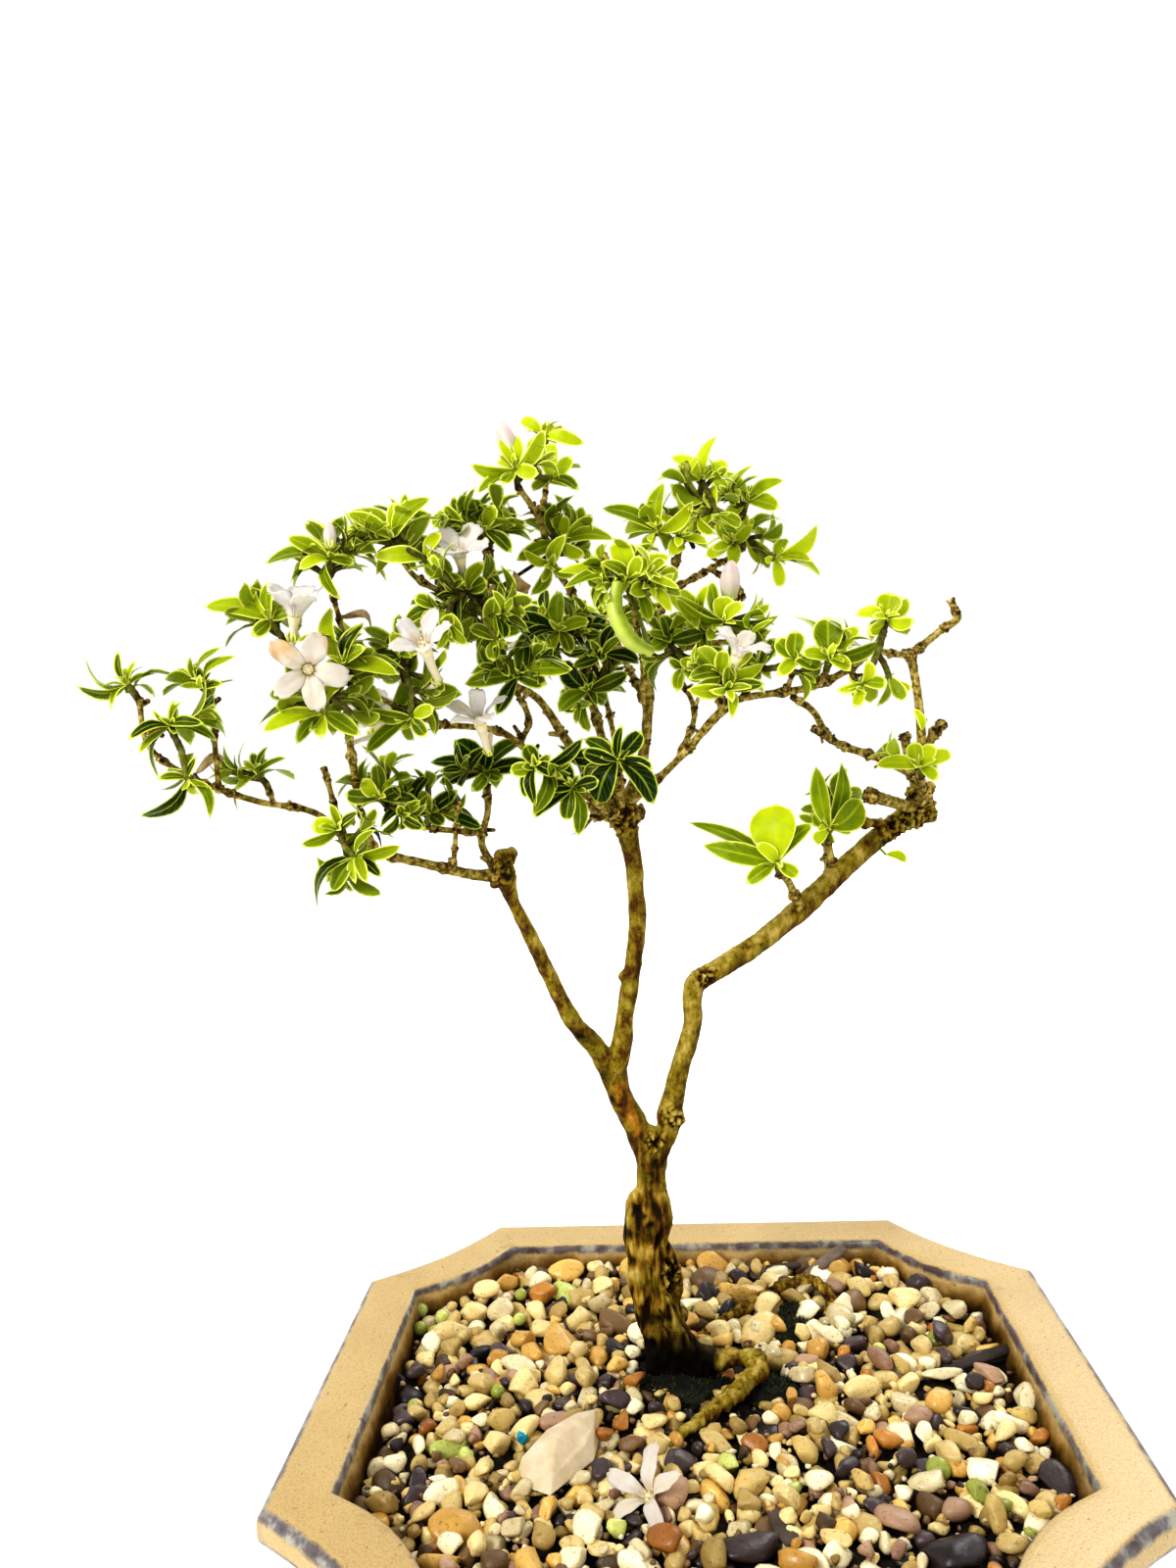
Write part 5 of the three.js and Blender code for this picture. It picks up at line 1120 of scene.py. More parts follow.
roughSpots = [  # place, radius of crusted knobs
    ((47, 27.5, 155), 7), ((51, 28.5, 159), 6), ((-33, -5.5, 154), 4), ((-11, 5, 162), 6),
    ((-7, 5.4, 96), 3), ((-3.4, 7, 100.5), 3), ((4, 8, 129), 3), ((-5, 7, 68), 4),
]
scars = [
    ((-13.4, 5.4, 107.6), 2.3), ((-12.7, 5.2, 105.4), 2.5), ((-12, 5.1, 103.2), 2.5), ((-11.1, 5, 101), 2.2),
    ((-10.2, 4.9, 98.9), 1.8), ((-8.8, 4.8, 91), 1.6), ((-11.6, 4.4, 117), 1.6), ((-9.2, 3.6, 72.5), 1.1),
    ((-8.4, 3.4, 64), 1.6), ((-8.6, 3.6, 58), 1.6),
]


def nodeSwell(place, turn, share):
    return 1 + 0.10 * wobble(place, 4.0, 2.0) + 0.06 * wobble(place, 1.6, 5.0)


def barkRelief(place):
    stretched = Vector((place[0], place[1], place[2] * 0.28))
    ridge = 1 - abs(noise.noise(stretched / 1.5)) * 2.2
    fine = noise.noise(stretched / 0.7 + Vector((9, 3, 1)))
    lump = noise.noise(Vector(place) / 3.2 + Vector((4, 1, 7)))
    crust = abs(noise.noise(Vector(place) / 1.1)) * 2 - 0.5 + 0.6 * noise.noise(Vector(place) / 0.6)
    return ridge, fine, lump, crust


# 1 at the centre, falling away over about the radius
def nearness(place, centre, radius, sharpness):
    return math.exp(-sharpness * (np.linalg.norm(place - np.array(centre)) / radius) ** 2)


def valuesOf(items, key):
    values = np.zeros(len(items) * 3)
    items.foreach_get(key, values)
    return values.reshape(-1, 3)


def makeStems():
    skin = newSkin()
    trunk = smoothRoute(trunkRoute, 1.2)
    trunk[:, 3] *= barkSize["core"]
    addLimb(skin, trunk, 16, (0, 0, 0, 1))
    for strand in trunkStrands:
        addLimb(skin, smoothRoute(strand, 1.0), 12, (0, 0, 0, 1), nodeSwell)
    for route in stemRoutes + surfaceRoots:
        addLimb(skin, smoothRoute(route, 1.0), 14, (0, 0, 0, 1), nodeSwell)
    # healed stubs, lumps and the rough knob at the end of the right branch
    for place, axis, length, radius in stubs:
        end = np.array(place) + unit(axis) * length
        radii = (radius, radius * 0.9, radius * 0.72)
        addStalk(skin, place, end, radii, 10, (0, 0, 0, 1), swell=nodeSwell, stepLength=0.5)
    draft = addObject("stemDraft", toMesh("stemDraft", skin))
    addModifier(draft, "REMESH", mode="VOXEL", voxel_size=barkSize["voxel"] * mm)
    addModifier(draft, "SMOOTH", iterations=2, factor=0.5)
    mesh = applyModifiers(draft)
    mesh.materials.clear()
    mesh.update()
    points = (valuesOf(mesh.vertices, "co") - np.array(potMiddle)) / mm
    normals = valuesOf(mesh.vertex_normals, "vector")
    paint = np.zeros((len(points), 4))
    moved = points.copy()
    for i, (place, normal) in enumerate(zip(points, normals)):
        ridge, fine, lump, crust = barkRelief(place)
        low = float(smoothStep(*barkSize["old"], place[2]))
        strength = 0.28 + 0.72 * low
        push = barkSize["ridge"] * strength * (0.7 * (ridge - 0.6) + 0.35 * fine)
        push += barkSize["knot"] * (0.3 + 0.5 * low) * lump
        rough = max(nearness(place, centre, radius, 2) for centre, radius in roughSpots)
        push += barkSize["crust"] * rough * crust
        # painted highlight on ridges and painted shade in furrows, from how far the bark is pushed out, a
        # little darker low on the trunk
        form = 0.5 + (0.75 + 0.3 * low) * push - 0.01 * low
        # painted shade in the hollows of the crusted knobs
        dark = (1.3 - 0.7 * low) * rough * max(0.0, -crust)
        for centre, radius, depth in shadedHollows:
            away = np.linalg.norm((place - np.array(centre)) * (1, 0.45, 0.8)) / radius
            if away < 2:
                inDent = math.exp(-away * away * 1.6)
                push -= depth * inDent
                # painted shade in the dent
                dark += 0.9 * inDent * (0.6 + 0.9 * abs(fine))
        scar = max(nearness(place, centre, radius, 1.2) for centre, radius in scars)
        moved[i] = place + normal * push
        fromFoot = math.hypot(place[0] + 5, place[1] - 8)
        # the foot of the trunk is painted darker just above the dressing
        darkFoot = float(smoothStep(*barkSize["darkFoot"], place[2] + 2.5 * lump) * smoothStep(10, 8, fromFoot))
        if place[2] < barkSize["rootsUnder"] and fromFoot > 9:
            scar = -1
            form = 0.52 + 0.25 * push
        young = 0.15 + 0.85 * float(smoothStep(*barkSize["young"], place[2]))
        if place[0] > -6.5 and place[1] < 8:
            young = max(young, 0.75)
        form += 0.22 * young * normal[2]  # painted highlight: the bark is painted paler on its upper side, where the light falls from above
        # the first paint value holds the painted shade and highlight of the bark
        paint[i] = (min(1, max(0, form - 0.6 * dark)), scar, darkFoot, young)
    mesh.vertices.foreach_set("co", (moved * mm + np.array(potMiddle)).ravel())
    if "paint" in mesh.attributes:
        mesh.attributes.remove(mesh.attributes["paint"])
    paintMesh(mesh, paint)
    placePiece("trunkAndStems", mesh, [barkFinish], ["wood"])


# place, direction, length, radius of short stubs and lumps on the stems
stubs = [
    ((45.5, 27, 155), (-0.75, -0.5, 0.15), 9, 1.2), ((38.8, 21, 156), (-0.5, -0.4, 0.7), 1.8, 1.4),
    ((50, 28, 157), (0.2, -0.9, 0.3), 2.6, 2.2), ((52, 29, 157), (0.8, -0.2, -0.3), 2.2, 2.2),
    ((50, 28, 160), (-0.2, -0.3, 1), 2.4, 2.0), ((53, 31, 161), (0.5, -0.3, 1), 2.2, 1.6),
    ((48, 27, 157.5), (-0.4, -0.8, 0.5), 2.0, 1.6), ((-33, -5.5, 154), (0.3, -0.9, 0.1), 1.8, 1.9),
    ((-32, -5, 156), (0.8, -0.3, 0.6), 1.6, 1.5), ((-34, -6, 151.5), (-0.6, -0.4, -0.5), 1.4, 1.3),
    ((-11, 5, 163), (-0.8, -0.5, 0.1), 2.6, 2.4), ((-10, 5, 161), (0.8, -0.5, 0.1), 2.4, 2.0),
    ((-11, 5, 164), (0.1, -0.9, 0.4), 2.2, 2.2), ((3, 9, 128), (-0.7, -0.5, 0.4), 1.4, 1.7),
    ((7, 11, 129.5), (0.2, -0.8, -0.4), 1.2, 1.5), ((-3.8, 8.2, 101), (0.4, -0.9, 0.1), 1.3, 2.1),
    ((-2.6, 8.6, 99.6), (0.8, -0.6, 0), 1.0, 1.6), ((-12, 8, 101.5), (-0.6, -0.6, -0.2), 1.3, 1.6),
    ((-8, 7.5, 92.5), (-0.3, -0.9, 0), 1.6, 2.6), ((-4.4, 10, 58), (0.9, -0.3, 0.2), 1.8, 2.2),
    ((-5, 9, 64), (0.9, -0.5, 0.2), 1.6, 1.8), ((16, 14, 134), (0.1, -0.9, 0.2), 1.0, 1.5),
    ((27, 19, 142), (-0.3, -0.7, 0.6), 1.3, 1.2), ((35, 23, 148), (0.4, -0.8, -0.2), 1.1, 1.3),
    ((-27, -1, 135.5), (0.8, -0.4, 0.1), 0.8, 1.0), ((-12, 5, 130), (-0.8, -0.4, 0), 0.7, 1.2),
    ((9.5, 4, 51), (0.4, -0.3, 0.9), 1.1, 1.2), ((3, 7, 51.5), (0.1, -0.5, 0.9), 0.9, 1.3),
    ((-5, 9, 44), (-0.8, -0.5, -0.4), 6.5, 3.0), ((-5, 9, 44), (0.9, -0.1, -0.4), 7.0, 3.0),
    ((-5, 9, 45), (0.3, -0.9, -0.45), 7.5, 2.8), ((-5, 10, 44), (0.3, 0.9, -0.4), 6.5, 2.6),
]


def makeBark():
    finish, shader = newFinish("oliveBark", 0.6, 0.12)
    form, scar, darkFoot, young = paintOf()  # form is painted shade and highlight, 0 in a furrow and 1 on a ridge; scar is under 0 on a root
    streak = noiseOf(900, 7, (1, 1, 0.18), 0.68)
    patch = noiseOf(260, 6, (1, 1, 0.24), 0.62)
    onRoot = maskOf(times(scar, -1.0), 0.1, 0.8)
    grain = mixOf(onRoot, plus(times(streak, 0.42), times(patch, 0.58)), noiseOf(420, 6, rough=0.6))
    grain = mixOf(times(young, 0.72), grain, noiseOf(330, 8, (1, 1, 0.7), 0.7))
    # grain with the painted shade and highlight of the relief
    shade = plus(grain, times(plus(form, -0.5), 0.34))
    crackAndShade, brown, pale = barkColours["crackAndShade"], barkColours["brown"], barkColours["pale"]
    smooth = rampOf(shade, [(0.35, crackAndShade), (0.44, brown), (0.52, barkColours["olive"]), (0.69, pale)])
    rough = rampOf(shade, [(0.41, crackAndShade), (0.49, brown), (0.57, barkColours["tan"]), (0.70, pale)])
    body = mixOf(young, rough, smooth)
    body = mixOf(times(maskOf(noiseOf(230, 6, rough=0.7), 0.5, 0.64), 0.4), body, barkColours["green"])
    body = mixOf(times(maskOf(noiseOf(1300, 2), 0.33, 0.29), 0.7), body, crackAndShade)
    scarTone = rampOf(shade, [(0.38, barkColours["scarDark"]), (0.54, barkColours["scar"]),
                              (0.68, barkColours["scarPale"])])
    body = mixOf(times(maskOf(ruffled(scar, grain, 1.6), 0.42, 0.66), 0.8), body, scarTone)
    # painted shade: the deepest hollows take the crack colour
    body = mixOf(maskOf(form, 0.30, 0.08), body, crackAndShade)
    # darker towards the foot of the trunk
    setColour(shader, mixOf(darkFoot, body, barkColours["darkFoot"]))
    bumpOf(shader, streak, 0.7, 0.6)
    return finish


def makeTwigBark():
    finish, shader = newFinish("crustedTwig", 0.75, 0.2)
    crust, green, form, _ = paintOf()
    grain = noiseOf(900, 5, (1, 1, 1), 0.65)
    smooth = rampOf(grain, [(0.36, barkColours["brown"]), (0.45, barkColours["twigDark"]),
                            (0.56, barkColours["twigPale"]), (0.68, barkColours["pale"])])
    rough = rampOf(grain, [(0.38, barkColours["crackAndShade"]), (0.46, barkColours["crustDark"]),
                           (0.54, barkColours["crustMid"]), (0.64, barkColours["crustPale"])])
    body = mixOf(crust, smooth, rough)
    body = mixOf(times(maskOf(form, 0.42, 0.22), crust), body, barkColours["crackAndShade"])
    setColour(shader, mixOf(green, body, barkColours["twigGreen"]))
    bumpOf(shader, grain, 0.8, 0.35)
    return finish


barkFinish, twigFinish = makeBark(), makeTwigBark()
twigRule = {
    "seed": 5, "sides": 10, "step": 0.45, "gap": (3.0, 7.5), "slim": 0.86, "swell": 0.42,
    "spurs": (2, 5), "fewSpurs": (0, 2), "spur": (0.0, 0.45), "longSpur": (1.0, 2.2), "longShare": 0.08,
}


# Twigs are slender between crusted knuckles of old leaf bases, and end in one.
def makeTwigs():
    chance = random.Random(twigRule["seed"])
    skin = newSkin()
    for index, route in enumerate(twigRoutes):
        path = smoothRoute(route, twigRule["step"])
        walked = np.concatenate([[0], np.cumsum(np.linalg.norm(np.diff(path[:, :3], axis=0), axis=1))])
        knuckles = [walked[-1]]
        place = chance.uniform(0.5, 3)
        while place < walked[-1] - 1.5:
            knuckles.append(place)
            place += chance.uniform(*twigRule["gap"]) * (1.5 if route[0][3] > 1.1 else 1)
        lumps = np.max([np.exp(-((walked - k) / chance.uniform(0.7, 1.2)) ** 2) for k in knuckles], axis=0)
        if route[0][3] > 1.7:  # a thick stub keeps its crust for the end
            lumps = np.exp(-((walked - walked[-1]) / 2.2) ** 2)
        radii = path[:, 3].copy()
        path[:, 3] *= twigRule["slim"] + twigRule["swell"] * lumps * np.clip(1.6 - radii * 0.6, 0.4, 1)

        def swell(place, turn, share):
            lump = lumps[int(round(share * (len(lumps) - 1)))]
            rough = 0.10 + twigRule["swell"] * lump
            return 1 + rough * wobble(place, 0.5, index) + 0.10 * wobble(place, 1.5, index + 3)

        addLimb(skin, path, twigRule["sides"], (0, 0, 0, 1), swell)
        rough = np.repeat(0.12 + 0.88 * lumps, twigRule["sides"])
        rough = np.append(rough, (rough[0], rough[-1]))
        form = [0.5 + 0.9 * wobble(point, 0.5, index) for point in skin["points"][-1]]
        skin["paint"][-1] = np.array([(r, 0, f, 1) for r, f in zip(rough, form)])
        for knuckle in knuckles:
            i = min(len(path) - 2, max(1, int(np.searchsorted(walked, knuckle))))
            along = unit(path[i + 1][:3] - path[i - 1][:3])
            for _ in range(chance.randint(*twigRule["spurs" if radii[i] < 1.3 else "fewSpurs"])):
                lean = unit(squareTo(anyWay(chance), along) + along * chance.uniform(-0.1, 0.9))
                stretch = twigRule["longSpur" if chance.random() < twigRule["longShare"] else "spur"]
                length = radii[i] + chance.uniform(*stretch)
                radius = chance.uniform(0.3, 0.5)
                foot = path[i][:3] + along * chance.uniform(-0.7, 0.7)
                tip = foot + lean * length
                if insideBox(tip, 0.6):
                    addStalk(skin, foot, tip, (radius * 1.3, radius * 1.05, radius * 0.85), 6,
                             (1, 0, chance.uniform(0.25, 0.85), 1))
    placeSkin("twigs", skin, [twigFinish], ["wood"])


makeStems()
makeTwigs()
print("wood grown")


# leafy sprays: tone from old and shaded (0) to young and sunlit (1), number of unlisted side shoots,
# then shoots, each as the points it runs through and the leaves spread from its end
# leaf: direction seen from the front in degrees, length, width as seen, lean towards the front in degrees

sprays = {
    "tip_left": (0.4, 0, [
        ([(-87.5, -35, 188.5), (-88, -36, 190.5)],
         [(156, 9, 1.3, 10), (188, 7.5, 1.4, 25), (105, 5.5, 1.5, 5), (60, 4.5, 1.3, 20),
          (130, 5.5, 1.3, -40), (30, 4.5, 1.3, -30), (230, 4.5, 1.2, 30)]),
    ]),
    "low_left": (0.35, 1, [
        ([(-83.5, -34, 183.5), (-81.5, -36, 183.5)],
         [(65, 4.5, 1.3, 5), (7, 6, 1.5, 20), (-16, 7.5, 1.4, -10), (188, 6.5, 1.2, 35), (222, 6.5, 1.3, 30),
          (248, 8.5, 1.5, 15), (120, 4, 1.2, 40)]),
        ([(-81.5, -36, 183.5), (-79, -38, 179), (-78.5, -38, 175)],
         [(225, 9.5, 1.5, 10), (62, 4, 1.2, 10), (-51, 7, 1.3, 5), (170, 4.5, 1.2, 30)]),
    ]),
    "up_left": (0.4, 1, [
        ([(-78, -27, 188), (-78, -29, 189.5)],
         [(115, 4.5, 1.2, -10), (50, 7.5, 1.4, 15), (170, 4, 1.2, 20), (10, 4.5, 1.3, 35),
          (85, 3.5, 1.1, 60)]),
    ]),
    "mid_left": (0.4, 2, [
        ([(-72, -20.5, 173.5), (-72.5, -22.5, 174.5)],
         [(67, 5, 1.4, 5), (27, 6, 1.4, 10), (215, 4.5, 1.3, 25), (172, 10.5, 1.4, -5),
          (110, 4.5, 1.4, -30)]),
    ]),
    "far_left": (0.55, 3, [
        ([(-64.5, -29.5, 197.5), (-65.5, -31, 200)],
         [(161, 11, 2.6, 5), (132, 6.5, 3.3, -15), (90, 6, 2.6, 10), (230, 4, 2.2, 40), (60, 4.5, 2.2, -20),
          (20, 4, 2, 10)]),
    ]),
    "high_left": (0.5, 8, [
        ([(-57, -24, 207.5), (-56.5, -25.5, 210)],
         [(148, 7.5, 2.6, 20), (176, 11, 1.9, 5), (196, 5.5, 2.2, 40), (206, 9.5, 2.2, -10), (62, 4, 2, -40),
          (-12, 4.5, 2, 15), (-82, 7.5, 2, 30), (130, 4.5, 2.8, -35)]),
    ]),
    "fill_left": (0.5, 11, [
        ([(-55, -29, 190), (-53.5, -32.5, 192)],
         [(107, 10, 3.3, -5), (65, 7.5, 2.6, 10), (35, 5.5, 2.4, 30), (-8, 9, 2.7, 5), (205, 3.5, 2.9, 50)]),
        ([(-53.5, -32.5, 192), (-55.5, -34.5, 188), (-57, -33.5, 184.5)],
         [(178, 11, 2.7, 0), (192, 10, 2.6, 30), (-31, 7, 2.6, 10), (52, 8, 2.2, 15), (225, 6.5, 2.2, 15),
          (270, 4.5, 2.2, 30)]),
    ]),
    "sprig_left": (0.4, 8, [
        ([(-46, -22, 191), (-46, -23.5, 193)],
         [(100, 4.5, 2.6, 5), (165, 4.5, 2.4, 25), (30, 4.5, 2.4, 15), (220, 3.5, 2.2, 45)]),
        ([(-46, -23.5, 193), (-44, -27, 188), (-44, -27, 183)],
         [(170, 7, 2.4, 10), (213, 9.5, 2.6, 10), (20, 4.5, 2.2, 20), (-50, 4.5, 2.2, 30)]),
    ]),
    "shoulder_left": (0.5, 9, [
        ([(-46.5, -22, 212), (-46, -23.5, 213)],
         [(146, 8.5, 2.6, 20), (178, 8, 3, 0), (120, 4.5, 2.4, -30), (139, 10, 2.1, -10), (83, 6, 2.4, 5),
          (50, 9, 3.4, 10)]),
        ([(-46, -23.5, 213), (-43, -24.5, 210.5), (-41, -22, 209.5)],
         [(174, 8.5, 2.8, 30), (60, 5, 2.3, 10), (10, 4, 2.1, 30), (-60, 4, 2.1, 15)]),
    ]),
    "crown_left": (0.45, 12, [
        ([(-32, -10, 213), (-32, -13, 215)],
         [(158, 10, 2.5, 5), (32, 5.5, 3.3, -5), (-38, 6, 2.5, 10), (95, 5, 2.3, -20), (200, 5, 2.3, 30),
          (60, 5, 2.5, 30)]),
    ]),
    "inner_left": (0.3, 13, [
        ([(-34.5, -16, 203), (-34.5, -19, 204)],
         [(146, 5, 2.5, 10), (62, 5.5, 2.5, 15), (20, 4.5, 2.8, 35), (240, 4.5, 2.3, 20)]),
        ([(-34.5, -19, 204), (-36.5, -22.5, 202.5), (-39, -23.5, 201)],
         [(-60, 6.5, 3.4, 10), (197, 6.5, 2.4, 10), (150, 4.5, 2.2, 25), (230, 4.5, 2.2, 35)]),
        ([(-34.5, -19, 204), (-31.5, -21, 199), (-30, -20, 195.5)],
         [(88, 7.5, 3.4, 20), (150, 5, 2.5, 20), (20, 4.5, 2.3, 10), (260, 4, 2.5, 30)]),
    ]),
    "top_a": (0.62, 1, [
        ([(-26.5, -6.5, 224.5), (-26.5, -8.5, 226)],
         [(100, 6.5, 4.1, 0), (178, 8, 2.1, 5), (209, 8, 2.1, 15), (235, 4.5, 2.3, 40), (45, 8.5, 2.3, 5),
          (-20, 5, 2.5, 35), (140, 5, 2.3, -35)]),
        ([(-26.5, -8.5, 226), (-23.5, -4, 225.5), (-21, 0, 225.5)],
         [(85, 6.5, 3.9, 10), (41, 5.5, 2.4, 5), (215, 4.5, 2.6, 35), (-20, 6, 2.4, 25)]),
    ]),
    "top_b": (0.8, 1, [
        ([(-22, 9, 233.5), (-22.5, 9, 235)],
         [(135, 7, 2.8, 0), (-10, 7.5, 2.6, 10), (60, 4, 2, -20), (200, 5, 2.4, -30), (30, 5, 2.2, -30)]),
    ]),
    "top_d": (0.5, 7, [
        ([(-21, 5.5, 212), (-19.5, 2.5, 214)],
         [(80, 5, 2.8, 15), (41, 7, 2.4, 0), (7, 9.5, 2.8, 5), (198, 9.5, 2.8, 25), (230, 5, 2.6, 40),
          (-40, 5, 2.6, 25)]),
    ]),
    "centre": (0.72, 10, [
        ([(-7, -11, 203.5), (-7, -14, 205)],
         [(104, 7, 3.8, 5), (168, 12.5, 2.7, 0), (178, 11.5, 2.5, 20), (30, 8, 2.9, 5), (140, 6, 2.3, 35),
          (60, 5, 2.3, 40), (230, 4.5, 2.5, 40)]),
    ]),
    "right_top": (0.75, 5, [
        ([(2, 17, 213), (-1.5, 9.5, 216)],
         [(150, 11.5, 2.8, 5), (86, 9.5, 3.4, 0), (30, 8.5, 2.8, 15), (165, 7.5, 3, -20), (8, 7, 3.2, -35),
          (230, 5, 2.6, -35), (-50, 5, 2.6, -40)]),
    ]),
    "crest": (0.8, 4, [
        ([(7.5, 15.5, 224), (7.5, 14, 226)],
         [(74, 9, 2.8, 0), (134, 7.5, 2.8, 5), (95, 6, 2.6, -30), (170, 5.5, 2.8, -25), (30, 6, 2.8, 10),
          (60, 6, 2.6, -40)]),
        ([(7.5, 14, 226), (9, 11.5, 222), (10, 11.5, 219)],
         [(99, 7, 3, -25), (-20, 6, 2.6, -25), (210, 5, 2.6, -30)]),
    ]),
    "fan_right": (0.85, 4, [
        ([(17, 25.5, 221.5), (17, 24.5, 223)],
         [(125, 8.5, 3.1, 0), (32, 8.5, 2.9, 5), (75, 4.5, 2.3, -30), (-12, 6.5, 3.3, 15),
          (215, 6, 2.9, -25), (60, 6, 2.7, -40)]),
    ]),
    "fan_low": (0.85, 4, [
        ([(17.5, 36.5, 215.5), (17, 31.5, 217)],
         [(105, 5, 3.3, 10), (160, 9, 2.7, 0), (30, 9, 2.9, -5), (-48, 8, 3.6, -20)]),
        ([(17, 31.5, 217), (20, 29.5, 213.5), (22.5, 27.5, 211.5)],
         [(28, 11, 3.3, 5), (-2, 7.5, 2.7, 15), (-16, 10.5, 2.3, -5), (-80, 6, 2.5, 10), (60, 6, 2.7, -30)]),
    ]),
    "side_right": (0.72, 5, [
        ([(9.5, 0, 197.5), (9.6, -3, 197.6)],
         [(92, 4.6, 4.2, 20), (154, 11, 2.4, 0), (162, 10, 2.4, 25), (-4, 10, 2.7, 5), (105, 8, 2.4, -15),
          (230, 5, 2.4, 30), (40, 5, 2.5, 30)]),
    ]),
    "under_leaf": (0.3, 3, [
        ([(-1, 5, 192.5), (-0.5, -1, 194.5)],
         [(60, 5.5, 2.4, 10), (10, 8, 2.8, 15), (95, 5, 2.8, 20), (200, 4.5, 2.6, 45)]),
        ([(-0.5, -1, 194.5), (1.5, -3, 191.5), (2, -4, 189.5)],
         [(-15, 6, 2.5, 20), (23, 8, 2.5, 10), (-45, 4.5, 2.3, 30), (250, 4.5, 2.3, 20)]),
    ]),
    "branch_a": (0.6, 3, [
        ([(8.5, -9, 186.5), (8.5, -12, 187.5)],
         [(129, 6.5, 3.8, 5), (174, 6, 2.7, 30), (39, 7.5, 2.5, 0), (7, 7.5, 2.5, 15), (207, 6, 2.1, 15),
          (85, 5, 2.5, 30)]),
    ]),
    "branch_b": (0.5, 3, [
        ([(15.5, -5, 187.5), (15.5, -8, 188.5)], [(60, 6, 2.5, 5), (96, 8, 2.1, -5), (150, 5, 2.5, 35)]),
        ([(15.5, -8, 188.5), (18, -13.5, 188.5), (21, -15.5, 189.5)],
         [(87, 5, 3.1, 10), (-17, 5, 2.5, 30), (130, 5, 2.9, 15), (215, 4.5, 2.3, 40)]),
    ]),
    "branch_c": (0.75, 2, [
        ([(26.5, -16, 188), (26.5, -18, 189.5)],
         [(90, 7, 4.7, 0), (116, 9.5, 2.5, -15), (46, 7.5, 2.8, -5), (12, 9, 2.7, 10), (165, 5, 2.5, 25),
          (-30, 4.5, 2.5, 40)]),
    ]),
    "branch_end": (0.75, 1, [
        ([(36, -17.5, 194), (36, -19.5, 195.5)],
         [(80, 4.5, 4, 5), (160, 5, 2.3, 10), (38, 5, 2.5, 0), (-14, 4.5, 2.3, 25), (215, 4.5, 2.3, 35)]),
        ([(36, -19.5, 195.5), (33.5, -23.5, 189.5), (31, -23.5, 185)],
         [(70, 4, 2.4, 25), (250, 4, 2.2, 10), (0, 4, 2.2, 20)]),
    ]),
    "heart_left": (0.25, 8, [
        ([(-20, 15.5, 196.5), (-21, 3.5, 197.5)],
         [(163, 11, 4.2, 5), (90, 7.5, 4, 5), (193, 9.5, 2.2, 20), (20, 6, 2.8, 15), (300, 5, 2.6, 30),
          (240, 5, 2.6, 35)]),
    ]),
    "heart_low": (0.2, 5, [
        ([(-28, -14, 188), (-27, -17.5, 189)],
         [(75, 6.5, 3.8, 0), (183, 9, 2.8, 15), (9, 9.5, 2.7, 5), (-14, 5.5, 2.8, 30), (239, 7.5, 2.5, 15),
          (130, 5, 2.7, 20)]),
    ]),
    "heart_mid": (0.15, 9, [
        ([(-15.5, 29, 184), (-16, 16, 185.5), (-16.5, 10.5, 186)],
         [(132, 7.5, 4.2, 5), (20, 8.5, 3, 5), (207, 7, 3.4, 15), (2, 8.5, 2.6, -25), (-35, 5, 2.4, -30),
          (90, 5, 2.6, -40)]),
        ([(-16, 16, 185.5), (-13, 11.5, 190), (-13, 9.5, 193)],
         [(-12, 8, 3, -25), (95, 5, 2.6, -20), (70, 6, 2.8, 10), (185, 6, 2.6, -30)]),
    ]),
    "node_front": (-0.12, 0, [
        ([(-10.5, -8.5, 172), (-10.5, -11, 173.5)],
         [(46, 6.5, 3.1, 5), (143, 7, 2.7, 0), (165, 6.5, 2.7, 25), (176, 9.5, 2.9, -10),
          (238, 8.5, 4.8, 15), (-16, 6.5, 2.7, 15), (-46, 10, 4.2, 10), (82, 6.5, 1.9, 20)]),
    ]),
    "node_left": (0.05, 1, [
        ([(-18.5, -11.5, 167.5), (-18.5, -14.5, 169)],
         [(114, 6, 2.7, 0), (210, 8.5, 2.7, 10), (255, 6, 2.7, 25), (170, 5, 2.5, 30), (15, 5, 2.5, 20),
          (-82, 8.5, 2.5, 5)]),
    ]),
    "window": (0.05, 1, [
        ([(-35, -4.5, 170.5), (-35, -8, 172)],
         [(125, 8, 3.9, 5), (75, 5.5, 3.3, 30), (43, 9.5, 2.9, 0), (161, 10, 2.1, 15), (187, 8.5, 2.5, 10),
          (11, 9, 2.9, 15), (-15, 4.5, 2.3, 40), (240, 4.5, 2.3, 45)]),
    ]),
    "window_left": (0.4, 6, [
        ([(-52, -17, 167.5), (-52, -19.5, 169)],
         [(92, 6, 2.6, 0), (125, 4.5, 2.6, 20), (172, 6, 2.6, 10), (22, 4.5, 2.5, 20), (-2, 6.5, 2.1, 0)]),
    ]),
    "knot_left": (0.2, 4, [
        ([(-44.5, -12, 164), (-44.5, -14.5, 165.5)],
         [(104, 4.5, 2.7, 20), (38, 6.5, 2.5, 5), (160, 4.5, 2.3, 25), (-30, 4.5, 2.3, 40)]),
    ]),
    "low_cluster": (0.35, 3, [
        ([(-59, -20, 163), (-58.5, -23.5, 164.5)],
         [(168, 4.5, 2.9, 20), (40, 4.5, 1.4, 10), (204, 7, 1.4, 10), (100, 4.5, 1.4, 15)]),
        ([(-58.5, -23.5, 164.5), (-56.5, -27, 161.5), (-55, -27, 160)],
         [(233, 7, 2.7, 15), (-34, 6, 1.4, 20), (221, 12, 2.2, 0), (-55, 5.5, 1.4, 40), (9, 8, 2.2, 5),
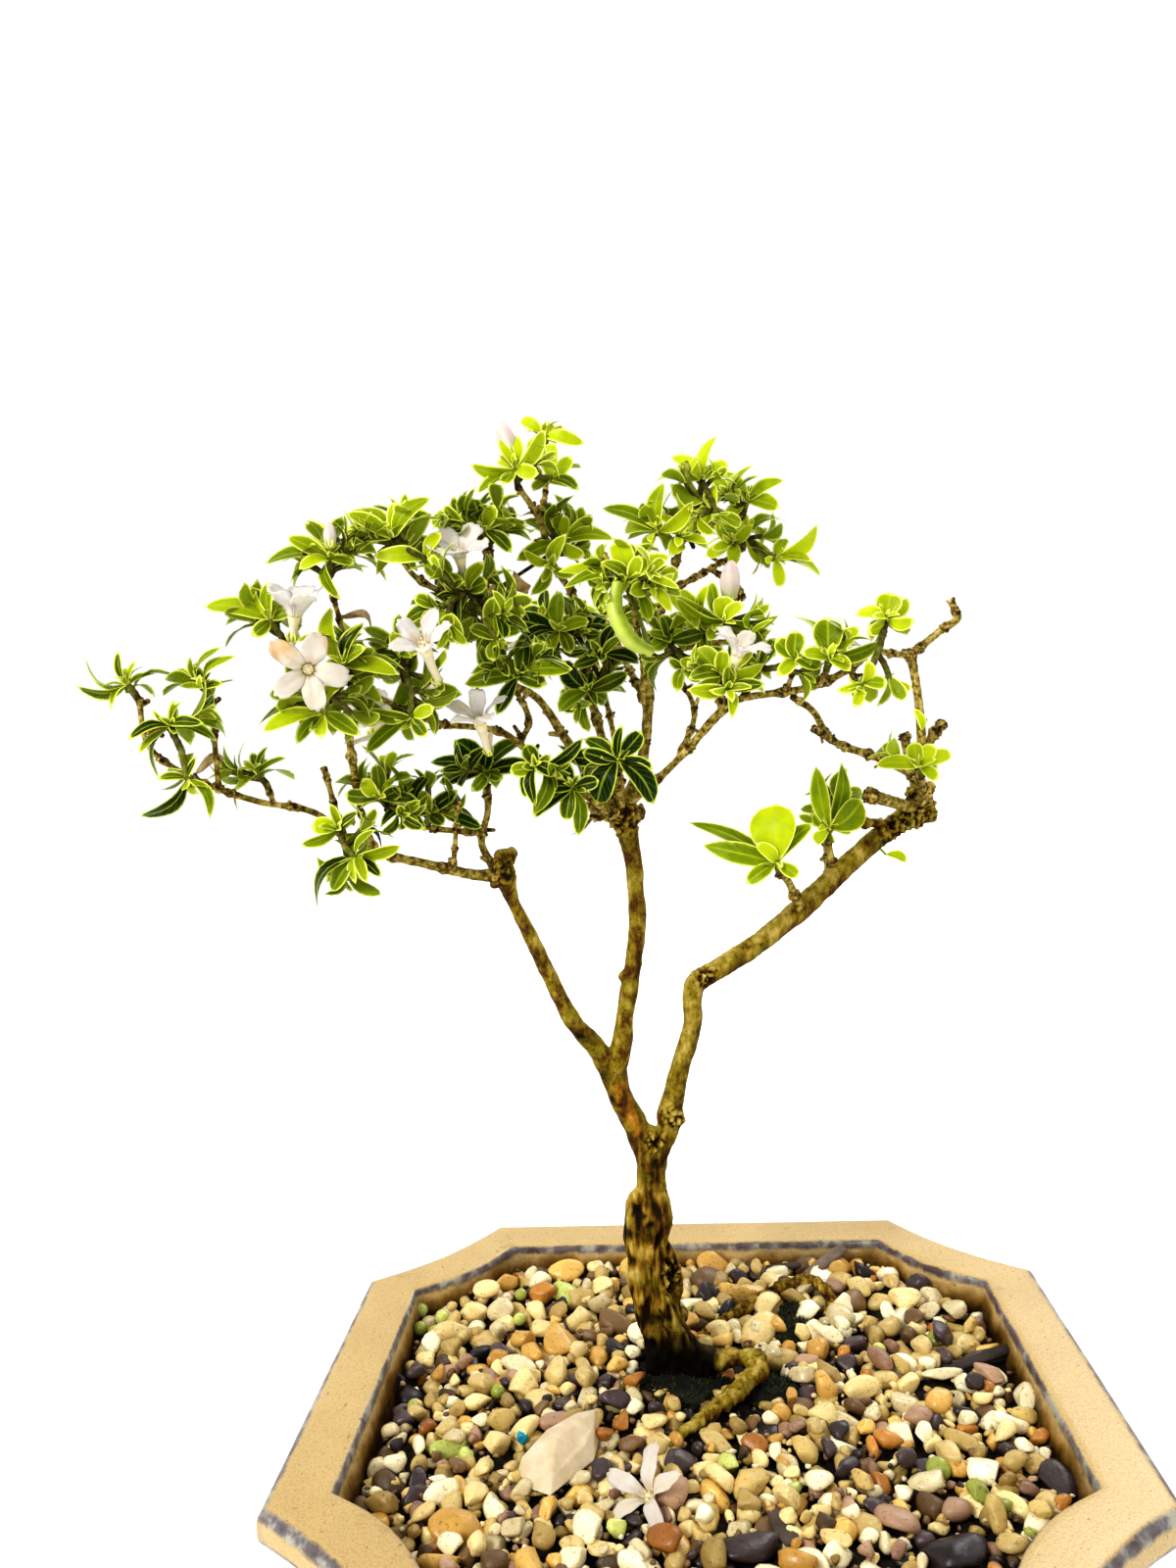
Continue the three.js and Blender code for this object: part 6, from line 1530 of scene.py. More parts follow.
          (55, 6, 1.4, 15), (268, 4.5, 1.4, 30)]),
    ]),
    "fork_right": (0.72, 0, [
        ([(18.5, 3, 150), (18, 0, 152)],
         [(90, 11, 8.3, 0), (163, 14, 3.9, 5), (150, 18, 2.6, -5), (207, 7, 2.8, 25), (50, 10, 2.4, 5),
          (125, 6, 2.6, 35), (-30, 5, 2.6, 30)]),
    ]),
    "fork_mid": (0.66, 1, [
        ([(31, 23, 153.5), (31, 20, 155.5)],
         [(101, 13, 3.5, -5), (72, 14, 3.9, -10), (38, 8.5, 5.9, 10), (135, 5, 2.5, -20), (0, 5.5, 2.7, -20),
          (222, 4.5, 2.5, -20), (270, 4.5, 2.5, -40)]),
    ]),
    "fork_end": (0.85, 1, [
        ([(47, 8.5, 166.5), (46.5, 6.5, 168.5)],
         [(171, 8, 2.8, 0), (25, 6.5, 2.8, 5), (105, 5, 3, 10), (62, 5, 2.8, 20), (-40, 4.5, 2.4, 40)]),
    ]),
    "hang": (0.25, 1, [
        ([(-25, -15, 173.5), (-24.5, -18, 173.5)],
         [(243, 6, 2.3, 5), (262, 7, 2.1, 25), (110, 4.5, 2.7, 30), (190, 4.5, 2.5, 20),
          (-20, 4.5, 2.3, 40)]),
    ]),
    "far_side": (0.4, 5, [
        ([(-13.7, 39.4, 200.9), (-14.5, 42, 202.5)],
         [(100, 7.5, 3.2, -20), (165, 7.5, 3.2, -40), (20, 7.5, 3.2, -40), (215, 6.5, 3, -35),
          (80, 6.5, 3, -70)]),
        ([(-14.5, 42, 202.5), (-8.5, 46, 204.5), (-3.5, 48, 207.5)],
         [(90, 7.5, 3.3, -30), (150, 6.5, 3.1, -20), (10, 9, 3.3, -30), (-40, 6.5, 3.1, -40)]),
        ([(-14.5, 42, 202.5), (-21.5, 45, 201.5), (-27, 46, 203.5)],
         [(100, 7.5, 3.3, -35), (170, 8.5, 3.3, -30), (30, 6.5, 3.1, -25), (220, 6.5, 3.1, -40)]),
    ]),
    "far_right": (0.4, 4, [
        ([(35.8, 43.3, 156.6), (36.5, 46, 158)],
         [(80, 8.5, 3.3, -10), (140, 7.5, 3.3, -30), (20, 8.5, 3.3, -30), (-40, 6.5, 3.1, -40),
          (60, 6.5, 3.1, -65)]),
    ]),
}

# withered leaves: the spray each one belongs to, place, direction, length, width, paleness
withered = [
    ("fill_left", (-82.1, -26, 175), (8, 4, 0.9), 8.2, 2.6, 0.75),
    ("high_left", (-55.3, -26, 200.2), (7, 3, -3.8), 7.4, 2.2, 0.55),
    ("window_left", (-59, -8, 161.8), (5, 0, -1.7), 5.0, 1.3, 0.0),
    ("knot_left", (-18.6, -3, 163.4), (-0.5, 0, -4.8), 4.8, 1.5, 0.0),
    ("crown_left", (-26.2, -2, 204.8), (-2, -3, 2.5), 4.2, 2.0, 0.9),
    ("crown_left", (-31.7, 2, 206.4), (-3, -2, -1), 3.6, 1.8, 0.8),
]

# single leaves: spray, place, direction, length, width, tone
looseLeaves = [("fork_end", (52.3, 30, 174.4), (-1.1, -0.6, 4.6), 4.8, 1.9, 0.85),
               ("fork_mid", (42.9, 24, 149.2), (4.4, -0.8, -1), 4.6, 2.2, 0.8)]

# closed buds on the sprays: spray, foot, tip, radius, greenness
smallBuds = [("centre", (-11, -15.5, 207.1), (-10.8, -15.5, 209.6), 0.8, 0.1),
             ("crest", (4.5, 4, 225.2), (4.4, 4, 228), 0.75, 0.5)]

# widthShare is the real width of a leaf over its length, also where it is seen edge on
leafShape = {
    "steps": 9, "across": 6, "thickness": 0.24, "fold": 0.16, "arch": 0.1, "widthShare": 0.36,
    "widest": 3.9, "marginWidth": 0.30, "slender": (0.34, 0.46),
}

leafColours = {
    # old, mid and young follow the tone, so the old colour is also painted shade and the young colour also
    # painted sunlight
    "old": (0.010, 0.022, 0.001), "mid": (0.165, 0.215, 0.001), "young": (0.48, 0.56, 0.006),
    "rib": (0.42, 0.48, 0.04), "margin": (0.86, 0.90, 0.22), "marginOldAndShaded": (0.62, 0.68, 0.10),
    "back": (0.26, 0.30, 0.03), "nearEdge": (0.05, 0.08, 0.002),
}


def leafDirection(turn, lean):
    a, b = math.radians(turn), math.radians(lean)
    return np.array((math.cos(a) * math.cos(b), -math.sin(b), math.sin(a) * math.cos(b)))


# One leaf: a thin folded blade with a pale margin; paint is edge distance, place along,
# tone, and over 0.5 on top with 1 at the rib.
def addLeaf(skin, base, direction, facing, length, width, tone, chance, bend=None, twist=0.0, kind=0,
            fine=True):
    steps, across = (leafShape["steps"], leafShape["across"]) if fine else (6, 4)
    along = unit(direction)
    while not insideBox(base + along * length) and length > 1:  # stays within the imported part's box
        length, width = length * 0.85, width * 0.85
    up = squareTo(facing, along)
    side = np.cross(along, up)
    slim = width / length
    tip = 0.52 if slim > 0.42 else 0.66 if slim > 0.33 else 0.8
    rise = 0.92 if slim > 0.42 else 0.8
    peak = (rise / (rise + tip)) ** rise * (tip / (rise + tip)) ** tip
    bend = leafShape["arch"] * chance.uniform(0.4, 2.6) if bend is None else bend
    fold = leafShape["fold"] * chance.uniform(0.5, 2.2)
    wave, phase = chance.uniform(0, 0.05), chance.uniform(0, 6)
    places, paint = [], []
    for face in (1, -1):
        for i in range(steps + 1):
            t = (i / steps) ** 0.92
            half = width / 2 * (t ** rise * (1 - t) ** tip / peak if 0 < t < 1 else 0) + 0.13 * (1 - t)
            arch = bend * length * (math.sin(math.pi * t) - 0.5 * t - 0.5 * t * t)
            roll = twist * t
            sideHere, upHere = around(side, up, roll), around(up, -side, roll)
            for j in range(across + 1):
                v = 2 * j / across - 1
                lens = leafShape["thickness"] * math.sqrt(max(0.0, 1 - abs(v) ** 3)) * (1 - 0.75 * t)
                cup = fold * half * abs(v) ** 1.4 + wave * half * abs(v) * math.sin(9 * t + phase + v)
                groove = -0.10 * math.exp(-(v * 5) ** 2) * (1 - t) * face
                height = arch + cup + face * lens / 2 + groove
                places.append(base + along * length * t + sideHere * half * v + upHere * height)
                edge = (1 - abs(v)) * half
                tipRoom = (1 - t) * length * 0.55
                facePaint = 1 - 0.5 * abs(v) if face > 0 else 0.45 * abs(v)
                paint.append((min(1.0, min(edge, tipRoom) / 2), t, tone, facePaint))
    addPart(skin, np.array(places), sheetFaces(steps, across, True), np.array(paint), kind)


def makeLeafFinish():
    finish, shader = newFinish("edgedLeaf", 0.38, 0.12)
    edge, along, tone, face = paintOf()
    shade = ruffled(tone, noiseOf(260, 3), 0.5)
    young, rib = leafColours["young"], leafColours["rib"]
    # body colour: painted shade on old and shaded leaves, painted light on young and sunlit ones
    body = rampOf(shade, [(0.05, leafColours["old"]), (0.45, leafColours["mid"]), (0.95, young)])
    # the margin, darker on old and shaded leaves
    margin = rampOf(shade, [(0.1, leafColours["marginOldAndShaded"]), (0.8, leafColours["margin"])])
    half = leafShape["marginWidth"] / 2
    inside = maskOf(ruffled(edge, noiseOf(700, 2), 0.16), half * 0.55, half * 1.15)
    nearEdge = rampOf(shade, [(0.05, leafColours["nearEdge"]), (0.45, young)])
    body = mixOf(times(maskOf(edge, 0.42, 0.10), 0.25), body, nearEdge)
    ribs = mathOf("SINE", plus(times(along, 42.0), times(face, 26.0)), 0.0)
    body = mixOf(times(maskOf(ribs, 0.55, 1.0), 0.10), body, rib)
    body = mixOf(maskOf(face, 0.47, 0.5), mixOf(0.55, body, leafColours["back"]), body)
    body = mixOf(times(maskOf(face, 0.94, 0.975), 0.55), body, rib)
    setColour(shader, mixOf(inside, margin, body))
    setGlow(shader, 0.15, 0.7, (0.6, 1.0, 0.15))
    bumpOf(shader, noiseOf(800, 3), 0.18, 0.25)
    return finish


witheredColours = {"dark": (0.006, 0.004, 0.002), "brown": (0.05, 0.03, 0.01),
                   "pale": [(0.3, (0.30, 0.15, 0.04)), (0.5, (0.56, 0.38, 0.16)), (0.7, (0.72, 0.60, 0.34))]}


def makeWitheredFinish():
    finish, shader = newFinish("witheredLeaf", 0.7)
    _, _, pale, _ = paintOf()
    crumple = noiseOf(500, 5)
    dark = shadesOf(crumple, witheredColours["dark"], witheredColours["brown"])
    setColour(shader, mixOf(pale, dark, rampOf(crumple, witheredColours["pale"])))
    bumpOf(shader, crumple, 0.8, 0.4)
    return finish


leafFinish, witheredFinish = makeLeafFinish(), makeWitheredFinish()
shootRule = {"radius": 0.5, "leafBases": 5, "sideReach": (2.8, 6.0), "backLeaves": 2}


def nearestWood(point):
    point = np.array(point, float)
    best, distance = None, 1e9
    for route in stemRoutes + twigRoutes:
        for start, end in zip(route[:-1], route[1:]):
            start, end = np.array(start[:3], float), np.array(end[:3], float)
            share = np.clip(np.dot(point - start, end - start) / np.dot(end - start, end - start), 0, 1)
            near = start + (end - start) * share
            if np.linalg.norm(near - point) < distance:
                best, distance = near, np.linalg.norm(near - point)
    return best


# Opposite pairs of leaves, each pair square to the last, smaller and steeper towards the tip.
def addRosette(skin, tip, ahead, pairs, length, tone, chance, opening=70):
    side = squareTo(anyWay(chance), ahead)
    for pair in range(pairs):
        side = np.cross(ahead, side)
        share = (pair + 1) / pairs
        tilt = math.radians(opening * (1.05 - 0.72 * share) + chance.uniform(-9, 9))
        size = length * (1 - 0.62 * share ** 1.4) * chance.uniform(0.88, 1.12)
        for way in (1, -1):
            lean = tilt + math.radians(chance.uniform(-12, 12))
            direction = unit(around(ahead, side * way, lean) + np.array((0, 0, 0.12)))
            facing = around(side * -way, ahead, lean)
            facing = unit(facing + np.cross(direction, facing) * chance.uniform(-0.45, 0.45))
            base = tip - ahead * (1 - share) * 1.3 + side * way * 0.25
            leafTone = tone + chance.uniform(-0.26, 0.26) + 0.28 * share
            leafLength = size * chance.uniform(0.9, 1.1)
            width = size * chance.uniform(*leafShape["slender"])
            twist = chance.uniform(-0.3, 0.3)
            addLeaf(skin, base, direction, facing, leafLength, width, leafTone, chance, twist=twist,
                    fine=False)


# A shoot turns from crusted at its foot to green at its tip.
def addGreening(skin, path, sides, fade, lumpiness):
    def swell(place, turn, share):
        return 1 + lumpiness * wobble(place, 0.7) + 0.25 * share

    count = len(path)
    paint = [(0.9 - fade * i / count, 0.45 * i / count, 0, 1) for i in range(count) for _ in range(sides)]
    addLimb(skin, path, sides, withTips(paint), swell, kind=1)


def addSideShoot(skin, start, end, chance):
    radius = shootRule["radius"] * 0.9
    middle = (np.array(start) + np.array(end)) / 2 + np.array([chance.uniform(-0.4, 0.4) for _ in range(3)])
    path = smoothRoute([[*start, radius * 1.1], [*middle, radius], [*end, radius]], 0.6)
    addGreening(skin, path, 7, 0.4, 0.35)


def fivefold(place, turn, share):
    return 1 + 0.06 * math.cos(5 * turn)


# The leaves listed for a shoot, each turned about its rib so that it looks as wide as listed.
def addListedLeaves(skin, end, leaves, tone, chance):
    for turn, length, width, lean in leaves:
        direction = leafDirection(turn, lean)
        facing = squareTo((0, -1, 0), direction)
        real = max(width * 1.08, min(length * leafShape["widthShare"], leafShape["widest"]))
        side = np.cross(direction, facing)
        if side[2] < 0:
            side = -side
        roll = math.acos(width / real) * (1 if chance.random() < 0.8 else -1)
        facing = unit(around(facing, side, roll) + side * chance.gauss(0, 0.08))
        leafTone = tone + chance.uniform(-0.38, 0.30) + (0.12 if length < 6 else 0)
        addLeaf(skin, end + direction * 0.1, direction, facing, length, real, leafTone, chance,
                twist=chance.uniform(-0.35, 0.35))


def addBackLeaves(skin, end, ahead, tone, chance):
    for _ in range(shootRule["backLeaves"]):
        direction = unit((chance.uniform(-1, 1), chance.uniform(0.5, 1.1), chance.uniform(-0.35, 0.6)))
        facing = unit((direction[0] * -0.4, 0.5 - direction[1], 1))
        length = chance.uniform(5, 8)
        base = end - ahead * chance.uniform(0, 1.5)
        width = length * chance.uniform(*leafShape["slender"])
        leafTone = tone + chance.uniform(-0.3, 0.1)
        addLeaf(skin, base, direction, facing, length, width, leafTone, chance, fine=False)


# Loose leaves, closed buds and withered leaves that belong to a spray.
def addExtras(name, skin, chance):
    for owner, place, heading, length, width, leafTone in looseLeaves:
        if owner == name:
            stem, place = nearestWood(place), np.array(place, float)
            addStalk(skin, stem, place, (0.3, 0.25, 0.25), 6, (0.2, 0.9, 0.5, 1), 1)
            facing = squareTo((0.1, -1, 0.5), unit(heading))
            addLeaf(skin, place, heading, facing, length, width, leafTone, chance, bend=0.3)
    for owner, start, end, radius, green in smallBuds:
        if owner == name:
            middle = (np.array(start) + np.array(end)) / 2
            route = [[*nearestWood(start), 0.4], [*start, 0.45], [*middle, radius], [*end, radius * 0.45]]
            addLimb(skin, smoothRoute(route, 0.35), 10, (0.1, green, 0.6, 1), fivefold, 1)
    for owner, place, heading, length, width, pale in withered:
        if owner == name:
            stem, place = nearestWood(place), np.array(place, float)
            addStalk(skin, stem, place, (0.4, 0.35, 0.35), 6, (0.8, 0, 0, 1), 1)
            facing = squareTo((chance.uniform(-0.5, 0.5), -1, 0.6), unit(heading))
            addLeaf(skin, place, heading, facing, length, width, pale, chance, bend=0.5, twist=1.1, kind=2)


def growSpray(name, tone, sideCount, shoots):
    chance = random.Random("spray " + name)
    skin = newSkin()
    radius = shootRule["radius"]
    tips = []
    for number, (at, leaves) in enumerate(shoots):
        start = np.array(at[0], float) if number else nearestWood(at[0])
        end = np.array(at[-1], float)
        path = smoothRoute([[*start, radius * 1.15]] + [[*p, radius] for p in at[1:]], 0.6)
        addGreening(skin, path, 8, 0.5, 0.3)
        ahead = unit(end - path[-3][:3]) if len(path) > 3 else unit(end - start)
        tips.append((path, ahead))
        for _ in range(shootRule["leafBases"]):
            outward = unit(anyWay(chance))
            base = end - ahead * chance.uniform(0.2, 1.4)
            stub = np.array([[*base, 0.4], [*(base + unit(outward + ahead) * 1.1), 0.3]])
            addLimb(skin, stub, 6, (0.5, 0.6, 0, 1), kind=1)
        addListedLeaves(skin, end, leaves, tone, chance)
        heart = unit(ahead + np.array((0, -0.25, 0.5)))
        addRosette(skin, end + ahead * 0.4, heart, 3, 4.8, tone + 0.1, chance, 58)
        addBackLeaves(skin, end, ahead, tone, chance)
    # side shoots, most of them on the far side of the listed ones
    for _ in range(sideCount):
        path, ahead = chance.choice(tips)
        start = path[int(len(path) * chance.uniform(0.1, 0.85))][:3]
        outward = squareTo((chance.gauss(0, 1), chance.gauss(0.55, 0.7), chance.gauss(0.15, 0.7)), ahead)
        heading = unit(outward + ahead * chance.uniform(0.2, 0.9) + np.array((0, 0, 0.25)))
        end = start + heading * chance.uniform(*shootRule["sideReach"])
        if not insideBox(end + heading * 5, 1):
            continue
        addSideShoot(skin, start, end, chance)
        pairs, length = chance.choice((3, 4, 4)), chance.uniform(6.2, 8.6)
        addRosette(skin, end, heading, pairs, length, tone + chance.uniform(-0.35, 0.05), chance)
    addExtras(name, skin, chance)
    placeSkin(name + "Leaves", skin, [leafFinish, twigFinish, witheredFinish], ["spray_" + name])


for name, (tone, sideCount, shoots) in sprays.items():
    growSpray(name, tone, sideCount, shoots)
print("sprays in leaf")


# flowers: heart is the throat, heel the narrow end of the tube

blooms = {
    "bloom_left": {"heart": (-58, -37, 191.5), "heel": (-59.5, -32, 192), "radius": 7.4, "turn": 10,
                   "open": 0.88, "stain": 0.9, "cream": 0.7, "width": 3.7,
                   "lobes": (0, 0.05, 0.7, 1.0, 0.1)},
    "bloom_left_high": {"heart": (-60.5, -33.5, 201.5), "heel": (-61.5, -32.5, 196.5), "radius": 6.2,
                        "turn": 40, "open": 0.25, "stain": 0.1},
    "bloom_inner": {"heart": (-40, -33.5, 195), "heel": (-39.5, -25.5, 188.5), "radius": 6.2, "turn": 20,
                    "open": 0.4, "stain": 0.05, "width": 3.0},
    "bloom_crown": {"heart": (-35.5, -21, 211), "heel": (-35.5, -17.5, 206.5), "radius": 6, "turn": 0,
                    "open": 0.7, "stain": 0.5},
    "bloom_right": {"heart": (11.5, -17, 192), "heel": (9.8, -15, 187.5), "radius": 6.2, "turn": 15,
                    "open": 0.7, "stain": 0.05, "width": 3.2},
    "bloom_window": {"heart": (-33.5, -22.5, 182.5), "heel": (-32.5, -18.5, 176), "radius": 6.8, "turn": 30,
                     "open": 0.55, "stain": 0.05, "width": 2.9},
    "bloom_back": {"heart": (-30, 17, 195.5), "heel": (-27.5, 17, 191), "radius": 5.8, "turn": 5,
                   "open": 0.7, "stain": 0.15},
    "bloom_low": {"heart": (-54.5, -11, 184), "heel": (-53, -18, 180), "radius": 5, "turn": 25, "open": 0.8,
                  "stain": 0.1},
    "fallen_flower": {"heart": (-10.5, -30, 48.0), "heel": (-9.6, -29.0, 46.2), "radius": 8.8, "turn": 20,
                      "open": 0.9, "stain": 0.0, "cream": 0.5, "width": 3.2},
}

petalShape = {"steps": 10, "across": 12, "thickness": 0.18, "width": 4.3, "throat": 1.1}

petalColours = {
    "cream": (0.65, 0.56, 0.42), "white": (0.65, 0.61, 0.58), "blush": (0.60, 0.52, 0.49),
    # the throat colour is the yellow centre, painted brighter than the petals as painted light in the shaded
    # tube
    "throat": (0.86, 0.76, 0.42), "stain": (0.60, 0.30, 0.06),
}


# A lobe leaves the throat, bends outwards and ends in three small teeth.
def addPetal(skin, throat, axis, outward, reach, width, opening, stain, cream, chance):
    steps, across = petalShape["steps"], petalShape["across"]
    side = np.cross(axis, outward)
    spread = math.radians(38 + 50 * opening + chance.uniform(-9, 9))
    curl, phase = chance.uniform(-0.15, 0.5), chance.uniform(0, 6)
    warp = chance.uniform(-0.25, 0.25)
    spine, normals = [throat + outward * petalShape["throat"] * 0.75], []
    for i in range(steps + 1):
        t = i / steps
        lean = math.radians(15) + (spread - math.radians(15)) * float(smoothStep(0, 0.55, t))
        lean += curl * max(0, t - 0.6) * 2
        normals.append(unit(around(-outward, axis, lean)))
        spine.append(spine[-1] + around(axis, outward, lean) * reach / steps)
    places, paint = [], []
    for face in (1, -1):
        for i in range(steps + 1):
            t = i / steps
            half = width / 2 * (0.42 + 0.58 * float(smoothStep(0.02, 0.62, t))) * (1 - 0.08 * t ** 6)
            ahead = unit(spine[i + 1] - spine[i])
            for j in range(across + 1):
                v = 2 * j / across - 1
                teeth = -0.17 * v * v + 0.06 * abs(math.cos(1.5 * math.pi * v)) - 0.03
                shift = ahead * reach * teeth * t ** 2.2
                ruffle = 0.40 * abs(v) * t * math.sin(9 * t + 2.5 * v + phase)
                ruffle -= 0.22 * math.exp(-(v * 3.4) ** 2) * (1 - 0.5 * t)
                roll = warp * half * v * t
                lens = petalShape["thickness"] * (1 - 0.6 * abs(v) ** 3) * (1 - 0.6 * t)
                rise = normals[i] * (ruffle + roll + face * lens / 2)
                places.append(spine[i] + shift + side * half * v + rise)
                paint.append((t, cream, stain * (0.3 + 0.7 * t), 1))
    addPart(skin, np.array(places), sheetFaces(steps, across), np.array(paint))


# Five green teeth round the foot of a flower or bud.
def addCalyx(skin, foot, axis, side, radius, spread, size, chance):
    for k in range(5):
        outward = around(side, np.cross(axis, side), 2 * math.pi * k / 5)
        direction = unit(axis + outward * spread)
        addLeaf(skin, foot + outward * radius, direction, unit(outward), *size, 0.6, chance, kind=1,
                fine=False)


def makeFlower(name, bloom):
    chance = random.Random("flower " + name)
    skin = newSkin()
    heart, heel = np.array(bloom["heart"], float), np.array(bloom["heel"], float)
    axis = unit(heart - heel)
    side = squareTo((1, 0, 0), axis)
    across = np.cross(axis, side)
    stem = heel + (-7.5, 2.4, 0.8) if name == "fallen_flower" else nearestWood(heel)
    throat = heart - axis * 1.3
    route = [[*stem, 0.42], [*((stem + heel) / 2), 0.38], [*heel, 0.6], [*((heel + throat) / 2), 0.72],
             [*throat, petalShape["throat"]], [*(heart - axis * 0.3), 0.8]]
    path = smoothRoute(route, 0.5)
    # the mouth of the tube takes the throat colour fully, as painted light where the tube lies in shade
    shades = [(0.12 if i < len(path) - 5 else 0, 0, 0, 1) for i in range(len(path)) for _ in range(12)]
    addLimb(skin, path, 12, withTips(shades), fivefold)
    for k in range(5):
        turn = math.radians(bloom["turn"]) + 2 * math.pi * k / 5 + chance.uniform(-0.14, 0.14)
        outward = around(-across, side, turn)
        reach = bloom["radius"] * chance.uniform(0.92, 1.06)
        stain = bloom["stain"] * bloom.get("lobes", (1, 0.25, 0.25, 1, 0.25))[k]
        width = bloom.get("width", petalShape["width"]) * chance.uniform(0.9, 1.1)
        addPetal(skin, throat, axis, outward, reach, width, bloom["open"], stain, bloom.get("cream", 0),
                 chance)
    for k in range(4):  # stamens
        outward = unit(around(side, across, k * 1.57 + 0.4))
        addStalk(skin, throat + outward * 0.45, heart + axis * 0.5 + outward * 0.6, (0.1, 0.1, 0.2), 6,
                 (0.3, 1, 0.2, 1))
    if name != "fallen_flower":
        addCalyx(skin, heel - axis * 0.4, axis, side, 0.3, 0.5, (1.9, 0.7), chance)
    placeSkin(name + "Flower", skin, [petalFinish, leafFinish], [name])


def makePetalFinish():
    finish, shader = newFinish("softPetal", 0.55)
    along, cream, stain, _ = paintOf()
    tints = [(0.34, petalColours["blush"]), (0.5, petalColours["white"]), (0.64, petalColours["cream"])]
    body = mixOf(times(cream, 0.8), rampOf(noiseOf(260, 4), tints), petalColours["cream"])
    # the yellow throat, made brighter as painted light against the shade in the tube
    body = mixOf(times(maskOf(along, 0.2, 0.05), 0.8), body, petalColours["throat"])
    stainHere = maskOf(plus(stain, plus(noiseOf(420, 4), -1.0)), 0.0, 0.42, 0.85)
    setColour(shader, mixOf(stainHere, body, petalColours["stain"]))
    setGlow(shader, 0.35, 0.8, (1, 0.9, 0.8))
    bumpOf(shader, noiseOf(900, 3, (1, 1, 0.3)), 0.2, 0.2)
    return finish


petalFinish = makePetalFinish()
for name, bloom in blooms.items():
    makeFlower(name, bloom)
print("flowers open")


# buds: closed, faintly twisted, in a green cup

buds = {
    "bud_left": {"from": (-56, -26.5, 211.5), "to": (-56, -26, 216), "radius": 1.1},
    "bud_top": {"from": (-27, -8.5, 228.5), "to": (-29, -6.5, 235), "radius": 1.6},
    "bud_right": {"from": (11, 1, 201), "to": (12, 1.5, 209), "radius": 1.8},
}

budColours = {"dark": (0.58, 0.44, 0.39), "light": (0.68, 0.58, 0.51), "ridge": (0.68, 0.60, 0.56),
              "foot": (0.58, 0.66, 0.25)}


def makeBudFinish():
    finish, shader = newFinish("rosyBud", 0.5)
    along, ridge, _, _ = paintOf()
    body = rampOf(noiseOf(320, 3), [(0.3, budColours["dark"]), (0.65, budColours["light"])])
    body = mixOf(times(ridge, 0.5), body, budColours["ridge"])
    setColour(shader, mixOf(maskOf(along, 0.38, 0.05), body, budColours["foot"]))
    setGlow(shader, 0.3, 0.8)
    return finish


budFinish = makeBudFinish()


def makeBud(name, bud):
    chance = random.Random("bud " + name)
    skin = newSkin()
    start, end = np.array(bud["from"], float), np.array(bud["to"], float)
    axis = unit(end - start)
    length = np.linalg.norm(end - start)
    side = squareTo((1, 0, 0), axis)
    across = np.cross(axis, side)
    steps, sides = 18, 25
    points, paint = [], []
    for i in range(steps + 1):
        t = i / steps
        profile = 0.36 + 0.64 * math.sin(math.pi * min(1, 0.12 + 0.72 * t)) ** 1.2
        profile *= math.sqrt(max(0, 1 - t ** 7)) * min(1, 0.5 + 4 * t)
        for k in range(sides):
            turn = 2 * math.pi * k / sides
            ridge = math.cos(5 * (turn + 0.9 * t))
            radius = bud["radius"] * max(0.03, profile) * (1 + 0.07 * ridge)
            points.append(start + axis * length * t + around(side, across, turn) * radius)
            paint.append((t, 0.5 + 0.5 * ridge, 0, 1))
    addPart(skin, points, drumFaces(steps + 1, sides), np.array(paint))
    addStalk(skin, nearestWood(start), start + axis * 0.4, (0.45, 0.42, 0.6), 8, (0.4, 0.6, 0, 1), 2,
             stepLength=0.5)
    addCalyx(skin, start, axis, side, bud["radius"] * 0.35, 0.35, (1.8, 0.8), chance)
    placeSkin(name + "Fine", skin, [budFinish, leafFinish, twigFinish], [name])


for name, bud in buds.items():
    makeBud(name, bud)
print("buds set")


# the rolled leaf

rolledRoute = [
    [-8.8, -19, 204, 1.0], [-9.5, -20, 200, 1.4], [-8.6, -21, 196.8, 1.5], [-6.8, -20, 194, 1.45],
    [-3.6, -18, 192.2, 0.9],
]
rolledColours = {"dark": (0.21, 0.29, 0.003), "light": (0.33, 0.41, 0.006), "seam": (0.50, 0.58, 0.11)}


def makeRolledLeaf():
    skin = newSkin()
    path = smoothRoute(rolledRoute, 0.4)
    count, sides = len(path), 20
    seam = [0.5 + 0.5 * math.cos(2 * math.pi * k / sides + 2.6) for k in range(sides)]
    paint = [(pale, i / count, 0, 1) for i in range(count) for pale in seam]
    addLimb(skin, path, sides, withTips(paint),
            lambda place, turn, share: 1 + 0.035 * math.sin(share * 46) + 0.04 * wobble(place, 1.2))
    end = rolledRoute[-1][:3]
    addStalk(skin, nearestWood(end), end, (0.45, 0.4, 0.6), 8, (0.4, 0.6, 0, 1), 1, stepLength=0.5)
    finish, shader = newFinish("rolledLeafFinish", 0.45)
    pale, _, _, _ = paintOf()
    cloud = noiseOf(500, 3)
    green = shadesOf(cloud, rolledColours["dark"], rolledColours["light"])
    setColour(shader, mixOf(maskOf(pale, 0.72, 0.97), green, rolledColours["seam"]))
    setGlow(shader, 0.3, 1)
    bumpOf(shader, cloud, 0.25, 0.3)
    placeSkin("rolledLeafFine", skin, [finish, twigFinish], ["rolled_leaf"])


makeRolledLeaf()
print("rolled leaf hung")


# moss

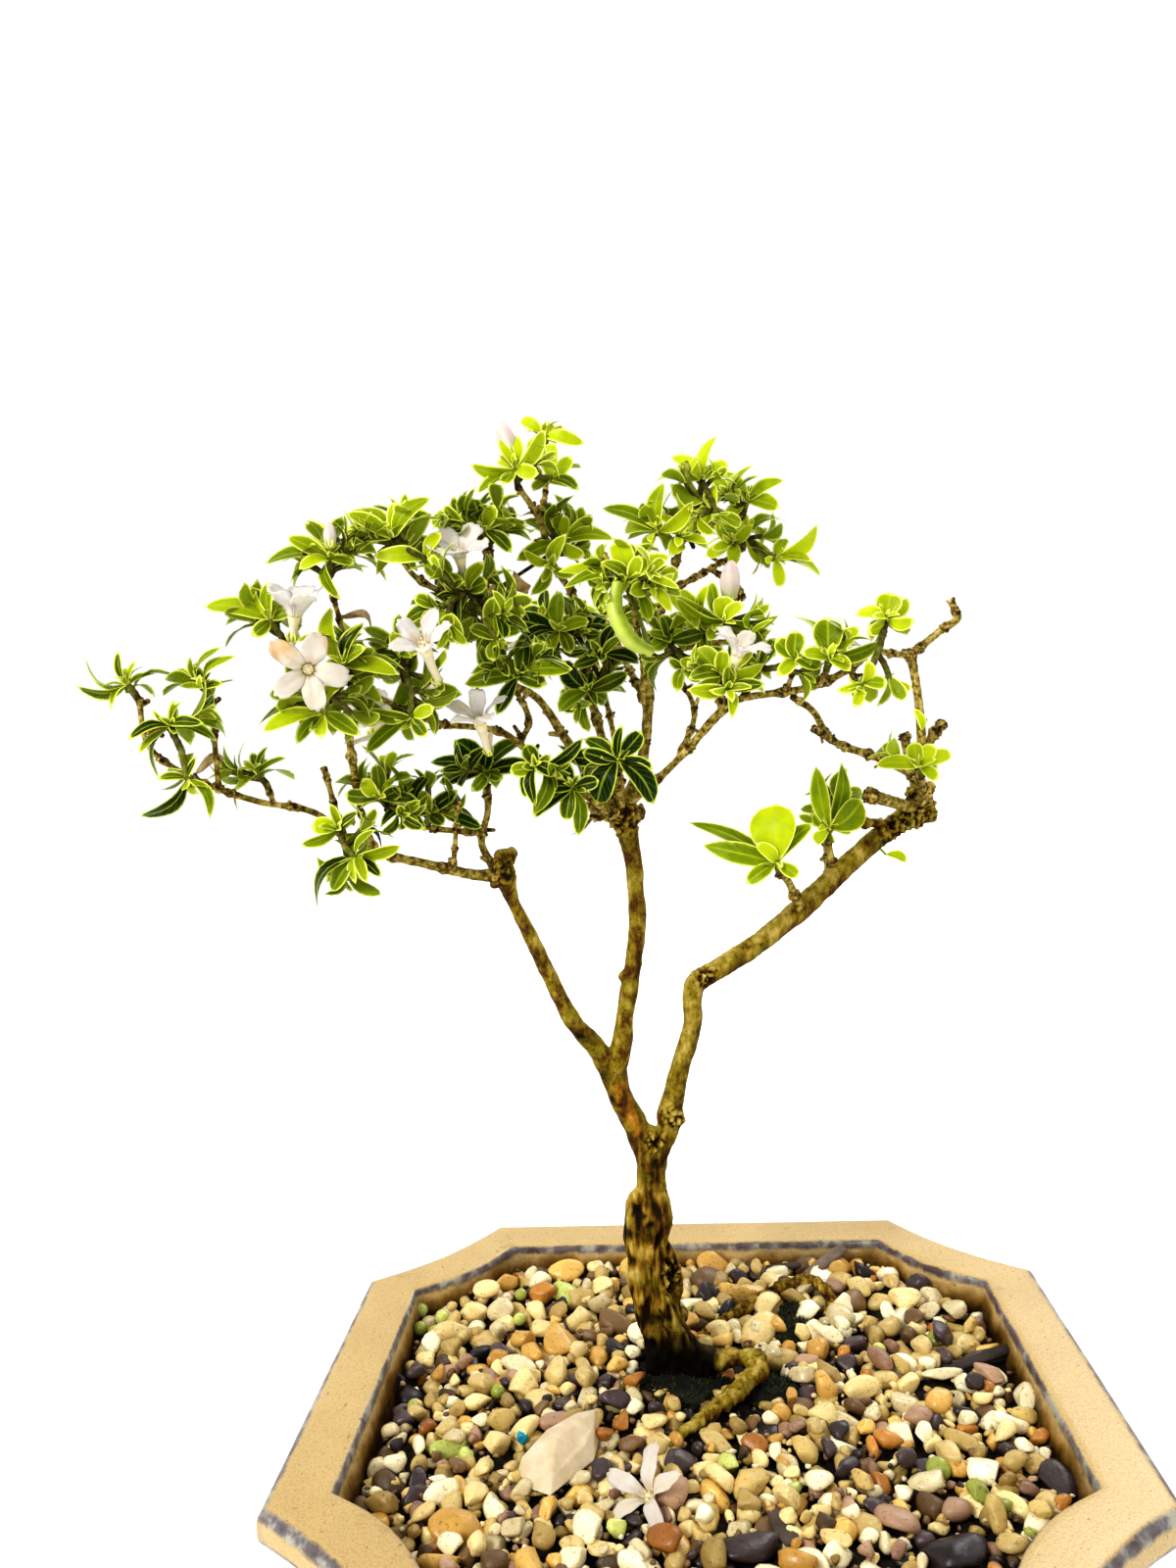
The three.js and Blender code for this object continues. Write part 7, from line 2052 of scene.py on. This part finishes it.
# cushions: middle, length, width, height
mossPlaces = [
    ((20.5, 24.5), 6.0, 4.2, 3.6), ((13.5, 3.0), 7.0, 4.6, 2.4), ((-4, 4.5), 9.5, 8.5, 1.8),
    ((22, 32), 5, 3.4, 3.2),
]
mossRule = {"seed": 8, "sunk": 0.6, "tufts": 420, "tuftLength": (0.5, 1.3), "tuftWidth": 0.16,
            "tints": [(0.25, (0.005, 0.006, 0.002)), (0.5, (0.02, 0.024, 0.004)),
                      (0.78, (0.13, 0.13, 0.015))]}


def makeMoss():
    chance = random.Random(mossRule["seed"])
    skin = newSkin()
    ball, faces = roundShape(14, 26)
    for (x, y), length, width, height in mossPlaces:
        seat = groundHeight(x, y) - mossRule["sunk"]
        points = []
        for p in ball:
            rough = 1 + 0.28 * wobble(p * 4, 1.0, x) + 0.14 * wobble(p * 11, 1.0, y)
            points.append((x + p[0] * length * rough, y + p[1] * width * rough, seat + p[2] * height * rough))
        addPart(skin, points, faces, (0, 0, 0, 1))
        for _ in range(mossRule["tufts"]):
            p = unit((chance.gauss(0, 1), chance.gauss(0, 1), abs(chance.gauss(0, 1))))
            base = np.array((x + p[0] * length, y + p[1] * width, seat + p[2] * height))
            lean = np.array((chance.gauss(0, 0.5), chance.gauss(0, 0.5), 0.6))
            tip = base + unit(p + lean) * chance.uniform(*mossRule["tuftLength"])
            across = squareTo(anyWay(chance), unit(tip - base)) * mossRule["tuftWidth"]
            away = np.cross(unit(tip - base), unit(across)) * mossRule["tuftWidth"]
            addPart(skin, [base + across, base - across * 0.5 + away, base - across * 0.5 - away, tip],
                    [(0, 1, 3), (1, 2, 3), (2, 0, 3), (2, 1, 0)], (chance.random(), 0, 0, 1))
    finish, shader = newFinish("darkMoss", 0.85)
    tone, _, _, _ = paintOf()
    shade = plus(times(tone, 0.5), times(noiseOf(420, 4), 0.6))
    setColour(shader, rampOf(shade, mossRule["tints"]))
    bumpOf(shader, noiseOf(900, 4), 0.8, 0.5)
    placeSkin("moss", skin, [finish], ["gravel"])


makeMoss()
print("moss laid")

meshes = [piece.data for piece in bpy.data.objects if piece.type == "MESH"]
print("triangles", sum(len(face.vertices) - 2 for mesh in meshes for face in mesh.polygons))
